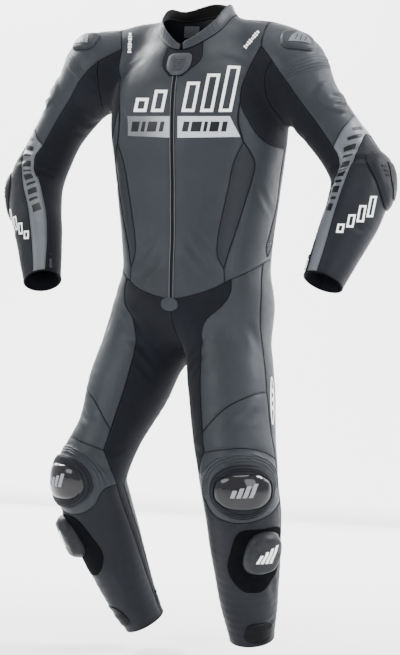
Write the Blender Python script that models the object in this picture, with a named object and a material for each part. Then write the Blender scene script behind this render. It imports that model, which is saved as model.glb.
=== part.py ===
"""One-piece motorcycle race suit in leather and stretch cloth, worn pose, hollow.

The body form is a smooth surface blended from a stack of torso sections and
tapered tubes along the arms and legs.  Seam lines run over that surface, and
every cut piece is a 2 mm wall between its own seams, 0.3 mm from its neighbours.
Units are metres, +Z is up, the wearer faces -Y and the origin is the centre of
the collar's base ring.
"""
from collections import namedtuple

import bpy
import numpy as np
from mathutils import Vector
from mathutils.geometry import delaunay_2d_cdt

# ---------------------------------------------------------------- dimensions
WALL = 0.002            # leather or stretch cloth
GAP = 0.0003            # between neighbouring pieces
TORSO_MESH = 0.034      # spacing of the wall's points on the torso
ARM_MESH = 0.024
LEG_MESH = 0.027

# ---------------------------------------------------------------- body form
# Torso sections: height, half width, front and back depth, squareness.
Section = namedtuple("Section", "z half_width front back power")
TORSO = [
    Section(-0.720, 0.130, -0.098, 0.112, 2.0),
    Section(-0.640, 0.148, -0.126, 0.130, 2.2),
    Section(-0.580, 0.158, -0.140, 0.130, 2.3),
    Section(-0.520, 0.161, -0.139, 0.122, 2.3),
    Section(-0.450, 0.169, -0.134, 0.118, 2.3),
    Section(-0.360, 0.180, -0.133, 0.128, 2.3),
    Section(-0.280, 0.190, -0.135, 0.138, 2.3),
    Section(-0.200, 0.197, -0.136, 0.140, 2.4),
    Section(-0.120, 0.185, -0.127, 0.135, 2.4),
    Section(-0.060, 0.148, -0.099, 0.122, 2.3),
    Section(-0.020, 0.100, -0.080, 0.100, 2.1),
    Section(0.020, 0.073, -0.071, 0.082, 2.0),
    Section(0.060, 0.070, -0.069, 0.080, 2.0),
]
# Tubes: a centre line and its radius.  x points outwards on either side.
Station = namedtuple("Station", "x y z radius")
SHOULDER = [
    Station(0.050, 0.020, -0.036, 0.055),
    Station(0.120, 0.020, -0.036, 0.060),
    Station(0.178, 0.015, -0.055, 0.068),
]
ARM = {
    "L": [
        Station(0.213, 0.010, -0.090, 0.074),
        Station(0.248, 0.015, -0.142, 0.066),
        Station(0.300, 0.020, -0.211, 0.059),
        Station(0.345, 0.022, -0.270, 0.059),
        Station(0.376, 0.010, -0.325, 0.064),
        Station(0.378, -0.030, -0.385, 0.061),
        Station(0.368, -0.070, -0.440, 0.055),
        Station(0.348, -0.122, -0.524, 0.044),
        Station(0.338, -0.156, -0.580, 0.039),
    ],
    "R": [
        Station(0.240, 0.010, -0.077, 0.077),
        Station(0.294, 0.015, -0.132, 0.066),
        Station(0.346, 0.020, -0.198, 0.055),
        Station(0.386, 0.022, -0.262, 0.055),
        Station(0.410, 0.010, -0.322, 0.060),
        Station(0.398, -0.020, -0.380, 0.058),
        Station(0.368, -0.060, -0.440, 0.052),
        Station(0.333, -0.110, -0.528, 0.042),
        Station(0.310, -0.140, -0.580, 0.038),
    ],
}
LEG = {
    "L": [
        Station(0.058, 0.008, -0.620, 0.097),
        Station(0.080, -0.020, -0.690, 0.093),
        Station(0.104, -0.055, -0.775, 0.093),
        Station(0.128, -0.095, -0.870, 0.088),
        Station(0.150, -0.120, -0.960, 0.083),
        Station(0.156, -0.110, -1.040, 0.080),
        Station(0.149, -0.080, -1.130, 0.073),
        Station(0.140, -0.045, -1.230, 0.062),
        Station(0.136, -0.018, -1.320, 0.048),
        Station(0.135, 0.002, -1.400, 0.041),
    ],
    "R": [
        Station(0.092, 0.010, -0.620, 0.112),
        Station(0.121, -0.020, -0.690, 0.095),
        Station(0.145, -0.055, -0.775, 0.089),
        Station(0.170, -0.095, -0.870, 0.072),
        Station(0.206, -0.115, -0.965, 0.077),
        Station(0.205, -0.090, -1.040, 0.076),
        Station(0.189, -0.055, -1.130, 0.069),
        Station(0.168, -0.015, -1.230, 0.057),
        Station(0.141, 0.022, -1.315, 0.045),
        Station(0.108, 0.046, -1.375, 0.040),
    ],
}
SIDES = {"L": 1.0, "R": -1.0}
SHOULDER_BLEND = 0.050
ARM_BLEND = 0.035
LEG_BLEND = 0.050
CROTCH_BLEND = 0.018
SEAT_BLEND = 0.060
SEAT_LEVEL = -0.655


def curve_through(rows, steps):
    """Catmull-Rom curve through the rows, each span in equal steps."""
    data = np.array(rows, float)
    ends = [2 * data[0] - data[1]], [2 * data[-1] - data[-2]]
    data = np.vstack([ends[0], data, ends[1]])
    points = []
    for before, start, stop, after in zip(data, data[1:], data[2:], data[3:]):
        for t in np.arange(steps) / steps:
            slope = (stop - before) * t
            bend = (2 * before - 5 * start + 4 * stop - after) * t * t
            twist = (3 * start - before - 3 * stop + after) * t ** 3
            points.append(start + 0.5 * (slope + bend + twist))
    points.append(data[-2])
    return np.array(points)


def mirrored(rows, side):
    return [(SIDES[side] * row.x, row.y, row.z, row.radius) for row in rows]


def blend(a, b, width):
    """Smooth union of two distance fields."""
    share = np.clip(0.5 + 0.5 * (b - a) / width, 0, 1)
    return b + (a - b) * share - width * share * (1 - share)


def tube_field(points, rows):
    start = rows[:-1, :3]
    along = rows[1:, :3] - start
    taper = np.diff(rows[:, 3])
    offset = points[:, None] - start[None]
    t = np.clip((offset * along).sum(axis=2) / (along * along).sum(axis=1), 0, 1)
    offset -= t[..., None] * along
    radius = rows[:-1, 3] + t * taper
    return (np.sqrt((offset * offset).sum(axis=2)) - radius).min(axis=1)


TORSO_CURVE = curve_through(TORSO, 6)
TUBE_STEPS = 5
SHOULDER_CURVE = {
    side: curve_through(mirrored(SHOULDER + ARM[side][:1], side), TUBE_STEPS) for side in SIDES
}
ARM_CURVE = {side: curve_through(mirrored(ARM[side], side), TUBE_STEPS) for side in SIDES}
LEG_CURVE = {side: curve_through(mirrored(LEG[side], side), TUBE_STEPS) for side in SIDES}


def torso_field(points):
    heights = TORSO_CURVE[:, 0]
    width, front, back, power = (
        np.interp(points[:, 2], heights, TORSO_CURVE[:, i]) for i in (1, 2, 3, 4)
    )
    x = points[:, 0]
    y = points[:, 1] - (front + back) / 2
    depth = (back - front) / 2
    level = ((np.abs(x) / width) ** power + (np.abs(y) / depth) ** power) ** (1 / power) + 1e-6
    wall = (np.hypot(x, y) + 1e-6) * (1 - 1 / level)
    seat = SEAT_LEVEL - points[:, 2]
    return -blend(-wall, -seat, SEAT_BLEND)


def body_field(points):
    """Signed distance, roughly, to the middle of the garment's wall."""
    shoulders = blend(
        tube_field(points, SHOULDER_CURVE["L"]), tube_field(points, SHOULDER_CURVE["R"]), 0.02
    )
    body = blend(torso_field(points), shoulders, SHOULDER_BLEND)
    for side in SIDES:
        body = blend(body, tube_field(points, ARM_CURVE[side]), ARM_BLEND)
    legs = blend(
        tube_field(points, LEG_CURVE["L"]), tube_field(points, LEG_CURVE["R"]), CROTCH_BLEND
    )
    return blend(body, legs, LEG_BLEND)


def body_slope(points):
    step = 0.0008
    shifts = np.concatenate([np.eye(3), -np.eye(3)]) * step
    values = body_field((points[None] + shifts[:, None]).reshape(-1, 3)).reshape(6, -1)
    return (values[:3] - values[3:]).T / (2 * step)


def unit(vectors):
    return vectors / np.linalg.norm(vectors, axis=-1, keepdims=True)


def body_normal(points):
    return unit(body_slope(points))


def settle(points):
    """Move points straight onto the body surface."""
    points = np.array(points, float)
    for _ in range(6):
        slope = body_slope(points)
        size = (slope * slope).sum(axis=1)
        points = points - slope * (body_field(points) / size)[:, None]
    return points


def settle_along(origins, rays, reach):
    """Slide points along their rays onto the body surface."""
    for _ in range(10):
        points = origins + rays * reach[:, None]
        climb = (body_slope(points) * rays).sum(axis=1)
        climb = np.where(np.abs(climb) < 0.2, 0.2, climb)
        reach = reach - np.clip(body_field(points) / climb, -0.012, 0.012)
    return origins + rays * reach[:, None]


def nearest_exit(origins, rays, reach):
    """Correct rough reaches to where each ray leaves the body nearest to them."""
    steps = np.linspace(-0.045, 0.045, 19)
    tries = origins + rays * (reach + steps[:, None])[:, :, None]
    within = body_field(tries.reshape(-1, 3)).reshape(len(steps), -1) < 0
    leaves = within[:-1] & ~within[1:]
    middle = (steps[:-1] + steps[1:]) / 2
    best = np.where(leaves, np.abs(middle)[:, None], 1.0).argmin(axis=0)
    return reach + np.where(leaves.any(axis=0), middle[best], 0.0)


def march_out(origin, ray):
    """First point where a ray from inside leaves the body."""
    reach = np.linspace(0.0, 0.36, 121)
    outside = body_field(origin + ray * reach[:, None]) > 0
    first = reach[max(int(np.argmax(outside)), 1)]
    return settle_along(origin[None], ray[None], np.array([first]))[0]


# ---------------------------------------------------------------- limb coordinates
class Limb:
    """Places on a sleeve or leg: run along the centre line, turn around it.

    A turn of 0 faces the wearer's front, 90 the outside and -90 the inside.
    """

    STEPS = 24

    def __init__(self, lead, rows, side):
        self.side = SIDES[side]
        self.line = curve_through(mirrored(lead + rows, side), self.STEPS)[:, :3]
        lengths = np.linalg.norm(np.diff(self.line, axis=0), axis=1)
        self.runs = np.concatenate([[0], np.cumsum(lengths)])
        self.runs -= self.runs[self.STEPS * len(lead)]

    def frame(self, run):
        run = np.atleast_1d(np.asarray(run, float))
        sample = [np.interp(run, self.runs, self.line[:, i]) for i in range(3)]
        ahead = [np.interp(run + 0.012, self.runs, self.line[:, i]) for i in range(3)]
        behind = [np.interp(run - 0.012, self.runs, self.line[:, i]) for i in range(3)]
        centre = np.stack(sample, -1)
        along = unit(np.stack(ahead, -1) - np.stack(behind, -1))
        front = np.array([0, -1.0, 0]) - along * (-along[:, 1])[:, None]
        front = unit(front)
        out = -np.cross(along, front) * self.side
        return centre, front, out

    def ray(self, run, turn):
        centre, front, out = self.frame(run)
        angle = np.radians(np.atleast_1d(turn))[:, None]
        return centre, np.cos(angle) * front + np.sin(angle) * out

    def place(self, points):
        """Run and turn of points near the limb."""
        distance = np.linalg.norm(points[:, None] - self.line[None], axis=2)
        near = np.clip(distance.argmin(axis=1), 1, len(self.line) - 2)
        step = self.line[near + 1] - self.line[near - 1]
        share = ((points - self.line[near]) * step).sum(axis=1) / (step * step).sum(axis=1)
        width = self.runs[near + 1] - self.runs[near - 1]
        run = self.runs[near] + np.clip(share, -0.5, 0.5) * width
        centre, front, out = self.frame(run)
        offset = points - centre
        turn = np.degrees(np.arctan2((offset * out).sum(axis=1), (offset * front).sum(axis=1)))
        return run, turn

    def at(self, run, turn):
        centre, ray = self.ray(run, turn)
        return march_out(centre[0], ray[0])


class Upright:
    """Places round an axis that rises with height: height, and turn around it.

    A turn of 0 faces the front, positive towards the wearer's left.
    """

    def __init__(self, axis):
        axis = np.array(axis, float)
        self.axis = axis[axis[:, 2].argsort()]

    def frame(self, height):
        height = np.atleast_1d(np.asarray(height, float))
        x, y = (np.interp(height, self.axis[:, 2], self.axis[:, i]) for i in (0, 1))
        return np.stack([x, y, height], -1)

    def ray(self, height, turn):
        angle = np.radians(np.atleast_1d(turn))
        centre = self.frame(height)
        return centre, np.stack([np.sin(angle), -np.cos(angle), np.zeros_like(angle)], -1)

    def place(self, points):
        centre = self.frame(points[:, 2])
        offset = points - centre
        return points[:, 2], np.degrees(np.arctan2(offset[:, 0], -offset[:, 1]))

    def at(self, height, turn):
        centre, ray = self.ray(height, turn)
        return march_out(centre[0], ray[0])


TRUNK = Upright([(0, (row[2] + row[3]) / 2, row[0]) for row in TORSO_CURVE])
# Stations that lead from inside the torso to the start of each limb.
ARM_LEAD = {
    "L": [Station(0.100, 0.012, -0.060, 0), Station(0.160, 0.011, -0.062, 0)],
    "R": [Station(0.110, 0.012, -0.052, 0), Station(0.180, 0.011, -0.052, 0)],
}
LEG_LEAD = [Station(0.052, 0.008, -0.430, 0), Station(0.055, 0.010, -0.530, 0)]
ARMS = {side: Limb(ARM_LEAD[side], ARM[side], side) for side in SIDES}
LEGS = {side: Limb(LEG_LEAD, LEG[side], side) for side in SIDES}
LEG_POSTS = {side: Upright(LEGS[side].line) for side in SIDES}


# ---------------------------------------------------------------- charts
class Around:
    """Flat chart of a limb or the torso, unrolled about a middle turn."""

    def __init__(self, limb, middle, radius):
        self.limb = limb
        self.middle = middle
        self.radius = radius

    def flatten(self, points):
        run, turn = self.limb.place(points)
        turn = (turn - self.middle + 180) % 360 - 180
        return np.stack([np.radians(turn) * self.radius, run], -1)

    def rays(self, flat):
        turn = np.degrees(flat[:, 0] / self.radius) + self.middle
        return self.limb.ray(flat[:, 1], turn)


class Facing:
    """Flat chart seen along one direction, by azimuth and elevation in degrees."""

    def __init__(self, azimuth, elevation):
        a, e = np.radians(azimuth), np.radians(elevation)
        self.outward = np.array([np.sin(a) * np.cos(e), -np.cos(a) * np.cos(e), np.sin(e)])
        self.across = np.array([np.cos(a), np.sin(a), 0.0])
        self.upward = np.cross(self.outward, self.across)

    def flatten(self, points):
        return np.stack([points @ self.across, points @ self.upward], -1)

    def rays(self, flat):
        origins = flat[:, :1] * self.across + flat[:, 1:] * self.upward
        return origins, np.broadcast_to(self.outward, origins.shape)


# ---------------------------------------------------------------- sheets of points
class Sheet:
    """Triangulated stretch of the body surface: points, normals, lift, triangles."""

    def __init__(self, points, normals, lift, triangles):
        self.points = points
        self.normals = normals
        self.lift = lift
        self.triangles = triangles

    def part(self, keep):
        """The triangles whose centres pass the test, as a sheet of their own."""
        centres = self.points[self.triangles].mean(axis=1)
        chosen = self.triangles[keep(centres)]
        used = np.unique(chosen)
        renumber = np.full(len(self.points), -1)
        renumber[used] = np.arange(len(used))
        return Sheet(self.points[used], self.normals[used], self.lift[used], renumber[chosen])

    def loops(self):
        """Boundary loops, each with the sheet on its left."""
        edges = np.concatenate([self.triangles[:, [0, 1]], self.triangles[:, [1, 2]],
                                self.triangles[:, [2, 0]]])
        known = {tuple(edge) for edge in edges}
        onward = {a: b for a, b in known if (b, a) not in known}
        loops = []
        while onward:
            start = min(onward)
            loop = [start]
            following = onward.pop(start)
            while following != start:
                loop.append(following)
                following = onward.pop(following)
            loops.append(loop)
        return loops


def inside(flat, loop):
    """Which flat points lie inside a closed loop."""
    x, y = flat[:, 0], flat[:, 1]
    hit = np.zeros(len(flat), bool)
    for (x0, y0), (x1, y1) in zip(loop, np.roll(loop, -1, axis=0)):
        crosses = (y0 > y) != (y1 > y)
        with np.errstate(divide="ignore", invalid="ignore"):
            where = x0 + (y - y0) * (x1 - x0) / (y1 - y0)
        hit ^= crosses & (x < where)
    return hit


def distance_to_lines(flat, lines):
    best = np.full(len(flat), 1e9)
    for line in lines:
        for start, stop in zip(line[:-1], line[1:]):
            along = stop - start
            t = np.clip((flat - start) @ along / max(along @ along, 1e-12), 0, 1)
            gap = np.linalg.norm(flat - start - t[:, None] * along, axis=1)
            np.minimum(best, gap, out=best)
    return best


def lattice(low, high, spacing):
    """Points in staggered rows between two corners."""
    rows = np.arange(low[1] + spacing / 2, high[1], spacing * 0.866)
    columns = np.arange(low[0] + spacing / 2, high[0], spacing)
    grid = []
    for number, y in enumerate(rows):
        shift = spacing / 2 * (number % 2)
        grid.extend((x + shift, y) for x in columns)
    return np.array(grid).reshape(-1, 2)


def make_sheet(chart, border, spacing, marks=(), clear=0.55):
    """Fill a closed border on the body with triangles.

    Marks are lines drawn inside it: (points, lift of the outer face, closed).
    """
    flat_border = chart.flatten(border)
    corners = [flat_border]
    solid = [border]
    lifts = [np.zeros(len(border))]
    count = len(border)
    edges = [(i, (i + 1) % count) for i in range(count)]
    lines = [np.vstack([flat_border, flat_border[:1]])]
    for points, lift, closed in marks:
        flat = chart.flatten(points)
        ids = np.arange(count, count + len(points))
        edges += list(zip(ids[:-1].tolist(), ids[1:].tolist()))
        if closed:
            edges.append((int(ids[-1]), int(ids[0])))
            lines.append(np.vstack([flat, flat[:1]]))
        else:
            lines.append(flat)
        count += len(points)
        corners.append(flat)
        solid.append(points)
        lifts.append(np.full(len(points), lift))
    free = lattice(flat_border.min(axis=0), flat_border.max(axis=0), spacing)
    free = free[inside(free, flat_border)]
    free = free[distance_to_lines(free, lines) > spacing * clear]
    fixed = np.vstack(solid)
    anchors, outward = chart.rays(np.vstack(corners))
    fixed_reach = ((fixed - anchors) * outward).sum(axis=1)
    points = fixed
    if len(free):
        origins, rays = chart.rays(free)
        apart = np.linalg.norm(free[:, None] - np.vstack(corners)[None], axis=2)
        weight = 1 / (apart ** 3 + 1e-9)
        reach = (weight * fixed_reach).sum(axis=1) / weight.sum(axis=1)
        reach = nearest_exit(origins, rays, reach)
        points = np.vstack([fixed, settle_along(origins, rays, reach)])
    flat_all = np.vstack(corners + [free])
    lift_all = np.concatenate(lifts + [np.zeros(len(free))])
    made = delaunay_2d_cdt([Vector(p) for p in flat_all.tolist()], edges, [], 1, 1e-7)
    source = np.array([ids[0] if ids else -1 for ids in made[3]])
    if (source < 0).any():
        raise ValueError("lines cross inside a sheet")
    triangles = source[np.array(made[2])]
    used = points[triangles]
    facing = np.cross(used[:, 1] - used[:, 0], used[:, 2] - used[:, 0])
    normals = body_normal(points)
    if (facing * normals[triangles[:, 0]]).sum() < 0:
        triangles = triangles[:, ::-1]
    whole = Sheet(points, normals, lift_all, triangles)
    return whole.part(lambda centres: np.ones(len(centres), bool))


# ---------------------------------------------------------------- seams
SEAMS = {}


def curve_on_body(points, spacing, closed=False):
    """Smooth line over the body through a few places, evenly divided."""
    points = np.array(points, float)
    if len(points) == 2:
        points = np.array([points[0], settle(points.mean(axis=0)[None])[0], points[1]])
    if closed:
        count = len(points)
        dense = curve_through(np.vstack([points] * 3), 10)[count * 10:count * 20 + 1]
    else:
        dense = curve_through(points, 10)
    dense = settle(dense)
    lengths = np.concatenate([[0], np.cumsum(np.linalg.norm(np.diff(dense, axis=0), axis=1))])
    pieces = max(3 if closed else 1, round(lengths[-1] / spacing))
    where = np.linspace(0, lengths[-1], pieces + 1)
    even = np.stack([np.interp(where, lengths, dense[:, i]) for i in range(3)], -1)
    even = settle(even)
    even[0], even[-1] = dense[0], dense[-1]
    return even[:-1] if closed else even


def curve_in_chart(chart, points, spacing):
    """Line over the body that is smooth in a chart, evenly divided."""
    points = np.array(points, float)
    flat = chart.flatten(points)
    origins, rays = chart.rays(flat)
    reach = ((points - origins) * rays).sum(axis=1)
    dense = curve_through(np.column_stack([flat, reach]), 8)
    origins, rays = chart.rays(dense[:, :2])
    line = settle_along(origins, rays, dense[:, 2])
    lengths = np.concatenate([[0], np.cumsum(np.linalg.norm(np.diff(line, axis=0), axis=1))])
    pieces = max(1, round(lengths[-1] / spacing))
    where = np.linspace(0, lengths[-1], pieces + 1)
    flat = np.stack([np.interp(where, lengths, dense[:, i]) for i in range(2)], -1)
    reach = np.interp(where, lengths, ((line - origins) * rays).sum(axis=1))
    origins, rays = chart.rays(flat)
    even = settle_along(origins, rays, reach)
    even[0], even[-1] = points[0], points[-1]
    return even


def seam(name, points, spacing, chart=None):
    if chart is None:
        SEAMS[name] = curve_on_body(points, spacing)
    else:
        SEAMS[name] = curve_in_chart(chart, points, spacing)


def border(names):
    """Closed border from seams end to end; a leading minus runs one backwards."""
    runs = []
    for name in names:
        line = SEAMS[name.lstrip("-")]
        runs.append(line[::-1] if name.startswith("-") else line)
    for number, run in enumerate(runs):
        jump = np.linalg.norm(run[-1] - runs[(number + 1) % len(runs)][0])
        if jump > 1e-6:
            raise ValueError("seams do not meet after " + names[number])
    return np.vstack([run[:-1] for run in runs])


# ---------------------------------------------------------------- solids
COLLECTION = bpy.data.collections.new("race_suit")
MATERIALS = {}
Finish = namedtuple("Finish", "colour roughness metallic")
FINISHES = {
    "leather": Finish((0.075, 0.082, 0.095), 0.42, 0.0),
    "dark_leather": Finish((0.035, 0.038, 0.045), 0.45, 0.0),
    "stretch": Finish((0.016, 0.019, 0.028), 0.85, 0.0),
    "silver_leather": Finish((0.26, 0.28, 0.31), 0.4, 0.0),
    "gloss_plastic": Finish((0.012, 0.012, 0.014), 0.12, 0.0),
    "matt_plastic": Finish((0.03, 0.032, 0.036), 0.5, 0.0),
    "rubber": Finish((0.09, 0.095, 0.105), 0.55, 0.0),
    "zip": Finish((0.01, 0.01, 0.012), 0.4, 0.2),
}


def make_material(name):
    finish = FINISHES[name]
    material = bpy.data.materials.new(name)
    material.use_nodes = True
    shader = material.node_tree.nodes["Principled BSDF"]
    shader.inputs["Base Color"].default_value = (*finish.colour, 1.0)
    shader.inputs["Roughness"].default_value = finish.roughness
    shader.inputs["Metallic"].default_value = finish.metallic
    return material


def add_object(name, vertices, faces, finish, smooth=True):
    mesh = bpy.data.meshes.new(name)
    mesh.from_pydata([tuple(v) for v in vertices], [], [tuple(f) for f in faces])
    mesh.update()
    if smooth:
        mesh.shade_smooth()
        mesh.set_sharp_from_angle(angle=np.radians(50))
    if finish not in MATERIALS:
        MATERIALS[finish] = make_material(finish)
    mesh.materials.append(MATERIALS[finish])
    thing = bpy.data.objects.new(name, mesh)
    COLLECTION.objects.link(thing)
    return thing


def inset_edges(sheet, amount):
    """Sheet points with each border vertex drawn in, edges staying parallel."""
    points = sheet.points.copy()
    for loop in sheet.loops():
        ring = sheet.points[loop]
        normal = sheet.normals[loop]
        ahead = unit(np.roll(ring, -1, axis=0) - ring)
        behind = np.roll(ahead, 1, axis=0)
        left = unit(np.cross(normal, ahead))
        right = unit(np.cross(normal, behind))
        reach = np.maximum(1 + (left * right).sum(axis=1), 0.35)
        points[loop] += (left + right) / reach[:, None] * amount
    return points


def shell(name, sheet, low, high, finish, inset=GAP / 2):
    """Closed solid between two offsets of a sheet along its normals."""
    points = inset_edges(sheet, inset)
    count = len(points)
    outer = points + sheet.normals * np.broadcast_to(high, count)[:, None]
    inner = points + sheet.normals * np.broadcast_to(low, count)[:, None]
    faces = sheet.triangles.tolist()
    faces += (sheet.triangles[:, ::-1] + count).tolist()
    for loop in sheet.loops():
        for a, b in zip(loop, loop[1:] + loop[:1]):
            # Two panels on one seam split its side the same way, so their walls stay apart.
            if tuple(sheet.points[a]) < tuple(sheet.points[b]):
                faces += [(b, a, a + count), (b, a + count, b + count)]
            else:
                faces += [(b, a, b + count), (a, a + count, b + count)]
    return add_object(name, np.vstack([outer, inner]), faces, finish)


SHEETS = {}


def panel(name, seams, chart, spacing, finish, marks=(), relief=None):
    """One cut piece of the wall between its seams."""
    sheet = make_sheet(chart, border(seams), spacing, marks)
    high = WALL / 2 + sheet.lift
    if relief is not None:
        high = high + relief(sheet.points)
    sheet.lift = high
    SHEETS[name] = sheet
    shell(name, sheet, -WALL / 2, high, finish)
    return sheet


# ---------------------------------------------------------------- raised pieces
class Pad:
    """Rounded outline seen along a direction, laid on the body surface."""

    def __init__(self, centre, azimuth, elevation, half_width, half_height, power=2.3, tilt=0.0,
                 sharpness=0.0):
        self.chart = Facing(azimuth, elevation)
        self.centre = centre
        self.half = np.array([half_width, half_height])
        self.power = power
        self.tilt = np.radians(tilt)
        self.sharpness = sharpness

    def local(self, points):
        offset = points - self.centre
        flat = np.stack([offset @ self.chart.across, offset @ self.chart.upward], -1)
        turn = np.array([[np.cos(self.tilt), -np.sin(self.tilt)],
                         [np.sin(self.tilt), np.cos(self.tilt)]])
        flat = flat @ turn
        return flat / self.narrow(flat)

    def narrow(self, flat):
        """Half sizes at each place; a sharp pad narrows towards its foot."""
        share = np.clip(-flat[:, 1] / self.half[1], 0, 1)
        width = self.half[0] * (1 - self.sharpness * share * share)
        return np.stack([width, np.full(len(flat), self.half[1])], -1)

    def level(self, points):
        """0 at the centre, 1 on the outline."""
        flat = np.abs(self.local(points))
        return (flat ** self.power).sum(axis=1) ** (1 / self.power)

    def loop(self, scale, count):
        angles = (np.arange(count) + 0.5) * 2 * np.pi / count
        arms = np.stack([np.cos(angles), np.sin(angles)], -1)
        size = (np.abs(arms) ** self.power).sum(axis=1) ** (-1 / self.power)
        flat = arms * size[:, None] * scale
        height = flat[:, 1] * self.half[1]
        share = np.clip(-flat[:, 1], 0, 1)
        x = flat[:, 0] * self.half[0] * (1 - self.sharpness * share * share)
        turn = np.array([[np.cos(self.tilt), np.sin(self.tilt)],
                         [-np.sin(self.tilt), np.cos(self.tilt)]])
        flat = np.stack([x, height], -1) @ turn
        origins = self.centre + flat[:, :1] * self.chart.across + flat[:, 1:] * self.chart.upward
        origins = origins - self.chart.outward * 0.02
        outward = np.broadcast_to(self.chart.outward, origins.shape)
        return settle_along(origins, outward, np.zeros(count))

    def marks(self, scales, count, lift=0.0):
        """Outline and inner rings, the inner ones raised by the lift.

        The outline bounds the piece cut from a sheet.
        """
        self.outline = self.chart.flatten(self.loop(1.0, count))
        return [(self.loop(scale, count), lift if scale < 1 else 0.0, True) for scale in scales]

    def piece(self, sheet, hole=None):
        """The part of a sheet inside the outline, and outside the hole's."""
        def chosen(points):
            depth = (points - self.centre) @ self.chart.outward
            kept = inside(self.chart.flatten(points), self.outline) & (depth > -self.half.max())
            if hole is not None:
                kept &= ~inside(hole.chart.flatten(points), hole.outline)
            return kept
        return sheet.part(chosen)


# Zip sliders that show: a raised lug in the cloth with a hinged pull below it.
LUG_HALF = (0.0042, 0.0060)
LUG_LIFT = 0.0028
LUG_GAP = 0.0010                # from the lug's foot to the hinge


def lug(limb, run, turn):
    """Outline of a slider that ends just above the hinge at a run and turn."""
    top, foot = limb.at(run - LUG_HALF[1] * 2 - LUG_GAP, turn), limb.at(run - LUG_GAP, turn)
    centre = settle(((top + foot) / 2)[None])[0]
    normal = body_normal(centre[None])[0]
    azimuth = np.degrees(np.arctan2(normal[0], -normal[1]))
    elevation = np.degrees(np.arcsin(normal[2]))
    pad = Pad(centre, azimuth, elevation, *LUG_HALF, 3.0)
    fall = top - foot
    pad.tilt = np.arctan2(-fall @ pad.chart.across, fall @ pad.chart.upward)
    return pad


def profile_height(profile, level):
    return np.interp(level, [row[0] for row in profile], [row[1] for row in profile])


def padded(name, pad, base, foot, profile, finish, hole=None):
    """Solid on a sheet: foot is its underside, profile gives height by level."""
    sheet = pad.piece(base, hole)
    rise = profile_height(profile, pad.level(sheet.points))
    shell(name, sheet, sheet.lift + foot, sheet.lift + foot + rise, finish)
    lifted = Sheet(sheet.points, sheet.normals, sheet.lift + foot + rise, sheet.triangles)
    return lifted




# ---------------------------------------------------------------- neck and collar
NECK_HALF_WIDTH = 0.066
NECK_HALF_DEPTH = 0.076
NECK_SLOPE = 0.5        # the ring rises this much per metre towards the back
NECK_DIP = 0.012        # and drops this much more in front
NECK_TILT = 0.05        # and rises towards the wearer's left


def neck_point(turn):
    """Point of the neck seam; 0 is the front, 90 the wearer's left."""
    angle = np.radians(turn)
    x = NECK_HALF_WIDTH * np.sin(angle)
    y = -NECK_HALF_DEPTH * np.cos(angle)
    z = NECK_SLOPE * y - NECK_DIP * max(np.cos(angle), 0.0) ** 2 + NECK_TILT * x
    return settle(np.array([[x, y, z]]))[0]


def from_above(x, y):
    """Point on top of the shoulders over a place in plan."""
    origin = np.array([[x, y, -0.04]])
    return settle_along(origin, np.array([[0, 0, 1.0]]), np.array([0.05]))[0]


# ---------------------------------------------------------------- torso seams
ZIP_HALF = 0.0045
# The front seams, named by height and turn; turns are given for the left side.
YOKE_END = {"L": 0.168, "R": 0.188}     # shoulder seam on the ridge, from the middle
YOKE_FRONT = {"L": (-0.036, 69.5), "R": (-0.034, 70.0)}
CHEST_EDGE = {
    "L": [(-0.080, 64.0), (-0.126, 56.0), (-0.158, 54.0)],
    "R": [(-0.080, 68.0), (-0.122, 59.5), (-0.158, 55.0)],
}
CHEST_LOW = [(-0.190, 58.0), (-0.228, 66.0), (-0.249, 78.0)]
CHEST_CORNER = (-0.256, 97.0)
LEAF_TOP = (-0.243, 56.5)
LEAF_OUTER = [(-0.259, 60.5), (-0.287, 65.5), (-0.321, 64.5), (-0.408, 58.0), (-0.472, 51.5)]
LEAF_INNER = [(-0.287, 50.5), (-0.340, 48.0), (-0.400, 44.5), (-0.450, 42.0), (-0.485, 42.0)]
LEAF_FOOT = (-0.512, 47.0)
WAIST_FRONT = (-0.5775, 0.0)
WAIST_STEPS = [(-0.570, 18.0), (-0.555, 37.0)]
WAIST_PRINCESS = (-0.541, 47.5)
WAIST_STRETCH = (-0.535, 52.5)          # outer corner of the groin stretch piece
WAIST_OUTER = [(-0.519, 68.0)]
WAIST_SIDE = (-0.502, 86.0)
STRIP_FRONT = [(-0.300, 95.5), (-0.365, 97.5), (-0.430, 92.0), (-0.468, 87.5)]
STRIP_FOOT = (-0.489, 92.0)
STRIP_BACK = [(-0.468, 99.0), (-0.430, 103.0), (-0.365, 108.0), (-0.300, 107.0)]
STRIP_TOP_BACK = (-0.262, 108.0)
WAIST_BACK_SIDE = (-0.497, 93.0)
WAIST_BACK = [(-0.490, 130.0)]
WAIST_BACK_MIDDLE = (-0.486, 180.0)
BIB_CORNERS = [(-0.100, -6.5), (-0.100, 7.0), (-0.066, 24.0)]
BIB_TURNS = (-29.0, 38.0)               # where the throat piece meets the neck seam
NECK_SHOULDER = 101.0                   # neck turn of the shoulder ridge


def trunk_point(place, side="L"):
    height, turn = place
    return TRUNK.at(height, turn * SIDES[side])


def trunk_line(places, side="L"):
    return [trunk_point(place, side) for place in places]


def neck_line(start, stop, count=5):
    return [neck_point(turn) for turn in np.linspace(start, stop, count)]


def zip_line(side, top, foot):
    """Edge of the zip, a fixed distance beside the middle of the front."""
    x = ZIP_HALF * SIDES[side]
    heights = np.linspace(top, foot, 8)
    origins = np.stack([np.full(8, x), np.full(8, -0.01), heights], -1)
    rays = np.tile([0.0, -1.0, 0.0], (8, 1))
    return settle_along(origins, rays, np.full(8, 0.12))


ZIP_TOP = -0.1005
ZIP_FOOT = -0.5775


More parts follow.
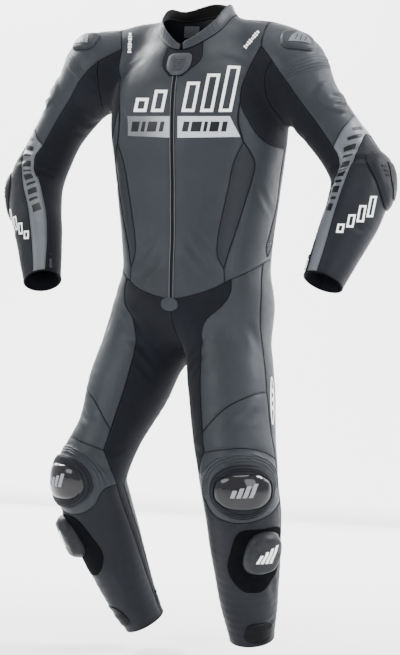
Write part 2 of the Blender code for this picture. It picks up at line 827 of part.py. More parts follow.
def torso_seams():
    near = TORSO_MESH * 0.8
    zip_edges = {side: zip_line(side, ZIP_TOP, ZIP_FOOT) for side in SIDES}
    for side in SIDES:
        sign = SIDES[side]
        edge = zip_edges[side]
        yoke_end = from_above(YOKE_END[side] * sign, 0.0)
        yoke_front = trunk_point(YOKE_FRONT[side], side)
        chest = trunk_line(CHEST_EDGE[side], side)
        corner = trunk_point(CHEST_CORNER, side)
        leaf_top = trunk_point(LEAF_TOP, side)
        leaf_foot = trunk_point(LEAF_FOOT, side)
        princess = trunk_point(WAIST_PRINCESS, side)
        waist_side = trunk_point(WAIST_SIDE, side)
        neck_ridge = neck_point(NECK_SHOULDER * sign)
        seam("zip_" + side, edge, near)
        seam("ridge_" + side, [neck_ridge, from_above(0.110 * sign, 0.010), yoke_end], near)
        seam("yoke_" + side, [yoke_end, yoke_front], near)
        seam("chest_" + side, [yoke_front] + chest, near)
        seam("chest_low_" + side, [chest[-1]] + trunk_line(CHEST_LOW, side) + [corner], near)
        seam("princess_" + side, [chest[-1], trunk_point((-0.200, 52.5), side), leaf_top], near)
        seam("leaf_outer_" + side, [leaf_top] + trunk_line(LEAF_OUTER, side) + [leaf_foot], near)
        seam("leaf_inner_" + side, [leaf_top] + trunk_line(LEAF_INNER, side) + [leaf_foot], near)
        seam("princess_low_" + side, [leaf_foot, princess], near)
        seam("waist_" + side, [edge[-1]] + trunk_line(WAIST_STEPS, side) + [princess], near)
        stretch = trunk_point(WAIST_STRETCH, side)
        seam("waist_short_" + side, [princess, stretch], near)
        seam("waist_outer_" + side, [stretch] + trunk_line(WAIST_OUTER, side) + [waist_side], near)
        strip_foot = trunk_point(STRIP_FOOT, side)
        strip_back = trunk_point(STRIP_TOP_BACK, side)
        waist_back = trunk_point(WAIST_BACK_SIDE, side)
        seam("strip_front_" + side, [corner] + trunk_line(STRIP_FRONT, side) + [strip_foot], near)
        seam("strip_back_" + side, [strip_foot] + trunk_line(STRIP_BACK, side) + [strip_back], near)
        seam("strip_top_" + side, [corner, strip_back], near)
        seam("hip_" + side, [strip_foot, waist_back], near)
        seam("waist_hip_" + side, [waist_side, waist_back], near)
        middle_back = trunk_point(WAIST_BACK_MIDDLE)
        seam("waist_back_" + side, [waist_back] + trunk_line(WAIST_BACK, side) + [middle_back], near)
        turn = BIB_TURNS[0] if side == "R" else BIB_TURNS[1]
        seam("neck_front_" + side, neck_line(turn, NECK_SHOULDER * sign), near * 0.7)
        seam("neck_back_" + side, neck_line(NECK_SHOULDER * sign, 180 * sign, 7), near * 0.7)
    bib_left = trunk_point(BIB_CORNERS[1])
    bib_right = trunk_point(BIB_CORNERS[0])
    neck_left = neck_point(BIB_TURNS[1])
    neck_right = neck_point(BIB_TURNS[0])
    seam("bib_L", [neck_left, trunk_point(BIB_CORNERS[2]), bib_left], near)
    seam("bib_R", [neck_right, trunk_point((-0.075, -18.0)), bib_right], near)
    seam("bib_neck", neck_line(BIB_TURNS[0], BIB_TURNS[1]), near * 0.6)
    seam("bib_foot_L", [bib_left, zip_edges["L"][0]], near)
    seam("bib_foot", [zip_edges["L"][0], zip_edges["R"][0]], near)
    seam("bib_foot_R", [zip_edges["R"][0], bib_right], near)
    middle = trunk_point(WAIST_FRONT)
    for side in SIDES:
        seam("zip_foot_" + side, [middle, zip_edges[side][-1]], near)


BADGE_PLACE = (0.003, -0.110, -0.074)   # rubber badge over the head of the zip
BADGE_HALF = (0.028, 0.027)
BADGE_PROFILE = [(0.0, 0.0045), (0.75, 0.0040), (1.0, 0.0022)]


def badge_pad():
    centre = settle(np.array([BADGE_PLACE]))[0]
    return Pad(centre, 2, 32, *BADGE_HALF, 5.0, 0.0, 0.5)


def torso_panels():
    badge = badge_pad()
    for side in SIDES:
        sign = SIDES[side]
        front = Facing(38 * sign, 28)
        panel("front_" + side, ["neck_front_" + side, "ridge_" + side, "yoke_" + side,
                                "chest_" + side, "princess_" + side, "leaf_inner_" + side,
                                "princess_low_" + side, "-waist_" + side, "-zip_" + side,
                                "-bib_foot_" + side if side == "L" else "bib_foot_" + side,
                                "-bib_" + side], front, TORSO_MESH, "leather")
        panel("leaf_" + side, ["leaf_inner_" + side, "-leaf_outer_" + side],
              Facing(50 * sign, 0), TORSO_MESH, "dark_leather")
        panel("side_front_" + side, ["-princess_" + side, "chest_low_" + side,
                                     "strip_front_" + side, "hip_" + side,
                                     "-waist_hip_" + side, "-waist_outer_" + side,
                                     "-waist_short_" + side,
                                     "-princess_low_" + side, "-leaf_outer_" + side],
              Facing(72 * sign, 0), TORSO_MESH, "leather")
        panel("side_strip_" + side, ["strip_front_" + side, "strip_back_" + side,
                                     "-strip_top_" + side], Facing(95 * sign, 0),
              TORSO_MESH, "stretch")
    panel("throat", ["bib_neck", "bib_L", "bib_foot_L", "bib_foot", "bib_foot_R", "-bib_R"],
          Facing(0, 20), TORSO_MESH, "stretch", badge.marks([1.0, 0.75], 16))
    padded("zip_badge", badge, SHEETS["throat"], GAP, BADGE_PROFILE, "rubber")
    panel("front_zip", ["bib_foot", "zip_R", "-zip_foot_R", "zip_foot_L", "-zip_L"], Facing(0, 0),
          TORSO_MESH, "zip")


# ---------------------------------------------------------------- armholes, chest and back
# Places on the armhole seam, from the front of the shoulder under the arm to
# the back, with x pointing outwards.
Place = namedtuple("Place", "x y z")
ARMHOLE_FRONT = {
    "L": [Place(0.203, -0.069, -0.069), Place(0.187, -0.070, -0.105),
          Place(0.190, -0.058, -0.155), Place(0.206, -0.027, -0.190),
          Place(0.213, 0.018, -0.212)],
    "R": [Place(0.211, -0.072, -0.060), Place(0.214, -0.070, -0.086),
          Place(0.216, -0.058, -0.122), Place(0.224, -0.027, -0.156),
          Place(0.236, 0.018, -0.174)],
}
ARMHOLE_BACK = {
    "L": [Place(0.213, 0.018, -0.212), Place(0.206, 0.060, -0.190),
          Place(0.190, 0.086, -0.150), Place(0.186, 0.096, -0.105),
          Place(0.200, 0.090, -0.062)],
    "R": [Place(0.236, 0.018, -0.174), Place(0.224, 0.060, -0.156),
          Place(0.216, 0.086, -0.120), Place(0.213, 0.096, -0.084),
          Place(0.213, 0.090, -0.045)],
}


ARMPIT_DROP = 0.030     # the side seam leaves the armhole by this place
SIDE_TURN = 108.0
CHEST_POST = {"L": 0.120, "R": 0.135}   # upright axis that the chest stretch curves around


def placed(places, side):
    return list(settle(np.array([(p.x * SIDES[side], p.y, p.z) for p in places])))


def chest_chart(side):
    post = Upright([(CHEST_POST[side] * SIDES[side], 0.030, 0.0)])
    return Around(post, 60 * SIDES[side], 0.10)


def armhole_seams():
    near = TORSO_MESH * 0.7
    for side in SIDES:
        front = placed(ARMHOLE_FRONT[side], side)
        back = placed(ARMHOLE_BACK[side], side)
        low, back = back[:2], back[1:]
        yoke_end = SEAMS["yoke_" + side][0]
        strip_back = SEAMS["strip_top_" + side][-1]
        seam("armhole_" + side, front, near)
        seam("armhole_low_" + side, low, near)
        seam("armhole_back_" + side, back, near)
        middle = settle(((yoke_end + back[-1]) / 2 + [0, 0.02, 0.03])[None])[0]
        seam("yoke_back_" + side, [yoke_end, middle, back[-1]], near)
        below = trunk_point((back[0][2] - ARMPIT_DROP, SIDE_TURN), side)
        seam("side_back_" + side, [back[0], below, strip_back], near, chest_chart(side))
        seam("shoulder_" + side, [SEAMS["yoke_" + side][-1], front[0]], near)


def armhole_panels():
    for side in SIDES:
        panel("chest_stretch_" + side, ["chest_" + side, "chest_low_" + side,
                                        "strip_top_" + side, "-side_back_" + side,
                                        "-armhole_low_" + side, "-armhole_" + side,
                                        "-shoulder_" + side],
              chest_chart(side), TORSO_MESH * 0.8, "stretch")
    right = ["ridge_R", "yoke_back_R", "-armhole_back_R", "side_back_R", "-strip_back_R",
             "hip_R", "waist_back_R"]
    left = [name[:-1] + "L" for name in right]
    turned = [name[1:] if name.startswith("-") else "-" + name for name in reversed(left)]
    panel("back", ["-neck_back_R"] + right + turned + ["neck_back_L"],
          Facing(180, 22), TORSO_MESH * 1.25, "leather")


# ---------------------------------------------------------------- sleeves
SLEEVE_END = {"L": 0.545, "R": 0.573}
# Seams of a sleeve by share of its run and turn.
FRONT_DIAGONAL = {
    "L": [(0.040, 2.0), (0.138, 1.0), (0.251, 0.0)],
    "R": [(0.040, -5.0), (0.138, -6.0), (0.251, -4.0)],
}
BAND_CORNER = (0.370, -3.0)
BAND_TOP = {
    "L": [(0.334, 30.0), (0.308, 75.0), (0.292, 112.0)],
    "R": [(0.355, 30.0), (0.325, 75.0), (0.303, 112.0)],
}
BAND_OUT_FOOT = (0.400, 112.0)
BAND_FOOT = {
    "L": [(0.390, 80.0), (0.413, 57.0), (0.480, 20.0), (0.596, -10.0), (0.734, -19.0),
          (0.862, -12.0)],
    "R": [(0.390, 82.0), (0.413, 64.0), (0.480, 30.0), (0.596, -4.0), (0.734, -17.0),
          (0.862, -12.0)],
}
BAND_INNER = {
    "L": [(0.430, -5.0), (0.500, -22.0), (0.587, -47.0), (0.734, -60.0), (0.862, -55.0)],
    "R": [(0.430, 2.0), (0.500, -13.0), (0.587, -40.0), (0.734, -59.0), (0.862, -55.0)],
}
BACK_DIAGONAL = [(0.040, 178.0), (0.138, 179.0), (0.251, 180.0)]
ELBOW_BACK = (0.405, 183.0)
FOREARM_BACK = [(0.560, 192.0), (0.734, 200.0), (0.862, 203.0)]
ELBOW_SEAM = [(0.403, 148.0)]
CUFF_TURNS = {"inner": -45.0, "outer": -5.0, "back": 204.0}
RIB_RUNS = [0.004, 0.0085, 0.013, 0.0175, 0.022]     # accordion ridges below the shoulder
RIB_TURNS = (5.0, 100.0)
RIB_SLANT = 0.00018                                  # run gained per degree of turn
RIB_LIFT = 0.0016
# Raised pieces of a sleeve: (run, turn), facing and half sizes.
CUP_PLACE = {"L": (-0.011, 62.0), "R": (-0.015, 50.0)}
CUP_FACING = {"L": (50.0, 47.0), "R": (42.0, 42.0)}
SHOULDER_CUP_HALF = {"L": (0.037, 0.030), "R": (0.031, 0.027)}
SHOULDER_CUP_PROFILE = [(0.0, 0.0078), (0.7, 0.0072), (0.9, 0.0054), (1.0, 0.0022)]
BICEP_PLACE = (0.109, 60.0)
BICEP_FACING = (62.0, 22.0)
BICEP_HALF = (0.042, 0.034)
BICEP_PROFILE = [(0.0, 0.0045), (0.8, 0.0040), (1.0, 0.0), (9.0, 0.0)]
ELBOW_SHARE = {"L": 0.553, "R": 0.586}
ELBOW_TURN = 92.0
ELBOW_HALF = (0.044, 0.062)
ELBOW_PROFILE = [(0.0, 0.0100), (0.55, 0.0098), (0.82, 0.0075), (1.0, 0.0025)]


def arm_point(place, side):
    share, turn = place
    return ARMS[side].at(share * SLEEVE_END[side], turn)


def arm_line(places, side):
    return [arm_point(place, side) for place in places]


def cuff_line(side, start, stop, count):
    return [arm_point((1.0, turn), side) for turn in np.linspace(start, stop, count)]


def sleeve_seams():
    near = ARM_MESH
    for side in SIDES:
        top = SEAMS["shoulder_" + side][-1]
        back = SEAMS["armhole_back_" + side][-1]
        corner = arm_point(BAND_CORNER, side)
        over = arm_line(BAND_TOP[side], side)
        out_foot = arm_point(BAND_OUT_FOOT, side)
        elbow = arm_point(ELBOW_BACK, side)
        inner, outer, rear = (arm_point((1.0, CUFF_TURNS[key]), side)
                              for key in ("inner", "outer", "back"))
        seam("diagonal_" + side, [top] + arm_line(FRONT_DIAGONAL[side], side) + [corner], near)
        seam("band_top_" + side, [corner] + over, near)
        seam("band_end_" + side, [over[-1], out_foot], near)
        seam("band_foot_" + side, [out_foot] + arm_line(BAND_FOOT[side], side) + [outer], near)
        seam("band_inner_" + side, [corner] + arm_line(BAND_INNER[side], side) + [inner], near)
        seam("elbow_seam_" + side, [out_foot] + arm_line(ELBOW_SEAM, side) + [elbow], near)
        seam("back_diagonal_" + side, [back] + arm_line(BACK_DIAGONAL, side) + [elbow], near)
        seam("forearm_back_" + side, [elbow] + arm_line(FOREARM_BACK, side) + [rear], near)
        seam("cuff_band_" + side, cuff_line(side, CUFF_TURNS["inner"], CUFF_TURNS["outer"], 4), near)
        around = cuff_line(side, CUFF_TURNS["outer"], CUFF_TURNS["back"], 12)
        seam("cuff_outer_" + side, around, near * 0.8)
        under = cuff_line(side, CUFF_TURNS["back"] - 360, CUFF_TURNS["inner"], 8)
        seam("cuff_under_" + side, under, near * 0.8)


CUFF_PULL = (-0.030, -62.0)     # hinge of the cuff zip's pull: run back from the cuff, turn


def sleeve_pads(side):
    sign = SIDES[side]
    limb = ARMS[side]
    elbow = limb.at(ELBOW_SHARE[side] * SLEEVE_END[side], ELBOW_TURN)
    return {
        "cup": Pad(limb.at(*CUP_PLACE[side]), CUP_FACING[side][0] * sign, CUP_FACING[side][1],
                   *SHOULDER_CUP_HALF[side], 3.0, -18 * sign),
        "bicep": Pad(limb.at(*BICEP_PLACE), BICEP_FACING[0] * sign, BICEP_FACING[1],
                     *BICEP_HALF, 3.0, -34 * sign),
        "elbow": Pad(elbow, 94 * sign, -4, *ELBOW_HALF, 2.6, -6 * sign),
    }


def rib_marks(limb, runs, turns, lift, spacing):
    """Crest and valley lines of an accordion panel."""
    marks = []
    step = runs[1] - runs[0]
    for number in range(2 * len(runs) + 1):
        run = runs[0] + (number - 1) * step / 2
        centres = [limb.at(run + RIB_SLANT * (turn - turns[0]), turn)
                   for turn in np.linspace(*turns, 6)]
        line = curve_on_body(centres, spacing)
        marks.append((line, lift if number % 2 else 0.0, False))
    return marks


def sleeve_panels():
    for side in SIDES:
        limb = ARMS[side]
        pads = sleeve_pads(side)
        marks = rib_marks(limb, RIB_RUNS, RIB_TURNS, RIB_LIFT, ARM_MESH)
        marks += pads["cup"].marks([1.0, 0.8], 16) + pads["bicep"].marks([1.0, 0.8], 14)

        def bicep_relief(points, pad=pads["bicep"]):
            near = np.linalg.norm(points - pad.centre, axis=1) < 0.07
            return profile_height(BICEP_PROFILE, pad.level(points)) * near

        panel("sleeve_top_" + side, ["yoke_" + side, "shoulder_" + side, "diagonal_" + side,
                                     "band_top_" + side, "band_end_" + side,
                                     "elbow_seam_" + side, "-back_diagonal_" + side,
                                     "-yoke_back_" + side],
              Around(limb, 90, 0.075), ARM_MESH * 1.3, "leather", marks, bicep_relief)
        base = lug(limb, SLEEVE_END[side] + CUFF_PULL[0], CUFF_PULL[1])
        panel("sleeve_stretch_" + side, ["armhole_" + side, "armhole_low_" + side,
                                         "armhole_back_" + side, "back_diagonal_" + side,
                                         "forearm_back_" + side, "cuff_under_" + side,
                                         "-band_inner_" + side, "-diagonal_" + side],
              Around(limb, -88, 0.065), ARM_MESH * 1.35, "stretch",
              base.marks([1.0, 0.6], 8, LUG_LIFT))
        panel("sleeve_band_" + side, ["band_top_" + side, "band_end_" + side,
                                      "band_foot_" + side, "-cuff_band_" + side,
                                      "-band_inner_" + side],
              Around(limb, 20, 0.06), ARM_MESH, "silver_leather")
        panel("forearm_" + side, ["elbow_seam_" + side, "forearm_back_" + side,
                                  "-cuff_outer_" + side, "-band_foot_" + side],
              Around(limb, 95, 0.06), ARM_MESH * 1.15, "dark_leather",
              pads["elbow"].marks([1.0, 0.75], 18))
        padded("shoulder_cup_" + side, pads["cup"], SHEETS["sleeve_top_" + side], GAP,
               SHOULDER_CUP_PROFILE, "leather")
        padded("elbow_guard_" + side, pads["elbow"], SHEETS["forearm_" + side], GAP,
               ELBOW_PROFILE, "dark_leather")


# ---------------------------------------------------------------- leg seams
LEG_END = {"L": 0.750, "R": 0.762}
# Edge of the groin stretch by height and turn around the leg's upright axis.
GROIN_EDGE = [(-0.556, 31.0), (-0.577, 27.0), (-0.597, 19.0), (-0.614, 9.5), (-0.633, 2.0),
              (-0.653, -4.0), (-0.675, -9.0), (-0.697, -13.4), (-0.722, -16.0), (-0.775, -20.0)]
# Other places on a leg by run (metres along its centre line) and turn.
THIGH_NOTCH = (0.285, -23.0)            # where the slanting thigh seam leaves the stretch
THIGH_SLANT = [(0.250, 16.0), (0.226, 48.0)]
SLANT_OUT = (0.205, 80.0)
SIDE_TOP = [(0.020, 70.0), (0.100, 78.0)]
SIDE_LOW = [(0.280, 88.0)]
KNEE_IN_TOP = (0.325, -26.0)
KNEE_TOP = [(0.330, 10.0), (0.333, 46.0)]
KNEE_OUT_TOP = (0.347, 98.0)
KNEE_OUT_LOW = (0.428, 104.0)
KNEE_INNER = [(0.350, -50.0)]
KNEE_IN_LOW = (0.391, -74.0)
KNEE_LOW = [(0.396, -55.0), (0.406, -43.0), (0.428, -27.0), (0.441, 0.0), (0.445, 30.0),
            (0.441, 66.0)]
STRIP_FRONT_EDGE = [(0.470, -76.0), (0.560, -80.0), (0.650, -86.0)]
STRIP_REAR_EDGE = [(0.470, -94.0), (0.560, -98.0), (0.650, -106.0)]
KNEE_BACK_IN = (0.394, -94.0)
KNEE_BACK = [(0.398, -140.0), (0.404, -180.0), (0.412, -218.0)]
CALF_SIDE = [(0.520, 108.0), (0.640, 110.0)]
HEM_TURNS = {"strip": -92.0, "rear": -114.0, "side": 112.0}
THIGH_BACK = [(0.080, -128.0), (0.180, -112.0), (0.290, -102.0)]
# The rise seam in the middle, by angle down from the front, seen from the side.
RISE_AXIS = (0.000, -0.600)
RISE_LEAN = 0.15                        # the crotch lies to the right, under the apart legs
RISE_ANGLES = [24.0, 48.0, 72.0, 96.0]
RISE_LOW = 118.0                        # where the groin stretch ends at the back
RISE_BACK = [142.0, 164.0, 186.0]


def leg_point(place, side):
    return LEGS[side].at(*place)


def leg_line(places, side):
    return [leg_point(place, side) for place in places]


def rise_point(angle):
    """Place of the middle seam around the crotch; 0 is straight to the front."""
    a = np.radians(angle)
    origin = np.array([0.0, RISE_AXIS[0], RISE_AXIS[1]])
    return march_out(origin, unit(np.array([-RISE_LEAN * np.sin(a), -np.cos(a), -np.sin(a)])))


def hem_line(side, start, stop, count):
    return [leg_point((LEG_END[side], turn), side) for turn in np.linspace(start, stop, count)]


def leg_seams():
    near = LEG_MESH
    front_middle = SEAMS["zip_foot_L"][0]
    back_middle = SEAMS["waist_back_L"][-1]
    rise_low = rise_point(RISE_LOW)
    seam("rise_front", [front_middle] + [rise_point(a) for a in RISE_ANGLES] + [rise_low], near)
    seam("rise_back", [rise_low] + [rise_point(a) for a in RISE_BACK] + [back_middle], near * 1.3)
    for side in SIDES:
        stretch = SEAMS["waist_short_" + side][-1]
        waist_side = SEAMS["waist_hip_" + side][0]
        notch = leg_point(THIGH_NOTCH, side)
        slant_out = leg_point(SLANT_OUT, side)
        in_top, out_top = leg_point(KNEE_IN_TOP, side), leg_point(KNEE_OUT_TOP, side)
        in_low, out_low = leg_point(KNEE_IN_LOW, side), leg_point(KNEE_OUT_LOW, side)
        back_in = leg_point(KNEE_BACK_IN, side)
        strip, rear, outside = (leg_point((LEG_END[side], HEM_TURNS[key]), side)
                                for key in ("strip", "rear", "side"))
        edge = [LEG_POSTS[side].at(height, turn * SIDES[side]) for height, turn in GROIN_EDGE]
        seam("groin_" + side, [stretch] + edge + [notch], near)
        seam("groin_low_" + side, [notch, in_top], near)
        seam("slant_" + side, [notch] + leg_line(THIGH_SLANT, side) + [slant_out], near)
        seam("side_top_" + side, [waist_side] + leg_line(SIDE_TOP, side) + [slant_out], near)
        seam("side_low_" + side, [slant_out] + leg_line(SIDE_LOW, side) + [out_top], near)
        seam("knee_top_" + side, [in_top] + leg_line(KNEE_TOP, side) + [out_top], near * 0.8)
        seam("knee_side_" + side, [out_top, out_low], near)
        seam("knee_inner_" + side, [in_top] + leg_line(KNEE_INNER, side) + [in_low], near)
        seam("knee_low_" + side, [in_low] + leg_line(KNEE_LOW, side) + [out_low], near * 0.8)
        seam("strip_head_" + side, [in_low, back_in], near)
        seam("strip_fore_" + side, [in_low] + leg_line(STRIP_FRONT_EDGE, side) + [strip], near)
        seam("strip_rear_" + side, [back_in] + leg_line(STRIP_REAR_EDGE, side) + [rear], near)
        seam("knee_back_" + side, [back_in] + leg_line(KNEE_BACK, side) + [out_low], near)
        seam("calf_side_" + side, [out_low] + leg_line(CALF_SIDE, side) + [outside], near)
        seam("thigh_back_" + side, [rise_low] + leg_line(THIGH_BACK, side) + [back_in], near)
        seam("hem_strip_" + side, hem_line(side, HEM_TURNS["rear"], HEM_TURNS["strip"], 3), near)
        front = hem_line(side, HEM_TURNS["strip"], HEM_TURNS["side"], 10)
        seam("hem_front_" + side, front, near * 0.75)
        back = hem_line(side, HEM_TURNS["side"], HEM_TURNS["rear"] + 360, 7)
        seam("hem_back_" + side, back, near * 0.75)


# Accordion folds round the top of the knee ring: sizes against the ring, valleys and crests.
KNEE_FOLDS = [1.10, 1.16, 1.22, 1.28, 1.34, 1.40, 1.46]
KNEE_FOLD_LIFT = 0.0020
KNEE_FOLD_CLEAR = 0.006                 # kept from the seams
KNEE_FOLD_POINTS = 26
# Raised pieces on a leg: (run, turn), half width, half height.
KNEE_PLACE = (0.396, 29.0)
KNEE_AZIMUTH = 31.0
RING_HALF = (0.066, 0.058)
SHIELD = 0.18                           # ring and cup narrow this much at the foot
CUP_HALF = (0.055, 0.036)
PATCH_PLACE = (0.528, 45.0)
PATCH_AZIMUTH = 45.0
PATCH_HALF = (0.057, 0.076)
PUCK_PLACE = (0.508, 52.0)
PUCK_AZIMUTH = 51.0
PUCK_HALF = (0.038, 0.049)
HEM_PATCH_PLACE = (0.717, 44.0)
HEM_PATCH_HALF = (0.031, 0.025)
# Height of a raised piece by level: 0 is its middle, 1 its edge.
RING_PROFILE = [(0.50, 0.0075), (0.80, 0.0105), (0.92, 0.0085), (1.0, 0.0025)]
CUP_PROFILE = [(0.0, 0.0165), (0.6, 0.0150), (0.88, 0.0125), (1.0, 0.0085)]
PATCH_PROFILE = [(0.0, 0.0016), (1.0, 0.0016)]
PUCK_PROFILE = [(0.0, 0.0235), (0.72, 0.0225), (0.86, 0.0170), (1.0, 0.0060)]


def knee_folds(chart, ring, names):
    """Lines round the top of the ring, crest and valley in turn, inside a panel."""
    edge = chart.flatten(border(names))
    edge = np.vstack([edge, edge[:1]])
    loop = ring.loop(1.0, KNEE_FOLD_POINTS)
    flat = chart.flatten(loop)
    origins, rays = chart.rays(flat)
    reach = ((loop - origins) * rays).sum(axis=1)
    centre = flat.mean(axis=0)
    marks = []
    for number, scale in enumerate(KNEE_FOLDS):
        line = centre + (flat - centre) * scale
        kept = inside(line, edge[:-1]) & (distance_to_lines(line, [edge]) > KNEE_FOLD_CLEAR)
        kept &= line[:, 1] < centre[1]
        starts = np.flatnonzero(kept & ~np.roll(kept, 1))
        for start in starts:
            count = int(np.argmin(np.roll(kept, -start)))
            chosen = (start + np.arange(count)) % len(flat)
            if count > 2:
                origins, rays = chart.rays(line[chosen])
                far = nearest_exit(origins, rays, reach[chosen])
                lift = KNEE_FOLD_LIFT if number % 2 else 0.0
                marks.append((settle_along(origins, rays, far), lift, False))
    return marks


CALF_PULL = (-0.050, -101.0)    # hinge of the calf zip's pull: run back from the hem, turn


def leg_pads(side):
    sign = SIDES[side]
    knee = leg_point(KNEE_PLACE, side)
    return {
        "ring": Pad(knee, KNEE_AZIMUTH * sign, 0, *RING_HALF, 2.3, 0.0, SHIELD),
        "cup": Pad(knee, KNEE_AZIMUTH * sign, 0, *CUP_HALF, 3.0, 0.0, SHIELD),
        "patch": Pad(leg_point(PATCH_PLACE, side), PATCH_AZIMUTH * sign, -12, *PATCH_HALF, 5.0,
                     0.0, 0.55),
        "puck": Pad(leg_point(PUCK_PLACE, side), PUCK_AZIMUTH * sign, -12, *PUCK_HALF, 2.6),
        "hem": Pad(leg_point(HEM_PATCH_PLACE, side), 44 * sign, -10, *HEM_PATCH_HALF, 3.0),
    }


def leg_panels():
    for side in SIDES:
        sign = SIDES[side]
        limb = LEGS[side]
        end = "_" + side
        pads = leg_pads(side)
        knee_chart = Around(limb, 15, 0.09)
        knee_seams = ["knee_top" + end, "knee_side" + end, "-knee_low" + end, "-knee_inner" + end]
        knee_marks = (knee_folds(knee_chart, pads["ring"], knee_seams)
                      + pads["ring"].marks([1.0, 0.85], 22) + pads["cup"].marks([1.0, 0.75], 16))
        shank_marks = (pads["patch"].marks([1.0], 22) + pads["puck"].marks([1.0, 0.8], 16)
                       + pads["hem"].marks([1.0], 14))
        panel("groin_stretch" + end,
              ["zip_foot" + end, "waist" + end, "waist_short" + end, "groin" + end,
               "groin_low" + end, "knee_inner" + end, "strip_head" + end,
               "-thigh_back" + end, "-rise_front"],
              Around(LEG_POSTS[side], -50 * sign, 0.09), LEG_MESH * 1.15, "stretch")
        panel("thigh_upper" + end, ["waist_outer" + end, "side_top" + end, "-slant" + end,
                                    "-groin" + end],
              Around(LEG_POSTS[side], 35 * sign, 0.1), LEG_MESH * 1.25, "leather")
        panel("thigh_lower" + end, ["slant" + end, "side_low" + end, "-knee_top" + end,
                                    "-groin_low" + end],
              Around(limb, 35, 0.1), LEG_MESH * 1.1, "leather")
        panel("seat" + end, ["waist_hip" + end, "waist_back" + end, "-rise_back",
                             "thigh_back" + end, "knee_back" + end, "-knee_side" + end,
                             "-side_low" + end, "-side_top" + end],
              Around(limb, 178, 0.1), LEG_MESH * 1.4, "leather")
        panel("knee" + end, knee_seams, knee_chart, LEG_MESH * 0.9, "leather", knee_marks)
        panel("shank" + end, ["knee_low" + end, "calf_side" + end, "-hem_front" + end,
                              "-strip_fore" + end],
              Around(limb, 15, 0.07), LEG_MESH, "dark_leather", shank_marks)
        panel("calf_strip" + end, ["strip_head" + end, "strip_rear" + end, "hem_strip" + end,
                                   "-strip_fore" + end],
              Around(limb, -85, 0.07), LEG_MESH, "stretch",
              lug(limb, LEG_END[side] + CALF_PULL[0], CALF_PULL[1]).marks([1.0, 0.6], 8, LUG_LIFT))
        panel("calf" + end, ["knee_back" + end, "calf_side" + end, "hem_back" + end,
                             "-strip_rear" + end],
              Around(limb, 185, 0.07), LEG_MESH * 1.3, "dark_leather")
        knee, shank = SHEETS["knee" + end], SHEETS["shank" + end]
        padded("knee_ring" + end, pads["ring"], knee, GAP, RING_PROFILE, "dark_leather",
               pads["cup"])
        padded("knee_cup" + end, pads["cup"], knee, GAP, CUP_PROFILE, "gloss_plastic")
        padded("slider_patch" + end, pads["patch"], shank, GAP, PATCH_PROFILE, "stretch")
        padded("knee_slider" + end, pads["puck"], shank, GAP + PATCH_PROFILE[0][1] + GAP,
               PUCK_PROFILE, "matt_plastic")
        padded("hem_patch" + end, pads["hem"], shank, GAP, PATCH_PROFILE, "dark_leather")


# ---------------------------------------------------------------- collar
COLLAR_STEP = 16.0              # widest turn between two sections round the neck
COLLAR_OPEN = 3.6               # half opening at the zip, in degrees
# Height of the collar by turn, the wearer's right side negative.
COLLAR_HEIGHT = [(-180, 0.028), (-150, 0.024), (-120, 0.020), (-90, 0.022), (-55, 0.027),
                 (-30, 0.021), (-12, 0.014), (0, 0.010), (9, 0.017), (30, 0.019), (60, 0.023),
                 (100, 0.026), (180, 0.028)]
COLLAR_THICK = 0.0052
COLLAR_GAP = 0.0004             # base of the collar beyond the seam line
COLLAR_RISE = np.array([0.0, -0.30, 1.0])
COLLAR_LEAN = 0.30              # inwards at the sides, per metre of rise
COLLAR_ROWS = [0.0, 0.25, 0.5, 0.75, 1.0]
COLLAR_TURNING = 0.018          # height over which the collar turns upright
COLLAR_CREST = 0.0016


class NeckRing:
    """The neck seam as one line of straight chords, so the collar lies along it."""

    def __init__(self):
        names = ["bib_neck", "neck_front_L", "neck_front_R", "neck_back_L", "neck_back_R"]
        points = np.concatenate([SEAMS[name] for name in names])
        turns = np.degrees(np.arctan2(points[:, 0] / NECK_HALF_WIDTH,
                                      -points[:, 1] / NECK_HALF_DEPTH)) % 360
        self.turns, first = np.unique(turns.round(1), return_index=True)
        self.points = points[first]

    def at(self, turn):
        return np.array([np.interp(turn, self.turns, self.points[:, i], period=360)
                         for i in range(3)])

    def sections(self):
        """Turns of every seam point, with more between wide ones."""
        ends = [COLLAR_OPEN, 360 - COLLAR_OPEN]
        turns = sorted(ends + [turn for turn in self.turns if ends[0] + 1 < turn < ends[1] - 1])
        chosen = []
        for low, high in zip(turns[:-1], turns[1:]):
            count = int(np.ceil((high - low) / COLLAR_STEP))
            chosen += list(np.linspace(low, high, count, endpoint=False))
        return chosen + [turns[-1]]


def collar_section(ring, turn):
    """Closed outline of the collar at one turn: outer side up, inner side down."""
    base, ahead, behind = (ring.at(turn + step) for step in (0, 3, -3))
    normal = body_normal(base[None])[0]
    along = unit(ahead - behind)
    leave = unit(np.cross(along, normal))
    rise = unit(COLLAR_RISE - np.array([COLLAR_LEAN * np.sin(np.radians(turn)), 0.0, 0.0]))
    if leave @ rise < 0:
        leave = -leave
    turn = turn if turn <= 180 else turn - 360
    height = np.interp(turn, [row[0] for row in COLLAR_HEIGHT],
                       [row[1] for row in COLLAR_HEIGHT])
    spine = [base + leave * COLLAR_GAP]
    sides = []
    steps = np.array(COLLAR_ROWS) * height
    for low, high in zip(steps[:-1], steps[1:]):
        share = min((low + high) / 2 / COLLAR_TURNING, 1.0)
        way = unit(leave * (1 - share) + rise * share)
        spine.append(spine[-1] + way * (high - low))
        sides.append(unit(normal - way * (normal @ way)))
    sides.append(sides[-1])
    half = COLLAR_THICK / 2
    outer = [p + s * half for p, s in zip(spine, sides)]
    inner = [p - s * half for p, s in zip(spine, sides)]
    crest = spine[-1] + rise * COLLAR_CREST
    return outer + [crest] + inner[::-1]


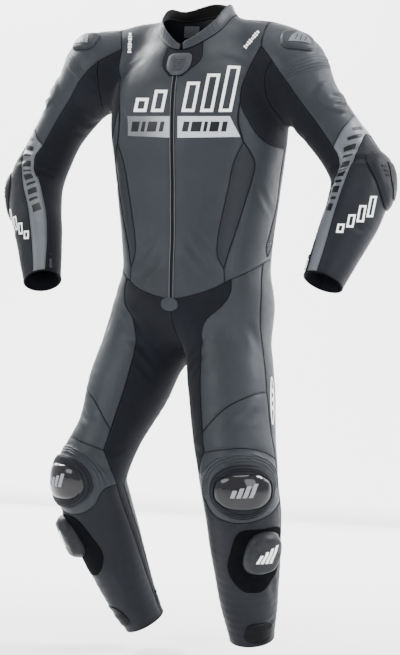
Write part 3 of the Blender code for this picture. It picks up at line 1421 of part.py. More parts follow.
def loft(name, sections, finish):
    """Closed solid through equal open-ended sections."""
    count = len(sections[0])
    vertices = [point for section in sections for point in section]
    faces = []
    for row in range(len(sections) - 1):
        for i in range(count):
            j = (i + 1) % count
            a, b = row * count + i, row * count + j
            faces += [(a, b, b + count), (a, b + count, a + count)]
    last = (len(sections) - 1) * count
    half = count // 2
    for first, turned in ((0, True), (last, False)):
        for i in range(half - 1):
            ring = [first + i, first + i + 1, first + count - 2 - i, first + count - 1 - i]
            faces.append(tuple(ring[::-1] if turned else ring))
        tip = (first + half - 1, first + half, first + half + 1)
        faces.append(tip[::-1] if turned else tip)
    thing = add_object(name, vertices, faces, finish)
    outward = sum(p.center.dot(p.normal) * p.area for p in thing.data.polygons)
    if outward < 0:
        thing.data.flip_normals()
    return thing


def build_collar():
    ring = NeckRing()
    loft("collar", [collar_section(ring, turn) for turn in ring.sections()], "leather")


# ---------------------------------------------------------------- tab and zip pulls
TAB_PLACE = (-0.004, -0.140, -0.588)    # leather tab over the foot of the zip
TAB_HALF = (0.020, 0.014)
TAB_FOOT = WALL / 2 + 0.0012


def build_tab():
    centre = settle(np.array([TAB_PLACE]))[0]
    pad = Pad(centre, 0, 0, *TAB_HALF, 2.2)
    sheet = make_sheet(pad.chart, pad.loop(1.0, 18), 0.011)
    high = TAB_FOOT + 0.0022
    shell("zip_tab", sheet, TAB_FOOT, high, "leather", 0.0)


PULL_LENGTH = 0.024
PULL_WIDTH = 0.0068
PULL_THICK = 0.0016
PULL_CLEAR = 0.0007             # under the pull, above the cloth's surface
# Outline of half a pull: share of its length from the hinge, share of its half width.
PULL_OUTLINE = [(0.02, 0.55), (0.10, 0.80), (0.30, 0.72), (0.62, 0.95), (0.86, 1.00), (0.97, 0.72)]


def build_pull(name, limb, run, turn):
    """Hinged tab lying on the cloth; its origin is on the hinge."""
    head = limb.at(run, turn)
    foot = limb.at(run + PULL_LENGTH, turn)
    normal = body_normal(((head + foot) / 2)[None])[0]
    along = unit(foot - head)
    normal = unit(normal - along * (normal @ along))
    across = np.cross(along, normal)
    hinge = head + normal * (WALL / 2 + PULL_CLEAR + PULL_THICK / 2)
    outline = [(far * PULL_LENGTH, wide * PULL_WIDTH / 2) for far, wide in PULL_OUTLINE]
    ring = outline + [(a, -b) for a, b in reversed(outline)]
    top = [hinge + along * a + across * b + normal * PULL_THICK / 2 for a, b in ring]
    bottom = [hinge + along * a + across * b - normal * PULL_THICK / 2 for a, b in ring]
    count = len(ring)
    faces = [tuple(range(count)), tuple(range(2 * count - 1, count - 1, -1))]
    faces += [(i, i + count, (i + 1) % count + count, (i + 1) % count) for i in range(count)]
    vertices = [np.array(p) - hinge for p in top + bottom]
    thing = add_object(name, vertices, faces, "rubber", smooth=False)
    thing.location = Vector(hinge)
    outward = sum(p.center.dot(p.normal) * p.area for p in thing.data.polygons)
    if outward < 0:
        thing.data.flip_normals()


def build_pulls():
    for side in SIDES:
        build_pull("cuff_pull_" + side, ARMS[side], SLEEVE_END[side] + CUFF_PULL[0], CUFF_PULL[1])
        build_pull("calf_pull_" + side, LEGS[side], LEG_END[side] + CALF_PULL[0], CALF_PULL[1])


# ---------------------------------------------------------------- build
def build():
    for thing in list(bpy.data.objects):
        bpy.data.objects.remove(thing)
    bpy.context.scene.collection.children.link(COLLECTION)
    torso_seams()
    armhole_seams()
    sleeve_seams()
    leg_seams()
    torso_panels()
    armhole_panels()
    sleeve_panels()
    leg_panels()
    build_collar()
    build_tab()
    build_pulls()


build()
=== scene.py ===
"""Looks of the motorcycle race suit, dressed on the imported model.

Every cut piece is drawn again on the same body surface with finer points, then
given rolled seams, soft creases, stitching and a material.
"""
from collections import namedtuple

import bmesh
import bpy
import numpy as np
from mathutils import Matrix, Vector
from mathutils.geometry import delaunay_2d_cdt


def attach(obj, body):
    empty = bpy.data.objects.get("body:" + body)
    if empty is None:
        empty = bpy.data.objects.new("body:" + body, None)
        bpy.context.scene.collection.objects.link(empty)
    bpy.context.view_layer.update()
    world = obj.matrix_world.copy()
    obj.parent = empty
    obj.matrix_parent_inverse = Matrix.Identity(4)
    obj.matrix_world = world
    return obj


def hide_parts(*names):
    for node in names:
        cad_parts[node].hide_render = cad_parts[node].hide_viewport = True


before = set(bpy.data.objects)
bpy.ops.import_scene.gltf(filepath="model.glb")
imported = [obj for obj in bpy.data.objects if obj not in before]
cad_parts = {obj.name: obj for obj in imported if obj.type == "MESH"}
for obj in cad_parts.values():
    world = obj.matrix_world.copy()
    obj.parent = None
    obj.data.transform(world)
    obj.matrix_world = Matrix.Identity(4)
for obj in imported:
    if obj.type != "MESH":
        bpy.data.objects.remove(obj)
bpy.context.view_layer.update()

# ---------------------------------------------------------------- dimensions
WALL = 0.002            # leather or stretch cloth
GAP = 0.0003            # between neighbouring pieces
TORSO_MESH = 0.0105      # spacing of the wall's points on the torso
ARM_MESH = 0.0080
LEG_MESH = 0.0090

# ---------------------------------------------------------------- body form
# Torso sections: height, half width, front and back depth, squareness.
Section = namedtuple("Section", "z half_width front back power")
TORSO = [
    Section(-0.720, 0.130, -0.098, 0.112, 2.0),
    Section(-0.640, 0.148, -0.126, 0.130, 2.2),
    Section(-0.580, 0.158, -0.140, 0.130, 2.3),
    Section(-0.520, 0.161, -0.139, 0.122, 2.3),
    Section(-0.450, 0.169, -0.134, 0.118, 2.3),
    Section(-0.360, 0.180, -0.133, 0.128, 2.3),
    Section(-0.280, 0.190, -0.135, 0.138, 2.3),
    Section(-0.200, 0.197, -0.136, 0.140, 2.4),
    Section(-0.120, 0.185, -0.127, 0.135, 2.4),
    Section(-0.060, 0.148, -0.099, 0.122, 2.3),
    Section(-0.020, 0.100, -0.080, 0.100, 2.1),
    Section(0.020, 0.073, -0.071, 0.082, 2.0),
    Section(0.060, 0.070, -0.069, 0.080, 2.0),
]
# Tubes: a centre line and its radius.  x points outwards on either side.
Station = namedtuple("Station", "x y z radius")
SHOULDER = [
    Station(0.050, 0.020, -0.036, 0.055),
    Station(0.120, 0.020, -0.036, 0.060),
    Station(0.178, 0.015, -0.055, 0.068),
]
ARM = {
    "L": [
        Station(0.213, 0.010, -0.090, 0.074),
        Station(0.248, 0.015, -0.142, 0.066),
        Station(0.300, 0.020, -0.211, 0.059),
        Station(0.345, 0.022, -0.270, 0.059),
        Station(0.376, 0.010, -0.325, 0.064),
        Station(0.378, -0.030, -0.385, 0.061),
        Station(0.368, -0.070, -0.440, 0.055),
        Station(0.348, -0.122, -0.524, 0.044),
        Station(0.338, -0.156, -0.580, 0.039),
    ],
    "R": [
        Station(0.240, 0.010, -0.077, 0.077),
        Station(0.294, 0.015, -0.132, 0.066),
        Station(0.346, 0.020, -0.198, 0.055),
        Station(0.386, 0.022, -0.262, 0.055),
        Station(0.410, 0.010, -0.322, 0.060),
        Station(0.398, -0.020, -0.380, 0.058),
        Station(0.368, -0.060, -0.440, 0.052),
        Station(0.333, -0.110, -0.528, 0.042),
        Station(0.310, -0.140, -0.580, 0.038),
    ],
}
LEG = {
    "L": [
        Station(0.058, 0.008, -0.620, 0.097),
        Station(0.080, -0.020, -0.690, 0.093),
        Station(0.104, -0.055, -0.775, 0.093),
        Station(0.128, -0.095, -0.870, 0.088),
        Station(0.150, -0.120, -0.960, 0.083),
        Station(0.156, -0.110, -1.040, 0.080),
        Station(0.149, -0.080, -1.130, 0.073),
        Station(0.140, -0.045, -1.230, 0.062),
        Station(0.136, -0.018, -1.320, 0.048),
        Station(0.135, 0.002, -1.400, 0.041),
    ],
    "R": [
        Station(0.092, 0.010, -0.620, 0.112),
        Station(0.121, -0.020, -0.690, 0.095),
        Station(0.145, -0.055, -0.775, 0.089),
        Station(0.170, -0.095, -0.870, 0.072),
        Station(0.206, -0.115, -0.965, 0.077),
        Station(0.205, -0.090, -1.040, 0.076),
        Station(0.189, -0.055, -1.130, 0.069),
        Station(0.168, -0.015, -1.230, 0.057),
        Station(0.141, 0.022, -1.315, 0.045),
        Station(0.108, 0.046, -1.375, 0.040),
    ],
}
SIDES = {"L": 1.0, "R": -1.0}
SHOULDER_BLEND = 0.050
ARM_BLEND = 0.035
LEG_BLEND = 0.050
CROTCH_BLEND = 0.018
SEAT_BLEND = 0.060
SEAT_LEVEL = -0.655


def curve_through(rows, steps):
    """Catmull-Rom curve through the rows, each span in equal steps."""
    data = np.array(rows, float)
    ends = [2 * data[0] - data[1]], [2 * data[-1] - data[-2]]
    data = np.vstack([ends[0], data, ends[1]])
    points = []
    for before, start, stop, after in zip(data, data[1:], data[2:], data[3:]):
        for t in np.arange(steps) / steps:
            slope = (stop - before) * t
            bend = (2 * before - 5 * start + 4 * stop - after) * t * t
            twist = (3 * start - before - 3 * stop + after) * t ** 3
            points.append(start + 0.5 * (slope + bend + twist))
    points.append(data[-2])
    return np.array(points)


def mirrored(rows, side):
    return [(SIDES[side] * row.x, row.y, row.z, row.radius) for row in rows]


def blend(a, b, width):
    """Smooth union of two distance fields."""
    share = np.clip(0.5 + 0.5 * (b - a) / width, 0, 1)
    return b + (a - b) * share - width * share * (1 - share)


TUBE_REACH = 0.075      # beyond this a tube no longer shapes the surface
FAR = 0.5


def tube_field(points, rows):
    low = (rows[:, :3] - rows[:, 3:]).min(axis=0) - TUBE_REACH
    high = (rows[:, :3] + rows[:, 3:]).max(axis=0) + TUBE_REACH
    near = ((points > low) & (points < high)).all(axis=1)
    field = np.full(len(points), FAR)
    start = rows[:-1, :3]
    along = rows[1:, :3] - start
    length = (along * along).sum(axis=1)
    taper = np.diff(rows[:, 3])
    for block in np.array_split(np.flatnonzero(near), max(1, near.sum() // 6000)):
        offset = points[block][:, None] - start[None]
        t = np.clip((offset * along).sum(axis=2) / length, 0, 1)
        offset -= t[..., None] * along
        radius = rows[:-1, 3] + t * taper
        field[block] = (np.sqrt((offset * offset).sum(axis=2)) - radius).min(axis=1)
    return field


TORSO_CURVE = curve_through(TORSO, 6)
TUBE_STEPS = 5
SHOULDER_CURVE = {
    side: curve_through(mirrored(SHOULDER + ARM[side][:1], side), TUBE_STEPS) for side in SIDES
}
ARM_CURVE = {side: curve_through(mirrored(ARM[side], side), TUBE_STEPS) for side in SIDES}
LEG_CURVE = {side: curve_through(mirrored(LEG[side], side), TUBE_STEPS) for side in SIDES}


RIDGE_BLEND = 0.02      # where the two shoulder tubes meet
SLOPE_STEP = 0.0008     # for slopes of the body's field
SLIDE_STEPS = 10
SLIDE_LIMIT = 0.012     # longest move in one step
LEAST_CLIMB = 0.2       # a ray that grazes the body climbs at least this fast
EXIT_REACH = 0.045      # how far a rough reach may be wrong
EXIT_STEPS = 19
MARCH_REACH = 0.36
MARCH_STEPS = 121


def torso_field(points):
    heights = TORSO_CURVE[:, 0]
    width, front, back, power = (
        np.interp(points[:, 2], heights, TORSO_CURVE[:, i]) for i in (1, 2, 3, 4)
    )
    x = points[:, 0]
    y = points[:, 1] - (front + back) / 2
    depth = (back - front) / 2
    level = ((np.abs(x) / width) ** power + (np.abs(y) / depth) ** power) ** (1 / power) + 1e-6
    wall = (np.hypot(x, y) + 1e-6) * (1 - 1 / level)
    seat = SEAT_LEVEL - points[:, 2]
    return -blend(-wall, -seat, SEAT_BLEND)


def body_field(points):
    """Signed distance, roughly, to the middle of the garment's wall."""
    shoulders = blend(
        tube_field(points, SHOULDER_CURVE["L"]), tube_field(points, SHOULDER_CURVE["R"]),
        RIDGE_BLEND
    )
    body = blend(torso_field(points), shoulders, SHOULDER_BLEND)
    for side in SIDES:
        body = blend(body, tube_field(points, ARM_CURVE[side]), ARM_BLEND)
    legs = blend(
        tube_field(points, LEG_CURVE["L"]), tube_field(points, LEG_CURVE["R"]), CROTCH_BLEND
    )
    return blend(body, legs, LEG_BLEND)


def body_slope(points):
    shifts = np.concatenate([np.eye(3), -np.eye(3)]) * SLOPE_STEP
    values = body_field((points[None] + shifts[:, None]).reshape(-1, 3)).reshape(6, -1)
    return (values[:3] - values[3:]).T / (2 * SLOPE_STEP)


def unit(vectors):
    return vectors / np.linalg.norm(vectors, axis=-1, keepdims=True)


def body_normal(points):
    return unit(body_slope(points))


def settle(points, steps=6):
    """Move points straight onto the body surface."""
    points = np.array(points, float)
    for _ in range(steps):
        slope = body_slope(points)
        size = (slope * slope).sum(axis=1)
        points = points - slope * (body_field(points) / size)[:, None]
    return points


def settle_along(origins, rays, reach):
    """Slide points along their rays onto the body surface."""
    for _ in range(SLIDE_STEPS):
        points = origins + rays * reach[:, None]
        climb = (body_slope(points) * rays).sum(axis=1)
        climb = np.where(np.abs(climb) < LEAST_CLIMB, LEAST_CLIMB, climb)
        reach = reach - np.clip(body_field(points) / climb, -SLIDE_LIMIT, SLIDE_LIMIT)
    return origins + rays * reach[:, None]


def nearest_exit(origins, rays, reach):
    """Correct rough reaches to where each ray leaves the body nearest to them."""
    steps = np.linspace(-EXIT_REACH, EXIT_REACH, EXIT_STEPS)
    tries = origins + rays * (reach + steps[:, None])[:, :, None]
    within = body_field(tries.reshape(-1, 3)).reshape(len(steps), -1) < 0
    leaves = within[:-1] & ~within[1:]
    middle = (steps[:-1] + steps[1:]) / 2
    best = np.where(leaves, np.abs(middle)[:, None], 1.0).argmin(axis=0)
    return reach + np.where(leaves.any(axis=0), middle[best], 0.0)


def march_out(origin, ray):
    """First point where a ray from inside leaves the body."""
    reach = np.linspace(0.0, MARCH_REACH, MARCH_STEPS)
    outside = body_field(origin + ray * reach[:, None]) > 0
    first = reach[max(int(np.argmax(outside)), 1)]
    return settle_along(origin[None], ray[None], np.array([first]))[0]


# ---------------------------------------------------------------- limb coordinates
class Limb:
    """Places on a sleeve or leg: run along the centre line, turn around it.

    A turn of 0 faces the wearer's front, 90 the outside and -90 the inside.
    """

    STEPS = 24
    NEAR = 0.012        # the line's way is taken between places this far on and back

    def __init__(self, lead, rows, side):
        self.side = SIDES[side]
        self.line = curve_through(mirrored(lead + rows, side), self.STEPS)[:, :3]
        lengths = np.linalg.norm(np.diff(self.line, axis=0), axis=1)
        self.runs = np.concatenate([[0], np.cumsum(lengths)])
        self.runs -= self.runs[self.STEPS * len(lead)]

    def frame(self, run):
        run = np.atleast_1d(np.asarray(run, float))
        sample = [np.interp(run, self.runs, self.line[:, i]) for i in range(3)]
        ahead = [np.interp(run + self.NEAR, self.runs, self.line[:, i]) for i in range(3)]
        behind = [np.interp(run - self.NEAR, self.runs, self.line[:, i]) for i in range(3)]
        centre = np.stack(sample, -1)
        along = unit(np.stack(ahead, -1) - np.stack(behind, -1))
        front = np.array([0, -1.0, 0]) - along * (-along[:, 1])[:, None]
        front = unit(front)
        out = -np.cross(along, front) * self.side
        return centre, front, out

    def ray(self, run, turn):
        centre, front, out = self.frame(run)
        angle = np.radians(np.atleast_1d(turn))[:, None]
        return centre, np.cos(angle) * front + np.sin(angle) * out

    def place(self, points):
        """Run and turn of points near the limb."""
        distance = np.linalg.norm(points[:, None] - self.line[None], axis=2)
        near = np.clip(distance.argmin(axis=1), 1, len(self.line) - 2)
        step = self.line[near + 1] - self.line[near - 1]
        share = ((points - self.line[near]) * step).sum(axis=1) / (step * step).sum(axis=1)
        width = self.runs[near + 1] - self.runs[near - 1]
        run = self.runs[near] + np.clip(share, -0.5, 0.5) * width
        centre, front, out = self.frame(run)
        offset = points - centre
        turn = np.degrees(np.arctan2((offset * out).sum(axis=1), (offset * front).sum(axis=1)))
        return run, turn

    def at(self, run, turn):
        centre, ray = self.ray(run, turn)
        return march_out(centre[0], ray[0])


class Upright:
    """Places round an axis that rises with height: height, and turn around it.

    A turn of 0 faces the front, positive towards the wearer's left.
    """

    def __init__(self, axis):
        axis = np.array(axis, float)
        self.axis = axis[axis[:, 2].argsort()]

    def frame(self, height):
        height = np.atleast_1d(np.asarray(height, float))
        x, y = (np.interp(height, self.axis[:, 2], self.axis[:, i]) for i in (0, 1))
        return np.stack([x, y, height], -1)

    def ray(self, height, turn):
        angle = np.radians(np.atleast_1d(turn))
        centre = self.frame(height)
        return centre, np.stack([np.sin(angle), -np.cos(angle), np.zeros_like(angle)], -1)

    def place(self, points):
        centre = self.frame(points[:, 2])
        offset = points - centre
        return points[:, 2], np.degrees(np.arctan2(offset[:, 0], -offset[:, 1]))

    def at(self, height, turn):
        centre, ray = self.ray(height, turn)
        return march_out(centre[0], ray[0])


TRUNK = Upright([(0, (row[2] + row[3]) / 2, row[0]) for row in TORSO_CURVE])
# Stations that lead from inside the torso to the start of each limb.
ARM_LEAD = {
    "L": [Station(0.100, 0.012, -0.060, 0), Station(0.160, 0.011, -0.062, 0)],
    "R": [Station(0.110, 0.012, -0.052, 0), Station(0.180, 0.011, -0.052, 0)],
}
LEG_LEAD = [Station(0.052, 0.008, -0.430, 0), Station(0.055, 0.010, -0.530, 0)]
ARMS = {side: Limb(ARM_LEAD[side], ARM[side], side) for side in SIDES}
LEGS = {side: Limb(LEG_LEAD, LEG[side], side) for side in SIDES}
LEG_POSTS = {side: Upright(LEGS[side].line) for side in SIDES}


# ---------------------------------------------------------------- charts
class Around:
    """Flat chart of a limb or the torso, unrolled about a middle turn."""

    def __init__(self, limb, middle, radius):
        self.limb = limb
        self.middle = middle
        self.radius = radius

    def flatten(self, points):
        run, turn = self.limb.place(points)
        turn = (turn - self.middle + 180) % 360 - 180
        return np.stack([np.radians(turn) * self.radius, run], -1)

    def rays(self, flat):
        turn = np.degrees(flat[:, 0] / self.radius) + self.middle
        return self.limb.ray(flat[:, 1], turn)


class Facing:
    """Flat chart seen along one direction, by azimuth and elevation in degrees."""

    def __init__(self, azimuth, elevation):
        a, e = np.radians(azimuth), np.radians(elevation)
        self.outward = np.array([np.sin(a) * np.cos(e), -np.cos(a) * np.cos(e), np.sin(e)])
        self.across = np.array([np.cos(a), np.sin(a), 0.0])
        self.upward = np.cross(self.outward, self.across)

    def flatten(self, points):
        return np.stack([points @ self.across, points @ self.upward], -1)

    def rays(self, flat):
        origins = flat[:, :1] * self.across + flat[:, 1:] * self.upward
        return origins, np.broadcast_to(self.outward, origins.shape)


# ---------------------------------------------------------------- sheets of points
class Sheet:
    """Triangulated stretch of the body surface: points, normals, lift, triangles."""

    def __init__(self, points, normals, lift, triangles):
        self.points = points
        self.normals = normals
        self.lift = lift
        self.triangles = triangles

    def part(self, keep):
        """The triangles whose centres pass the test, as a sheet of their own."""
        centres = self.points[self.triangles].mean(axis=1)
        chosen = self.triangles[keep(centres)]
        used = np.unique(chosen)
        renumber = np.full(len(self.points), -1)
        renumber[used] = np.arange(len(used))
        return Sheet(self.points[used], self.normals[used], self.lift[used], renumber[chosen])

    def loops(self):
        """Boundary loops, each with the sheet on its left."""
        edges = np.concatenate([self.triangles[:, [0, 1]], self.triangles[:, [1, 2]],
                                self.triangles[:, [2, 0]]])
        known = {tuple(edge) for edge in edges}
        onward = {a: b for a, b in known if (b, a) not in known}
        loops = []
        while onward:
            start = min(onward)
            loop = [start]
            following = onward.pop(start)
            while following != start:
                loop.append(following)
                following = onward.pop(following)
            loops.append(loop)
        return loops


def inside(flat, loop):
    """Which flat points lie inside a closed loop."""
    x, y = flat[:, 0], flat[:, 1]
    hit = np.zeros(len(flat), bool)
    for (x0, y0), (x1, y1) in zip(loop, np.roll(loop, -1, axis=0)):
        crosses = (y0 > y) != (y1 > y)
        with np.errstate(divide="ignore", invalid="ignore"):
            where = x0 + (y - y0) * (x1 - x0) / (y1 - y0)
        hit ^= crosses & (x < where)
    return hit


def distance_to_lines(flat, lines):
    best = np.full(len(flat), UNREACHED)
    for line in lines:
        for start, stop in zip(line[:-1], line[1:]):
            along = stop - start
            t = np.clip((flat - start) @ along / max(along @ along, 1e-12), 0, 1)
            gap = np.linalg.norm(flat - start - t[:, None] * along, axis=1)
            np.minimum(best, gap, out=best)
    return best


UNREACHED = 1e9
ROW_STEP = 0.866        # height of an even triangle
WELD = 1e-7             # points nearer than this in a chart are one


def lattice(low, high, spacing):
    """Points in staggered rows between two corners."""
    rows = np.arange(low[1] + spacing / 2, high[1], spacing * ROW_STEP)
    columns = np.arange(low[0] + spacing / 2, high[0], spacing)
    grid = []
    for number, y in enumerate(rows):
        shift = spacing / 2 * (number % 2)
        grid.extend((x + shift, y) for x in columns)
    return np.array(grid).reshape(-1, 2)


def make_sheet(chart, border, spacing, marks=(), clear=0.55):
    """Fill a closed border on the body with triangles.

    Marks are lines drawn inside it: (points, lift of the outer face, closed).
    """
    flat_border = chart.flatten(border)
    corners = [flat_border]
    solid = [border]
    lifts = [np.zeros(len(border))]
    count = len(border)
    edges = [(i, (i + 1) % count) for i in range(count)]
    lines = [np.vstack([flat_border, flat_border[:1]])]
    for points, lift, closed in marks:
        flat = chart.flatten(points)
        ids = np.arange(count, count + len(points))
        edges += list(zip(ids[:-1].tolist(), ids[1:].tolist()))
        if closed:
            edges.append((int(ids[-1]), int(ids[0])))
            lines.append(np.vstack([flat, flat[:1]]))
        else:
            lines.append(flat)
        count += len(points)
        corners.append(flat)
        solid.append(points)
        lifts.append(np.full(len(points), lift))
    free = lattice(flat_border.min(axis=0), flat_border.max(axis=0), spacing)
    free = free[inside(free, flat_border)]
    free = free[distance_to_lines(free, lines) > spacing * clear]
    fixed = np.vstack(solid)
    anchors, outward = chart.rays(np.vstack(corners))
    fixed_reach = ((fixed - anchors) * outward).sum(axis=1)
    points = fixed
    if len(free):
        origins, rays = chart.rays(free)
        apart = np.linalg.norm(free[:, None] - np.vstack(corners)[None], axis=2)
        weight = 1 / (apart ** 3 + 1e-9)
        reach = (weight * fixed_reach).sum(axis=1) / weight.sum(axis=1)
        reach = nearest_exit(origins, rays, reach)
        points = np.vstack([fixed, settle_along(origins, rays, reach)])
    flat_all = np.vstack(corners + [free])
    lift_all = np.concatenate(lifts + [np.zeros(len(free))])
    made = delaunay_2d_cdt([Vector(p) for p in flat_all.tolist()], edges, [], 1, WELD)
    source = np.array([ids[0] if ids else -1 for ids in made[3]])
    if (source < 0).any():
        raise ValueError("lines cross inside a sheet")
    triangles = source[np.array(made[2])]
    used = points[triangles]
    facing = np.cross(used[:, 1] - used[:, 0], used[:, 2] - used[:, 0])
    normals = body_normal(points)
    if (facing * normals[triangles[:, 0]]).sum() < 0:
        triangles = triangles[:, ::-1]
    whole = Sheet(points, normals, lift_all, triangles)
    return whole.part(lambda centres: np.ones(len(centres), bool))


# ---------------------------------------------------------------- seams
SEAMS = {}
CURVE_STEPS = 10


def curve_on_body(points, spacing, closed=False):
    """Smooth line over the body through a few places, evenly divided."""
    points = np.array(points, float)
    if len(points) == 2:
        points = np.array([points[0], settle(points.mean(axis=0)[None])[0], points[1]])
    if closed:
        count = len(points)
        lap = count * CURVE_STEPS
        dense = curve_through(np.vstack([points] * 3), CURVE_STEPS)[lap:2 * lap + 1]
    else:
        dense = curve_through(points, CURVE_STEPS)
    dense = settle(dense)
    lengths = np.concatenate([[0], np.cumsum(np.linalg.norm(np.diff(dense, axis=0), axis=1))])
    pieces = max(3 if closed else 1, round(lengths[-1] / spacing))
    where = np.linspace(0, lengths[-1], pieces + 1)
    even = np.stack([np.interp(where, lengths, dense[:, i]) for i in range(3)], -1)
    even = settle(even)
    even[0], even[-1] = dense[0], dense[-1]
    return even[:-1] if closed else even


def curve_in_chart(chart, points, spacing):
    """Line over the body that is smooth in a chart, evenly divided."""
    points = np.array(points, float)
    flat = chart.flatten(points)
    origins, rays = chart.rays(flat)
    reach = ((points - origins) * rays).sum(axis=1)
    dense = curve_through(np.column_stack([flat, reach]), 8)
    origins, rays = chart.rays(dense[:, :2])
    line = settle_along(origins, rays, dense[:, 2])
    lengths = np.concatenate([[0], np.cumsum(np.linalg.norm(np.diff(line, axis=0), axis=1))])
    pieces = max(1, round(lengths[-1] / spacing))
    where = np.linspace(0, lengths[-1], pieces + 1)
    flat = np.stack([np.interp(where, lengths, dense[:, i]) for i in range(2)], -1)
    reach = np.interp(where, lengths, ((line - origins) * rays).sum(axis=1))
    origins, rays = chart.rays(flat)
    even = settle_along(origins, rays, reach)
    even[0], even[-1] = points[0], points[-1]
    return even


def seam(name, points, spacing, chart=None):
    if chart is None:
        SEAMS[name] = curve_on_body(points, spacing)
    else:
        SEAMS[name] = curve_in_chart(chart, points, spacing)


def border(names):
    """Closed border from seams end to end; a leading minus runs one backwards."""
    runs = []
    for name in names:
        line = SEAMS[name.lstrip("-")]
        runs.append(line[::-1] if name.startswith("-") else line)
    for number, run in enumerate(runs):
        jump = np.linalg.norm(run[-1] - runs[(number + 1) % len(runs)][0])
        if jump > 1e-6:
            raise ValueError("seams do not meet after " + names[number])
    return np.vstack([run[:-1] for run in runs])




# ---------------------------------------------------------------- camera and places in its picture
PICTURE = np.array([400, 655])          # size in pixels of the photograph
SENSOR = 36.0
CAMERA_TARGET = np.array([0.0, 0.0, -0.645])
CAMERA_AZIMUTH = np.radians(25.0)
CAMERA_HEIGHT = np.radians(3.0)
CAMERA_DISTANCE = 5.0
CAMERA_LENS = 124.93
CAMERA_SHIFT = 0.0015
CAMERA_AWAY = np.array([np.sin(CAMERA_AZIMUTH) * np.cos(CAMERA_HEIGHT),
                        -np.cos(CAMERA_AZIMUTH) * np.cos(CAMERA_HEIGHT), np.sin(CAMERA_HEIGHT)])
CAMERA_PLACE = CAMERA_TARGET + CAMERA_AWAY * CAMERA_DISTANCE
CAMERA_ACROSS = np.array([np.cos(CAMERA_AZIMUTH), np.sin(CAMERA_AZIMUTH), 0.0])
CAMERA_UPWARD = np.cross(CAMERA_AWAY, CAMERA_ACROSS)
SEEN_REACH = (4.2, 5.7)                 # the suit lies between these distances
SEEN_STEP = 0.004


def seen(pixels, inside_out=False):
    """Points of the suit's surface at places in the picture, near or far side."""
    flat = (np.array(pixels, float) - PICTURE / 2) / PICTURE.max() + [CAMERA_SHIFT, 0.0]
    flat *= SENSOR / CAMERA_LENS
    rays = unit(flat[:, :1] * CAMERA_ACROSS - flat[:, 1:] * CAMERA_UPWARD - CAMERA_AWAY)
    reach = np.arange(*SEEN_REACH, SEEN_STEP)
    tries = CAMERA_PLACE + rays[:, None] * reach[:, None]
    within = body_field(tries.reshape(-1, 3)).reshape(len(rays), -1) < 0
    if inside_out:
        reach, within = reach[::-1], within[:, ::-1]
    first = reach[within.argmax(axis=1)]
    origins = np.broadcast_to(CAMERA_PLACE, rays.shape)
    return settle_along(origins, rays, first)


def traced(corners, step=2.4, closed=True):
    """Straight-sided line through places in the picture, laid on the suit."""
    corners = np.array(corners, float)
    following = np.roll(corners, -1, axis=0)
    dense = []
    for start, stop in list(zip(corners, following))[:None if closed else -1]:
        count = max(1, round(float(np.hypot(*(stop - start))) / step))
        dense += [start + (stop - start) * i / count for i in range(count)]
    if not closed:
        dense.append(corners[-1])
    return seen(dense)


# ---------------------------------------------------------------- prints
# A print is a thin piece of a panel's own surface inside a loop, and outside its hole.
# It lies on the panel, or on the padded piece that it names.
Print = namedtuple("Print", "name panel loop hole finish base height on")
PRINTS = []
PRINT_BASE = 0.0001
PRINT_HEIGHT = 0.0004


def add_print(name, panel_name, loop, finish, hole=None, base=PRINT_BASE, height=PRINT_HEIGHT,
              on=None):
    PRINTS.append(Print(name, panel_name, loop, hole, finish, base, height, on))


def print_marks(panel_name):
    """Outlines of the prints that a panel's triangles must follow."""
    marks = []
    for each in PRINTS:
        if each.panel == panel_name:
            marks.append((each.loop, 0.0, True))
            if each.hole is not None:
                marks.append((each.hole, 0.0, True))
    return marks


PRINT_INSET = 0.00005
PRINT_ANGLE = 30


def lay_prints(panel_name, on, sheet, chart):
    for each in PRINTS:
        if each.panel != panel_name or each.on != on:
            continue
        outline = chart.flatten(each.loop)
        gap = None if each.hole is None else chart.flatten(each.hole)

        def chosen(points):
            flat = chart.flatten(points)
            kept = inside(flat, outline)
            if gap is not None:
                kept &= ~inside(flat, gap)
            return kept

        part = sheet.part(chosen)
        low = part.lift + each.base
        shell("piece_" + each.name, part, low, low + each.height, each.finish, PRINT_INSET,
              PRINT_ANGLE)


# ---------------------------------------------------------------- pieces of the render
COLLECTION = bpy.data.collections.new("race_suit_looks")
bpy.context.scene.collection.children.link(COLLECTION)
SEAM_DIP = 0.0009
SEAM_ROLL = 0.0042
SHEETS = {}
CREASES = []
CHARTS = {}


def add_object(name, vertices, faces, finish, angle=50, body="suit"):
    mesh = bpy.data.meshes.new(name)
    mesh.from_pydata(np.asarray(vertices).tolist(), [], faces)
    mesh.update()
    mesh.shade_smooth()
    if angle:
        mesh.set_sharp_from_angle(angle=np.radians(angle))
    mesh.materials.append(MATERIALS[finish])
    thing = bpy.data.objects.new(name, mesh)
    COLLECTION.objects.link(thing)
    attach(thing, body)
    return thing


def inset_edges(sheet, amount):
    """Sheet points with each border vertex drawn in, edges staying parallel."""
    points = sheet.points.copy()
    for loop in sheet.loops():
        ring = sheet.points[loop]
        normal = sheet.normals[loop]
        ahead = unit(np.roll(ring, -1, axis=0) - ring)
        behind = np.roll(ahead, 1, axis=0)
        left = unit(np.cross(normal, ahead))
        right = unit(np.cross(normal, behind))
        reach = np.maximum(1 + (left * right).sum(axis=1), 0.35)
        points[loop] += (left + right) / reach[:, None] * amount
    return points


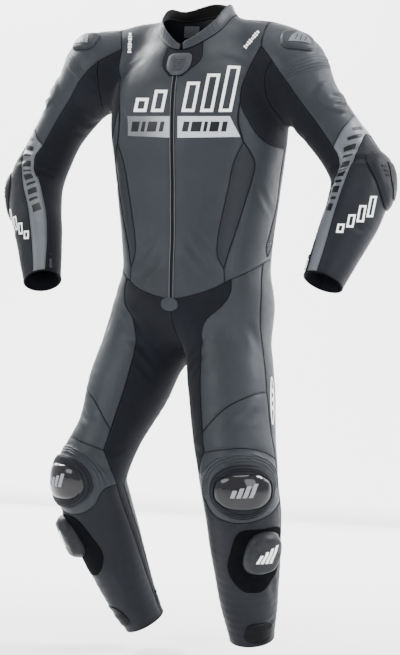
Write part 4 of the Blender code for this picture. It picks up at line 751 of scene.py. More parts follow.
def shell(name, sheet, low, high, finish, inset=GAP / 2, angle=50):
    """Closed thin solid between two offsets of a sheet along its normals."""
    points = inset_edges(sheet, inset)
    count = len(points)
    outer = points + sheet.normals * np.broadcast_to(high, count)[:, None]
    inner = points + sheet.normals * np.broadcast_to(low, count)[:, None]
    parts = [sheet.triangles, sheet.triangles[:, ::-1] + count]
    for loop in sheet.loops():
        a = np.array(loop)
        b = np.roll(a, -1)
        parts.append(np.stack([b, a, a + count], -1))
        parts.append(np.stack([b, a + count, b + count], -1))
    faces = np.concatenate(parts).tolist()
    return add_object(name, np.vstack([outer, inner]), faces, finish, angle)


def refine(sheet, settles=2):
    """Each triangle in four, the new points on the body surface."""
    triangles = sheet.triangles
    edges = np.concatenate([triangles[:, [0, 1]], triangles[:, [1, 2]], triangles[:, [2, 0]]])
    pairs, index = np.unique(np.sort(edges, axis=1), axis=0, return_inverse=True)
    middle = settle((sheet.points[pairs[:, 0]] + sheet.points[pairs[:, 1]]) / 2, settles)
    lift = (sheet.lift[pairs[:, 0]] + sheet.lift[pairs[:, 1]]) / 2
    ab, bc, ca = (index.reshape(-1) + len(sheet.points)).reshape(3, -1)
    a, b, c = triangles.T
    finer = np.concatenate([np.stack(corner, -1) for corner in
                            ((a, ab, ca), (ab, b, bc), (ca, bc, c), (ab, bc, ca))])
    points = np.vstack([sheet.points, middle])
    return Sheet(points, body_normal(points), np.concatenate([sheet.lift, lift]), finer)


EDGE_BLOCK = 12         # border edges looked at together
EDGE_MARGIN = 1.5


def edge_distance(sheet, limit=0.012):
    """Distance of each point from the sheet's own border, up to a limit."""
    distance = np.full(len(sheet.points), limit)
    for loop in sheet.loops():
        start = sheet.points[loop]
        step = np.roll(start, -1, axis=0) - start
        length = (step * step).sum(axis=1)
        for block in range(0, len(start), EDGE_BLOCK):
            part = slice(block, block + EDGE_BLOCK)
            low = start[part].min(axis=0) - limit * EDGE_MARGIN
            high = start[part].max(axis=0) + limit * EDGE_MARGIN
            near = np.flatnonzero(((sheet.points > low) & (sheet.points < high)).all(axis=1))
            if not len(near):
                continue
            offset = sheet.points[near][:, None] - start[part][None]
            share = np.clip((offset * step[part]).sum(axis=2) / length[part], 0, 1)
            away = np.linalg.norm(offset - share[..., None] * step[part], axis=2).min(axis=1)
            distance[near] = np.minimum(distance[near], away)
        distance[loop] = 0.0
    return distance


# A crease across its line, in widths of the crease: a trough with a ridge on either side.
CREASE_REACH = 3.2
RIDGE_SHARE = 0.5
RIDGE_PLACE = 1.7
RIDGE_WIDTH = 0.75
CREASE_FADE = 0.8       # towards its ends


def crease_shift(points):
    """How far creases move the cloth: troughs with soft ridges beside them."""
    shift = np.zeros(len(points))
    for line, width, depth in CREASES:
        reach = CREASE_REACH * width
        low, high = line.min(axis=0) - reach, line.max(axis=0) + reach
        near = np.flatnonzero(((points > low) & (points < high)).all(axis=1))
        if not len(near):
            continue
        start = line[:-1]
        step = np.diff(line, axis=0)
        offset = points[near][:, None] - start[None]
        share = np.clip((offset * step).sum(axis=2) / (step * step).sum(axis=1), 0, 1)
        away = np.linalg.norm(offset - share[..., None] * step, axis=2)
        best = away.argmin(axis=1)
        rows = np.arange(len(near))
        away = away[rows, best] / width
        along = (best + share[rows, best]) / len(step)
        fade = np.sin(np.pi * np.clip(along, 0.001, 0.999)) ** CREASE_FADE
        ridge = RIDGE_SHARE * np.exp(-((away - RIDGE_PLACE) / RIDGE_WIDTH) ** 2)
        form = -np.exp(-away ** 2) + ridge
        shift[near] += depth * fade * form
    return shift


NOISE_HEIGHT = 0.00035


def soft_noise(points):
    """Slow unevenness of worn cloth, under a millimetre: waves that don't repeat together."""
    x, y, z = points.T
    return NOISE_HEIGHT * (np.sin(31 * x + 17 * z + 1.3) * np.sin(23 * y - 29 * z)
                           + np.sin(57 * z + 41 * y + 0.7) * np.sin(47 * x - 19 * y + 2.1))


def panel(name, seams, chart, spacing, finish, marks=(), relief=None):
    """One cut piece of cloth between its seams, dressed over its solid."""
    marks = list(marks) + print_marks(name)
    sheet = refine(make_sheet(chart, border(seams), spacing, marks))
    shift = crease_shift(sheet.points) + soft_noise(sheet.points)
    edge = edge_distance(sheet)
    dip = SEAM_DIP * np.exp(-(edge / SEAM_ROLL) ** 2)
    lift = sheet.lift if relief is None else sheet.lift + relief(sheet.points)
    sheet.lift = WALL / 2 + lift + shift
    SHEETS[name] = sheet
    thing = shell("cloth_" + name, sheet, shift - WALL / 2, sheet.lift - dip,
                  LOOKS.get(name.rstrip("LR").rstrip("_"), finish))
    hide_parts(name)
    lay_prints(name, None, sheet, chart)
    CHARTS[name] = chart
    return sheet



# ---------------------------------------------------------------- raised pieces
PAD_DETAIL = 3


class Pad:
    """Rounded outline seen along a direction, laid on the body surface."""

    def __init__(self, centre, azimuth, elevation, half_width, half_height, power=2.3, tilt=0.0,
                 sharpness=0.0):
        self.chart = Facing(azimuth, elevation)
        self.centre = centre
        self.half = np.array([half_width, half_height])
        self.power = power
        self.tilt = np.radians(tilt)
        self.sharpness = sharpness

    def local(self, points):
        offset = points - self.centre
        flat = np.stack([offset @ self.chart.across, offset @ self.chart.upward], -1)
        turn = np.array([[np.cos(self.tilt), -np.sin(self.tilt)],
                         [np.sin(self.tilt), np.cos(self.tilt)]])
        flat = flat @ turn
        return flat / self.narrow(flat)

    def narrow(self, flat):
        """Half sizes at each place; a sharp pad narrows towards its foot."""
        share = np.clip(-flat[:, 1] / self.half[1], 0, 1)
        width = self.half[0] * (1 - self.sharpness * share * share)
        return np.stack([width, np.full(len(flat), self.half[1])], -1)

    def level(self, points):
        """0 at the centre, 1 on the outline."""
        flat = np.abs(self.local(points))
        return (flat ** self.power).sum(axis=1) ** (1 / self.power)

    def loop(self, scale, count):
        count *= PAD_DETAIL
        angles = (np.arange(count) + 0.5) * 2 * np.pi / count
        arms = np.stack([np.cos(angles), np.sin(angles)], -1)
        size = (np.abs(arms) ** self.power).sum(axis=1) ** (-1 / self.power)
        flat = arms * size[:, None] * scale
        height = flat[:, 1] * self.half[1]
        share = np.clip(-flat[:, 1], 0, 1)
        x = flat[:, 0] * self.half[0] * (1 - self.sharpness * share * share)
        turn = np.array([[np.cos(self.tilt), np.sin(self.tilt)],
                         [-np.sin(self.tilt), np.cos(self.tilt)]])
        flat = np.stack([x, height], -1) @ turn
        origins = self.centre + flat[:, :1] * self.chart.across + flat[:, 1:] * self.chart.upward
        origins = origins - self.chart.outward * 0.02
        outward = np.broadcast_to(self.chart.outward, origins.shape)
        return settle_along(origins, outward, np.zeros(count))

    def marks(self, scales, count, lift=0.0):
        """Outline and inner rings, the inner ones raised by the lift.

        The outline bounds the piece cut from a sheet.
        """
        self.outline = self.chart.flatten(self.loop(1.0, count))
        return [(self.loop(scale, count), lift if scale < 1 else 0.0, True) for scale in scales]

    def piece(self, sheet, hole=None):
        """The part of a sheet inside the outline, and outside the hole's."""
        def chosen(points):
            depth = (points - self.centre) @ self.chart.outward
            kept = inside(self.chart.flatten(points), self.outline) & (depth > -self.half.max())
            if hole is not None:
                kept &= ~inside(hole.chart.flatten(points), hole.outline)
            return kept
        return sheet.part(chosen)


# Zip sliders that show: a raised lug in the cloth with a hinged pull below it.
LUG_HALF = (0.0042, 0.0060)
LUG_LIFT = 0.0028
LUG_GAP = 0.0010                # from the lug's foot to the hinge


def lug(limb, run, turn):
    """Outline of a slider that ends just above the hinge at a run and turn."""
    top, foot = limb.at(run - LUG_HALF[1] * 2 - LUG_GAP, turn), limb.at(run - LUG_GAP, turn)
    centre = settle(((top + foot) / 2)[None])[0]
    normal = body_normal(centre[None])[0]
    azimuth = np.degrees(np.arctan2(normal[0], -normal[1]))
    elevation = np.degrees(np.arcsin(normal[2]))
    pad = Pad(centre, azimuth, elevation, *LUG_HALF, 3.0)
    fall = top - foot
    pad.tilt = np.arctan2(-fall @ pad.chart.across, fall @ pad.chart.upward)
    return pad


def profile_height(profile, level):
    return np.interp(level, [row[0] for row in profile], [row[1] for row in profile])


RAISED = {}
PRINT_PANELS = {"shoulder_cup": "sleeve_top", "elbow_guard": "forearm", "knee_cup": "knee",
                "knee_slider": "shank", "slider_patch": "shank", "hem_patch": "shank",
                "zip_badge": "throat"}


def print_panel(name):
    """Panel under a padded piece."""
    stem, end = (name[:-2], name[-2:]) if name[-2:] in ("_L", "_R") else (name, "")
    return PRINT_PANELS.get(stem, "") + end


def padded(name, pad, base, foot, profile, finish, hole=None):
    """Raised piece on a sheet: foot is its underside, profile gives height by level."""
    sheet = pad.piece(base, hole)
    rise = profile_height(profile, pad.level(sheet.points))
    low, high = sheet.lift + foot, sheet.lift + foot + rise
    thing = shell("piece_" + name, sheet, low, high, LOOKS.get(name[:-2], finish), angle=40)
    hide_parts(name)
    raised = Sheet(sheet.points, sheet.normals, high, sheet.triangles)
    RAISED[name] = (pad, raised)
    lay_prints(print_panel(name), name, raised, pad.chart)
    return raised


# ---------------------------------------------------------------- materials
MATERIALS = {}


class Recipe:
    """A node material: the shader and small helpers that wire textures to it."""

    def __init__(self, name, colour, roughness, metallic=0.0):
        self.material = bpy.data.materials.new(name)
        self.material.use_nodes = True
        self.tree = self.material.node_tree
        self.shader = self.tree.nodes["Principled BSDF"]
        self.shader.inputs["Base Color"].default_value = (*colour, 1.0)
        self.shader.inputs["Roughness"].default_value = roughness
        self.shader.inputs["Metallic"].default_value = metallic
        self.place = self.node("ShaderNodeTexCoord").outputs["Object"]
        self.colour = colour
        self.normal = None
        MATERIALS[name] = self.material

    def node(self, kind, **settings):
        made = self.tree.nodes.new(kind)
        for key, value in settings.items():
            setattr(made, key, value)
        return made

    def link(self, start, stop):
        self.tree.links.new(start, stop)

    def noise(self, scale, detail=3.0, roughness=0.55, stretch=None):
        made = self.node("ShaderNodeTexNoise")
        made.inputs["Scale"].default_value = scale
        made.inputs["Detail"].default_value = detail
        made.inputs["Roughness"].default_value = roughness
        self.link(self.stretched(stretch), made.inputs["Vector"])
        return made.outputs["Fac"]

    def stretched(self, stretch):
        if stretch is None:
            return self.place
        mapping = self.node("ShaderNodeMapping")
        mapping.inputs["Scale"].default_value = stretch
        self.link(self.place, mapping.inputs["Vector"])
        return mapping.outputs["Vector"]

    def cells(self, scale, feature="SMOOTH_F1"):
        made = self.node("ShaderNodeTexVoronoi", feature=feature)
        made.inputs["Scale"].default_value = scale
        self.link(self.place, made.inputs["Vector"])
        return made.outputs["Distance"]

    WAVE_SCALE = 0.3142     # of the wave texture, for one band to a metre
    WAVE_DETAIL = 40.0

    def bands(self, direction, period, distortion=0.0):
        made = self.node("ShaderNodeTexWave", bands_direction=direction)
        made.inputs["Scale"].default_value = self.WAVE_SCALE / period
        made.inputs["Distortion"].default_value = distortion
        made.inputs["Detail Scale"].default_value = self.WAVE_DETAIL
        self.link(self.place, made.inputs["Vector"])
        return made.outputs["Fac"]

    def ranged(self, value, low, high, start=0.3, stop=0.7):
        made = self.node("ShaderNodeMapRange")
        made.inputs["From Min"].default_value = start
        made.inputs["From Max"].default_value = stop
        made.inputs["To Min"].default_value = low
        made.inputs["To Max"].default_value = high
        self.link(value, made.inputs["Value"])
        return made.outputs["Result"]

    def gradient(self, axis, start, stop):
        """0 to 1 along an axis of the suit."""
        made = self.node("ShaderNodeSeparateXYZ")
        self.link(self.place, made.inputs["Vector"])
        return self.ranged(made.outputs[axis], 0.0, 1.0, start, stop)

    def mottle_and_painted_light(self, value, dark, light):
        """Base colour from dark to light shares of the main one; fed with noise it mottles the
        tone, fed with a gradient it paints light across the piece.
        """
        made = self.node("ShaderNodeMix", data_type="RGBA")
        made.inputs["A"].default_value = (*[c * dark for c in self.colour], 1.0)
        made.inputs["B"].default_value = (*[min(c * light, 1.0) for c in self.colour], 1.0)
        self.link(self.ranged(value, 0.0, 1.0), made.inputs["Factor"])
        self.link(made.outputs["Result"], self.shader.inputs["Base Color"])

    def rough(self, value, low, high):
        self.link(self.ranged(value, low, high), self.shader.inputs["Roughness"])

    def bump(self, height, strength, distance):
        made = self.node("ShaderNodeBump")
        made.inputs["Strength"].default_value = strength
        made.inputs["Distance"].default_value = distance
        self.link(height, made.inputs["Height"])
        if self.normal is not None:
            self.link(self.normal, made.inputs["Normal"])
        self.normal = made.outputs["Normal"]
        self.link(self.normal, self.shader.inputs["Normal"])


def leather(name, colour, roughness, grain=1.0, shine=0.16):
    made = Recipe(name, colour, roughness)
    slow = made.noise(7.0, 4.0, 0.6)
    made.mottle_and_painted_light(slow, 0.82, 1.18)
    made.rough(made.noise(38.0, 4.0, 0.6), roughness - 0.07, roughness + 0.08)
    made.bump(made.noise(46.0, 5.0, 0.62, (1.0, 1.0, 0.45)), 0.35, 0.0016)
    made.bump(made.cells(620.0), 0.30 * grain, 0.0005)
    made.bump(made.noise(1500.0, 2.0), 0.12 * grain, 0.0003)
    made.shader.inputs["Specular IOR Level"].default_value = shine
    return made


def cloth(name, colour, roughness, period, depth, sheen=0.05, shine=0.14):
    made = Recipe(name, colour, roughness)
    made.mottle_and_painted_light(made.noise(9.0, 4.0, 0.6), 0.80, 1.25)
    made.bump(made.noise(60.0, 4.0, 0.6), 0.3, 0.0012)
    made.bump(made.bands("X", period, 0.6), 0.35, depth)
    made.bump(made.bands("Z", period, 0.6), 0.35, depth)
    made.shader.inputs["Sheen Weight"].default_value = sheen
    made.shader.inputs["Sheen Roughness"].default_value = 0.45
    made.shader.inputs["Specular IOR Level"].default_value = shine
    return made


leather("leather", (0.0185, 0.0215, 0.0262), 0.46)
leather("seat_leather", (0.0180, 0.0208, 0.0255), 0.48)
leather("leaf_leather", (0.0135, 0.0152, 0.0188), 0.47, 1.0, 0.13)
leather("dark_leather", (0.0092, 0.0102, 0.0132), 0.48, 1.0, 0.08)
leather("silver_leather", (0.070, 0.078, 0.090), 0.40, 0.6, 0.4)
# Silver print on the chest band, with painted light across it: darker towards the wearer's right,
# lighter towards the left.
band = leather("silver_print_painted_light", (0.235, 0.250, 0.272), 0.38, 0.5, 0.4)
band.mottle_and_painted_light(band.gradient("X", -0.14, 0.10), 0.42, 1.75)
leather("black_leather", (0.0022, 0.0024, 0.0034), 0.46, 1.0, 0.06)
leather("white_print", (0.860, 0.870, 0.880), 0.42, 0.5)
leather("black_print", (0.006, 0.0065, 0.0085), 0.36, 0.5, 0.2)
leather("grey_print", (0.200, 0.210, 0.225), 0.42, 0.5)
cloth("stretch", (0.0026, 0.0033, 0.0060), 0.82, 0.0016, 0.0005)
cloth("zip", (0.003, 0.003, 0.004), 0.65, 0.0011, 0.0004)
cloth("lining", (0.0035, 0.0035, 0.0042), 0.85, 0.0024, 0.0008)
cloth("loop_patch", (0.0016, 0.0018, 0.0025), 0.95, 0.0019, 0.0010, 0.0, 0.05)

ribbed = Recipe("rib", (0.011, 0.012, 0.016), 0.55)
ribbed.shader.inputs["Specular IOR Level"].default_value = 0.12
ribbed.mottle_and_painted_light(ribbed.noise(30.0), 0.8, 1.2)
ribbed.bump(ribbed.bands("Z", 0.0042), 0.9, 0.0016)

gloss = Recipe("gloss_plastic", (0.006, 0.006, 0.008), 0.07)
gloss.rough(gloss.noise(90.0, 5.0), 0.05, 0.13)
gloss.shader.inputs["Specular IOR Level"].default_value = 0.28
gloss.shader.inputs["Coat Weight"].default_value = 0.15
gloss.shader.inputs["Coat Roughness"].default_value = 0.04

matt = Recipe("matt_plastic", (0.0120, 0.0130, 0.0155), 0.42)
matt.shader.inputs["Specular IOR Level"].default_value = 0.12
matt.mottle_and_painted_light(matt.noise(60.0, 4.0), 0.8, 1.25)
matt.bump(matt.noise(900.0, 3.0), 0.25, 0.0004)

moulded = Recipe("rubber", (0.026, 0.029, 0.034), 0.5)
moulded.shader.inputs["Specular IOR Level"].default_value = 0.2
moulded.mottle_and_painted_light(moulded.noise(120.0), 0.85, 1.15)
moulded.bump(moulded.noise(1200.0, 2.0), 0.2, 0.0003)

teeth = Recipe("metal", (0.024, 0.025, 0.028), 0.36, 1.0)
teeth.rough(teeth.noise(300.0), 0.25, 0.42)

thread = Recipe("thread", (0.013, 0.0145, 0.018), 0.75)
thread.mottle_and_painted_light(thread.noise(900.0), 0.7, 1.3)
thread.bump(thread.noise(2600.0, 2.0), 0.5, 0.0002)

piping = Recipe("piping", (0.048, 0.053, 0.060), 0.45)
piping.mottle_and_painted_light(piping.noise(80.0), 0.85, 1.15)
piping.bump(piping.noise(1300.0, 2.0), 0.2, 0.0002)

LOOKS = {"seat": "seat_leather", "back": "seat_leather", "side_strip": "rib",
         "leaf": "leaf_leather",
         "slider_patch": "loop_patch", "hem_patch": "black_leather"}


# ---------------------------------------------------------------- neck and collar
NECK_HALF_WIDTH = 0.066
NECK_HALF_DEPTH = 0.076
NECK_SLOPE = 0.5        # the ring rises this much per metre towards the back
NECK_DIP = 0.012        # and drops this much more in front
NECK_TILT = 0.05        # and rises towards the wearer's left


def neck_point(turn):
    """Point of the neck seam; 0 is the front, 90 the wearer's left."""
    angle = np.radians(turn)
    x = NECK_HALF_WIDTH * np.sin(angle)
    y = -NECK_HALF_DEPTH * np.cos(angle)
    z = NECK_SLOPE * y - NECK_DIP * max(np.cos(angle), 0.0) ** 2 + NECK_TILT * x
    return settle(np.array([[x, y, z]]))[0]


PLAN_HEIGHT = -0.04     # inside the shoulders
PLAN_REACH = 0.05


def from_above(x, y):
    """Point on top of the shoulders over a place in plan."""
    origin = np.array([[x, y, PLAN_HEIGHT]])
    return settle_along(origin, np.array([[0, 0, 1.0]]), np.array([PLAN_REACH]))[0]


# ---------------------------------------------------------------- torso seams
ZIP_HALF = 0.0045
# The front seams, named by height and turn; turns are given for the left side.
YOKE_END = {"L": 0.168, "R": 0.188}     # shoulder seam on the ridge, from the middle
YOKE_FRONT = {"L": (-0.036, 69.5), "R": (-0.034, 70.0)}
CHEST_EDGE = {
    "L": [(-0.080, 64.0), (-0.126, 56.0), (-0.158, 54.0)],
    "R": [(-0.080, 68.0), (-0.122, 59.5), (-0.158, 55.0)],
}
CHEST_LOW = [(-0.190, 58.0), (-0.228, 66.0), (-0.249, 78.0)]
CHEST_CORNER = (-0.256, 97.0)
LEAF_TOP = (-0.243, 56.5)
LEAF_OUTER = [(-0.259, 60.5), (-0.287, 65.5), (-0.321, 64.5), (-0.408, 58.0), (-0.472, 51.5)]
LEAF_INNER = [(-0.287, 50.5), (-0.340, 48.0), (-0.400, 44.5), (-0.450, 42.0), (-0.485, 42.0)]
LEAF_FOOT = (-0.512, 47.0)
WAIST_FRONT = (-0.5775, 0.0)
WAIST_STEPS = [(-0.570, 18.0), (-0.555, 37.0)]
WAIST_PRINCESS = (-0.541, 47.5)
WAIST_STRETCH = (-0.535, 52.5)          # outer corner of the groin stretch piece
WAIST_OUTER = [(-0.519, 68.0)]
WAIST_SIDE = (-0.502, 86.0)
STRIP_FRONT = [(-0.300, 95.5), (-0.365, 97.5), (-0.430, 92.0), (-0.468, 87.5)]
STRIP_FOOT = (-0.489, 92.0)
STRIP_BACK = [(-0.468, 99.0), (-0.430, 103.0), (-0.365, 108.0), (-0.300, 107.0)]
STRIP_TOP_BACK = (-0.262, 108.0)
WAIST_BACK_SIDE = (-0.497, 93.0)
WAIST_BACK = [(-0.490, 130.0)]
WAIST_BACK_MIDDLE = (-0.486, 180.0)
BIB_CORNERS = [(-0.100, -6.5), (-0.100, 7.0), (-0.066, 24.0)]
BIB_TURNS = (-29.0, 38.0)               # where the throat piece meets the neck seam
BIB_RIGHT = (-0.075, -18.0)
NECK_SHOULDER = 101.0                   # neck turn of the shoulder ridge
RIDGE_MIDDLE = (0.110, 0.010)           # of the ridge seam, seen from above
PRINCESS_MIDDLE = (-0.200, 52.5)


def trunk_point(place, side="L"):
    height, turn = place
    return TRUNK.at(height, turn * SIDES[side])


def trunk_line(places, side="L"):
    return [trunk_point(place, side) for place in places]


def neck_line(start, stop, count=5):
    return [neck_point(turn) for turn in np.linspace(start, stop, count)]


ZIP_PLACES = 8
ZIP_START = -0.01       # y of a place inside the body, and how far the front is from it
ZIP_REACH = 0.12


def zip_line(side, top, foot):
    """Edge of the zip, a fixed distance beside the middle of the front."""
    heights = np.linspace(top, foot, ZIP_PLACES)
    beside, depth = ZIP_HALF * SIDES[side], ZIP_START
    origins = np.stack([np.full(ZIP_PLACES, beside), np.full(ZIP_PLACES, depth), heights], -1)
    rays = np.tile([0.0, -1.0, 0.0], (ZIP_PLACES, 1))
    return settle_along(origins, rays, np.full(ZIP_PLACES, ZIP_REACH))


ZIP_TOP = -0.1005
ZIP_FOOT = -0.5775


def torso_seams():
    near = TORSO_MESH * 0.8
    zip_edges = {side: zip_line(side, ZIP_TOP, ZIP_FOOT) for side in SIDES}
    for side in SIDES:
        sign = SIDES[side]
        edge = zip_edges[side]
        yoke_end = from_above(YOKE_END[side] * sign, 0.0)
        yoke_front = trunk_point(YOKE_FRONT[side], side)
        chest = trunk_line(CHEST_EDGE[side], side)
        corner = trunk_point(CHEST_CORNER, side)
        leaf_top = trunk_point(LEAF_TOP, side)
        leaf_foot = trunk_point(LEAF_FOOT, side)
        princess = trunk_point(WAIST_PRINCESS, side)
        waist_side = trunk_point(WAIST_SIDE, side)
        neck_ridge = neck_point(NECK_SHOULDER * sign)
        seam("zip_" + side, edge, near)
        ridge = from_above(RIDGE_MIDDLE[0] * sign, RIDGE_MIDDLE[1])
        seam("ridge_" + side, [neck_ridge, ridge, yoke_end], near)
        seam("yoke_" + side, [yoke_end, yoke_front], near)
        seam("chest_" + side, [yoke_front] + chest, near)
        seam("chest_low_" + side, [chest[-1]] + trunk_line(CHEST_LOW, side) + [corner], near)
        bend = trunk_point(PRINCESS_MIDDLE, side)
        seam("princess_" + side, [chest[-1], bend, leaf_top], near)
        seam("leaf_outer_" + side, [leaf_top] + trunk_line(LEAF_OUTER, side) + [leaf_foot], near)
        seam("leaf_inner_" + side, [leaf_top] + trunk_line(LEAF_INNER, side) + [leaf_foot], near)
        seam("princess_low_" + side, [leaf_foot, princess], near)
        seam("waist_" + side, [edge[-1]] + trunk_line(WAIST_STEPS, side) + [princess], near)
        stretch = trunk_point(WAIST_STRETCH, side)
        seam("waist_short_" + side, [princess, stretch], near)
        seam("waist_outer_" + side, [stretch] + trunk_line(WAIST_OUTER, side) + [waist_side], near)
        strip_foot = trunk_point(STRIP_FOOT, side)
        strip_back = trunk_point(STRIP_TOP_BACK, side)
        waist_back = trunk_point(WAIST_BACK_SIDE, side)
        seam("strip_front_" + side, [corner] + trunk_line(STRIP_FRONT, side) + [strip_foot], near)
        rear = trunk_line(STRIP_BACK, side)
        seam("strip_back_" + side, [strip_foot] + rear + [strip_back], near)
        seam("strip_top_" + side, [corner, strip_back], near)
        seam("hip_" + side, [strip_foot, waist_back], near)
        seam("waist_hip_" + side, [waist_side, waist_back], near)
        middle_back = trunk_point(WAIST_BACK_MIDDLE)
        behind = trunk_line(WAIST_BACK, side)
        seam("waist_back_" + side, [waist_back] + behind + [middle_back], near)
        turn = BIB_TURNS[0] if side == "R" else BIB_TURNS[1]
        seam("neck_front_" + side, neck_line(turn, NECK_SHOULDER * sign), near * 0.7)
        seam("neck_back_" + side, neck_line(NECK_SHOULDER * sign, 180 * sign, 7), near * 0.7)
    bib_left = trunk_point(BIB_CORNERS[1])
    bib_right = trunk_point(BIB_CORNERS[0])
    neck_left = neck_point(BIB_TURNS[1])
    neck_right = neck_point(BIB_TURNS[0])
    seam("bib_L", [neck_left, trunk_point(BIB_CORNERS[2]), bib_left], near)
    seam("bib_R", [neck_right, trunk_point(BIB_RIGHT), bib_right], near)
    seam("bib_neck", neck_line(BIB_TURNS[0], BIB_TURNS[1]), near * 0.6)
    seam("bib_foot_L", [bib_left, zip_edges["L"][0]], near)
    seam("bib_foot", [zip_edges["L"][0], zip_edges["R"][0]], near)
    seam("bib_foot_R", [zip_edges["R"][0], bib_right], near)
    middle = trunk_point(WAIST_FRONT)
    for side in SIDES:
        seam("zip_foot_" + side, [middle, zip_edges[side][-1]], near)


BADGE_PLACE = (0.003, -0.110, -0.074)   # rubber badge over the head of the zip
BADGE_HALF = (0.028, 0.027)
BADGE_FACING = (2, 32)                  # azimuth and elevation, degrees
BADGE_POWER = 5.0                       # squareness of its outline
BADGE_NARROW = 0.5                      # share lost in width towards the foot
BADGE_PROFILE = [(0.0, 0.0045), (0.75, 0.0040), (1.0, 0.0022)]


def badge_pad():
    centre = settle(np.array([BADGE_PLACE]))[0]
    return Pad(centre, *BADGE_FACING, *BADGE_HALF, BADGE_POWER, 0.0, BADGE_NARROW)


def torso_panels():
    badge = badge_pad()
    for side in SIDES:
        sign = SIDES[side]
        front = Facing(38 * sign, 28)
        panel("front_" + side, ["neck_front_" + side, "ridge_" + side, "yoke_" + side,
                                "chest_" + side, "princess_" + side, "leaf_inner_" + side,
                                "princess_low_" + side, "-waist_" + side, "-zip_" + side,
                                "-bib_foot_" + side if side == "L" else "bib_foot_" + side,
                                "-bib_" + side], front, TORSO_MESH, "leather")
        panel("leaf_" + side, ["leaf_inner_" + side, "-leaf_outer_" + side],
              Facing(50 * sign, 0), TORSO_MESH, "dark_leather")
        panel("side_front_" + side, ["-princess_" + side, "chest_low_" + side,
                                     "strip_front_" + side, "hip_" + side,
                                     "-waist_hip_" + side, "-waist_outer_" + side,
                                     "-waist_short_" + side,
                                     "-princess_low_" + side, "-leaf_outer_" + side],
              Facing(72 * sign, 0), TORSO_MESH, "leather")
        panel("side_strip_" + side, ["strip_front_" + side, "strip_back_" + side,
                                     "-strip_top_" + side], Facing(95 * sign, 0),
              TORSO_MESH, "stretch")
    panel("throat", ["bib_neck", "bib_L", "bib_foot_L", "bib_foot", "bib_foot_R", "-bib_R"],
          Facing(0, 20), TORSO_MESH, "stretch", badge.marks([1.0, 0.75], 16))
    padded("zip_badge", badge, SHEETS["throat"], GAP, BADGE_PROFILE, "rubber")
    panel("front_zip", ["bib_foot", "zip_R", "-zip_foot_R", "zip_foot_L", "-zip_L"], Facing(0, 0),
          TORSO_MESH, "zip")


# ---------------------------------------------------------------- armholes, chest and back
# Places on the armhole seam, from the front of the shoulder under the arm to
# the back, with x pointing outwards.
Place = namedtuple("Place", "x y z")
ARMHOLE_FRONT = {
    "L": [Place(0.203, -0.069, -0.069), Place(0.187, -0.070, -0.105),
          Place(0.190, -0.058, -0.155), Place(0.206, -0.027, -0.190),
          Place(0.213, 0.018, -0.212)],
    "R": [Place(0.211, -0.072, -0.060), Place(0.214, -0.070, -0.086),
          Place(0.216, -0.058, -0.122), Place(0.224, -0.027, -0.156),
          Place(0.236, 0.018, -0.174)],
}
ARMHOLE_BACK = {
    "L": [Place(0.213, 0.018, -0.212), Place(0.206, 0.060, -0.190),
          Place(0.190, 0.086, -0.150), Place(0.186, 0.096, -0.105),
          Place(0.200, 0.090, -0.062)],
    "R": [Place(0.236, 0.018, -0.174), Place(0.224, 0.060, -0.156),
          Place(0.216, 0.086, -0.120), Place(0.213, 0.096, -0.084),
          Place(0.213, 0.090, -0.045)],
}


ARMPIT_DROP = 0.030     # the side seam leaves the armhole by this place
SIDE_TURN = 108.0
YOKE_BACK_BULGE = [0, 0.02, 0.03]       # of the back yoke seam's middle
CHEST_POST = {"L": 0.120, "R": 0.135}   # upright axis that the chest stretch curves around


def placed(places, side):
    return list(settle(np.array([(p.x * SIDES[side], p.y, p.z) for p in places])))


def chest_chart(side):
    post = Upright([(CHEST_POST[side] * SIDES[side], 0.030, 0.0)])
    return Around(post, 60 * SIDES[side], 0.10)


def armhole_seams():
    near = TORSO_MESH * 0.7
    for side in SIDES:
        front = placed(ARMHOLE_FRONT[side], side)
        back = placed(ARMHOLE_BACK[side], side)
        low, back = back[:2], back[1:]
        yoke_end = SEAMS["yoke_" + side][0]
        strip_back = SEAMS["strip_top_" + side][-1]
        seam("armhole_" + side, front, near)
        seam("armhole_low_" + side, low, near)
        seam("armhole_back_" + side, back, near)
        middle = settle(((yoke_end + back[-1]) / 2 + YOKE_BACK_BULGE)[None])[0]
        seam("yoke_back_" + side, [yoke_end, middle, back[-1]], near)
        below = trunk_point((back[0][2] - ARMPIT_DROP, SIDE_TURN), side)
        seam("side_back_" + side, [back[0], below, strip_back], near, chest_chart(side))
        seam("shoulder_" + side, [SEAMS["yoke_" + side][-1], front[0]], near)


def armhole_panels():
    for side in SIDES:
        panel("chest_stretch_" + side, ["chest_" + side, "chest_low_" + side,
                                        "strip_top_" + side, "-side_back_" + side,
                                        "-armhole_low_" + side, "-armhole_" + side,
                                        "-shoulder_" + side],
              chest_chart(side), TORSO_MESH * 0.8, "stretch")
    right = ["ridge_R", "yoke_back_R", "-armhole_back_R", "side_back_R", "-strip_back_R",
             "hip_R", "waist_back_R"]
    left = [name[:-1] + "L" for name in right]
    turned = [name[1:] if name.startswith("-") else "-" + name for name in reversed(left)]
    panel("back", ["-neck_back_R"] + right + turned + ["neck_back_L"],
          Facing(180, 22), TORSO_MESH * 1.25, "leather")


# ---------------------------------------------------------------- sleeves
SLEEVE_END = {"L": 0.545, "R": 0.573}
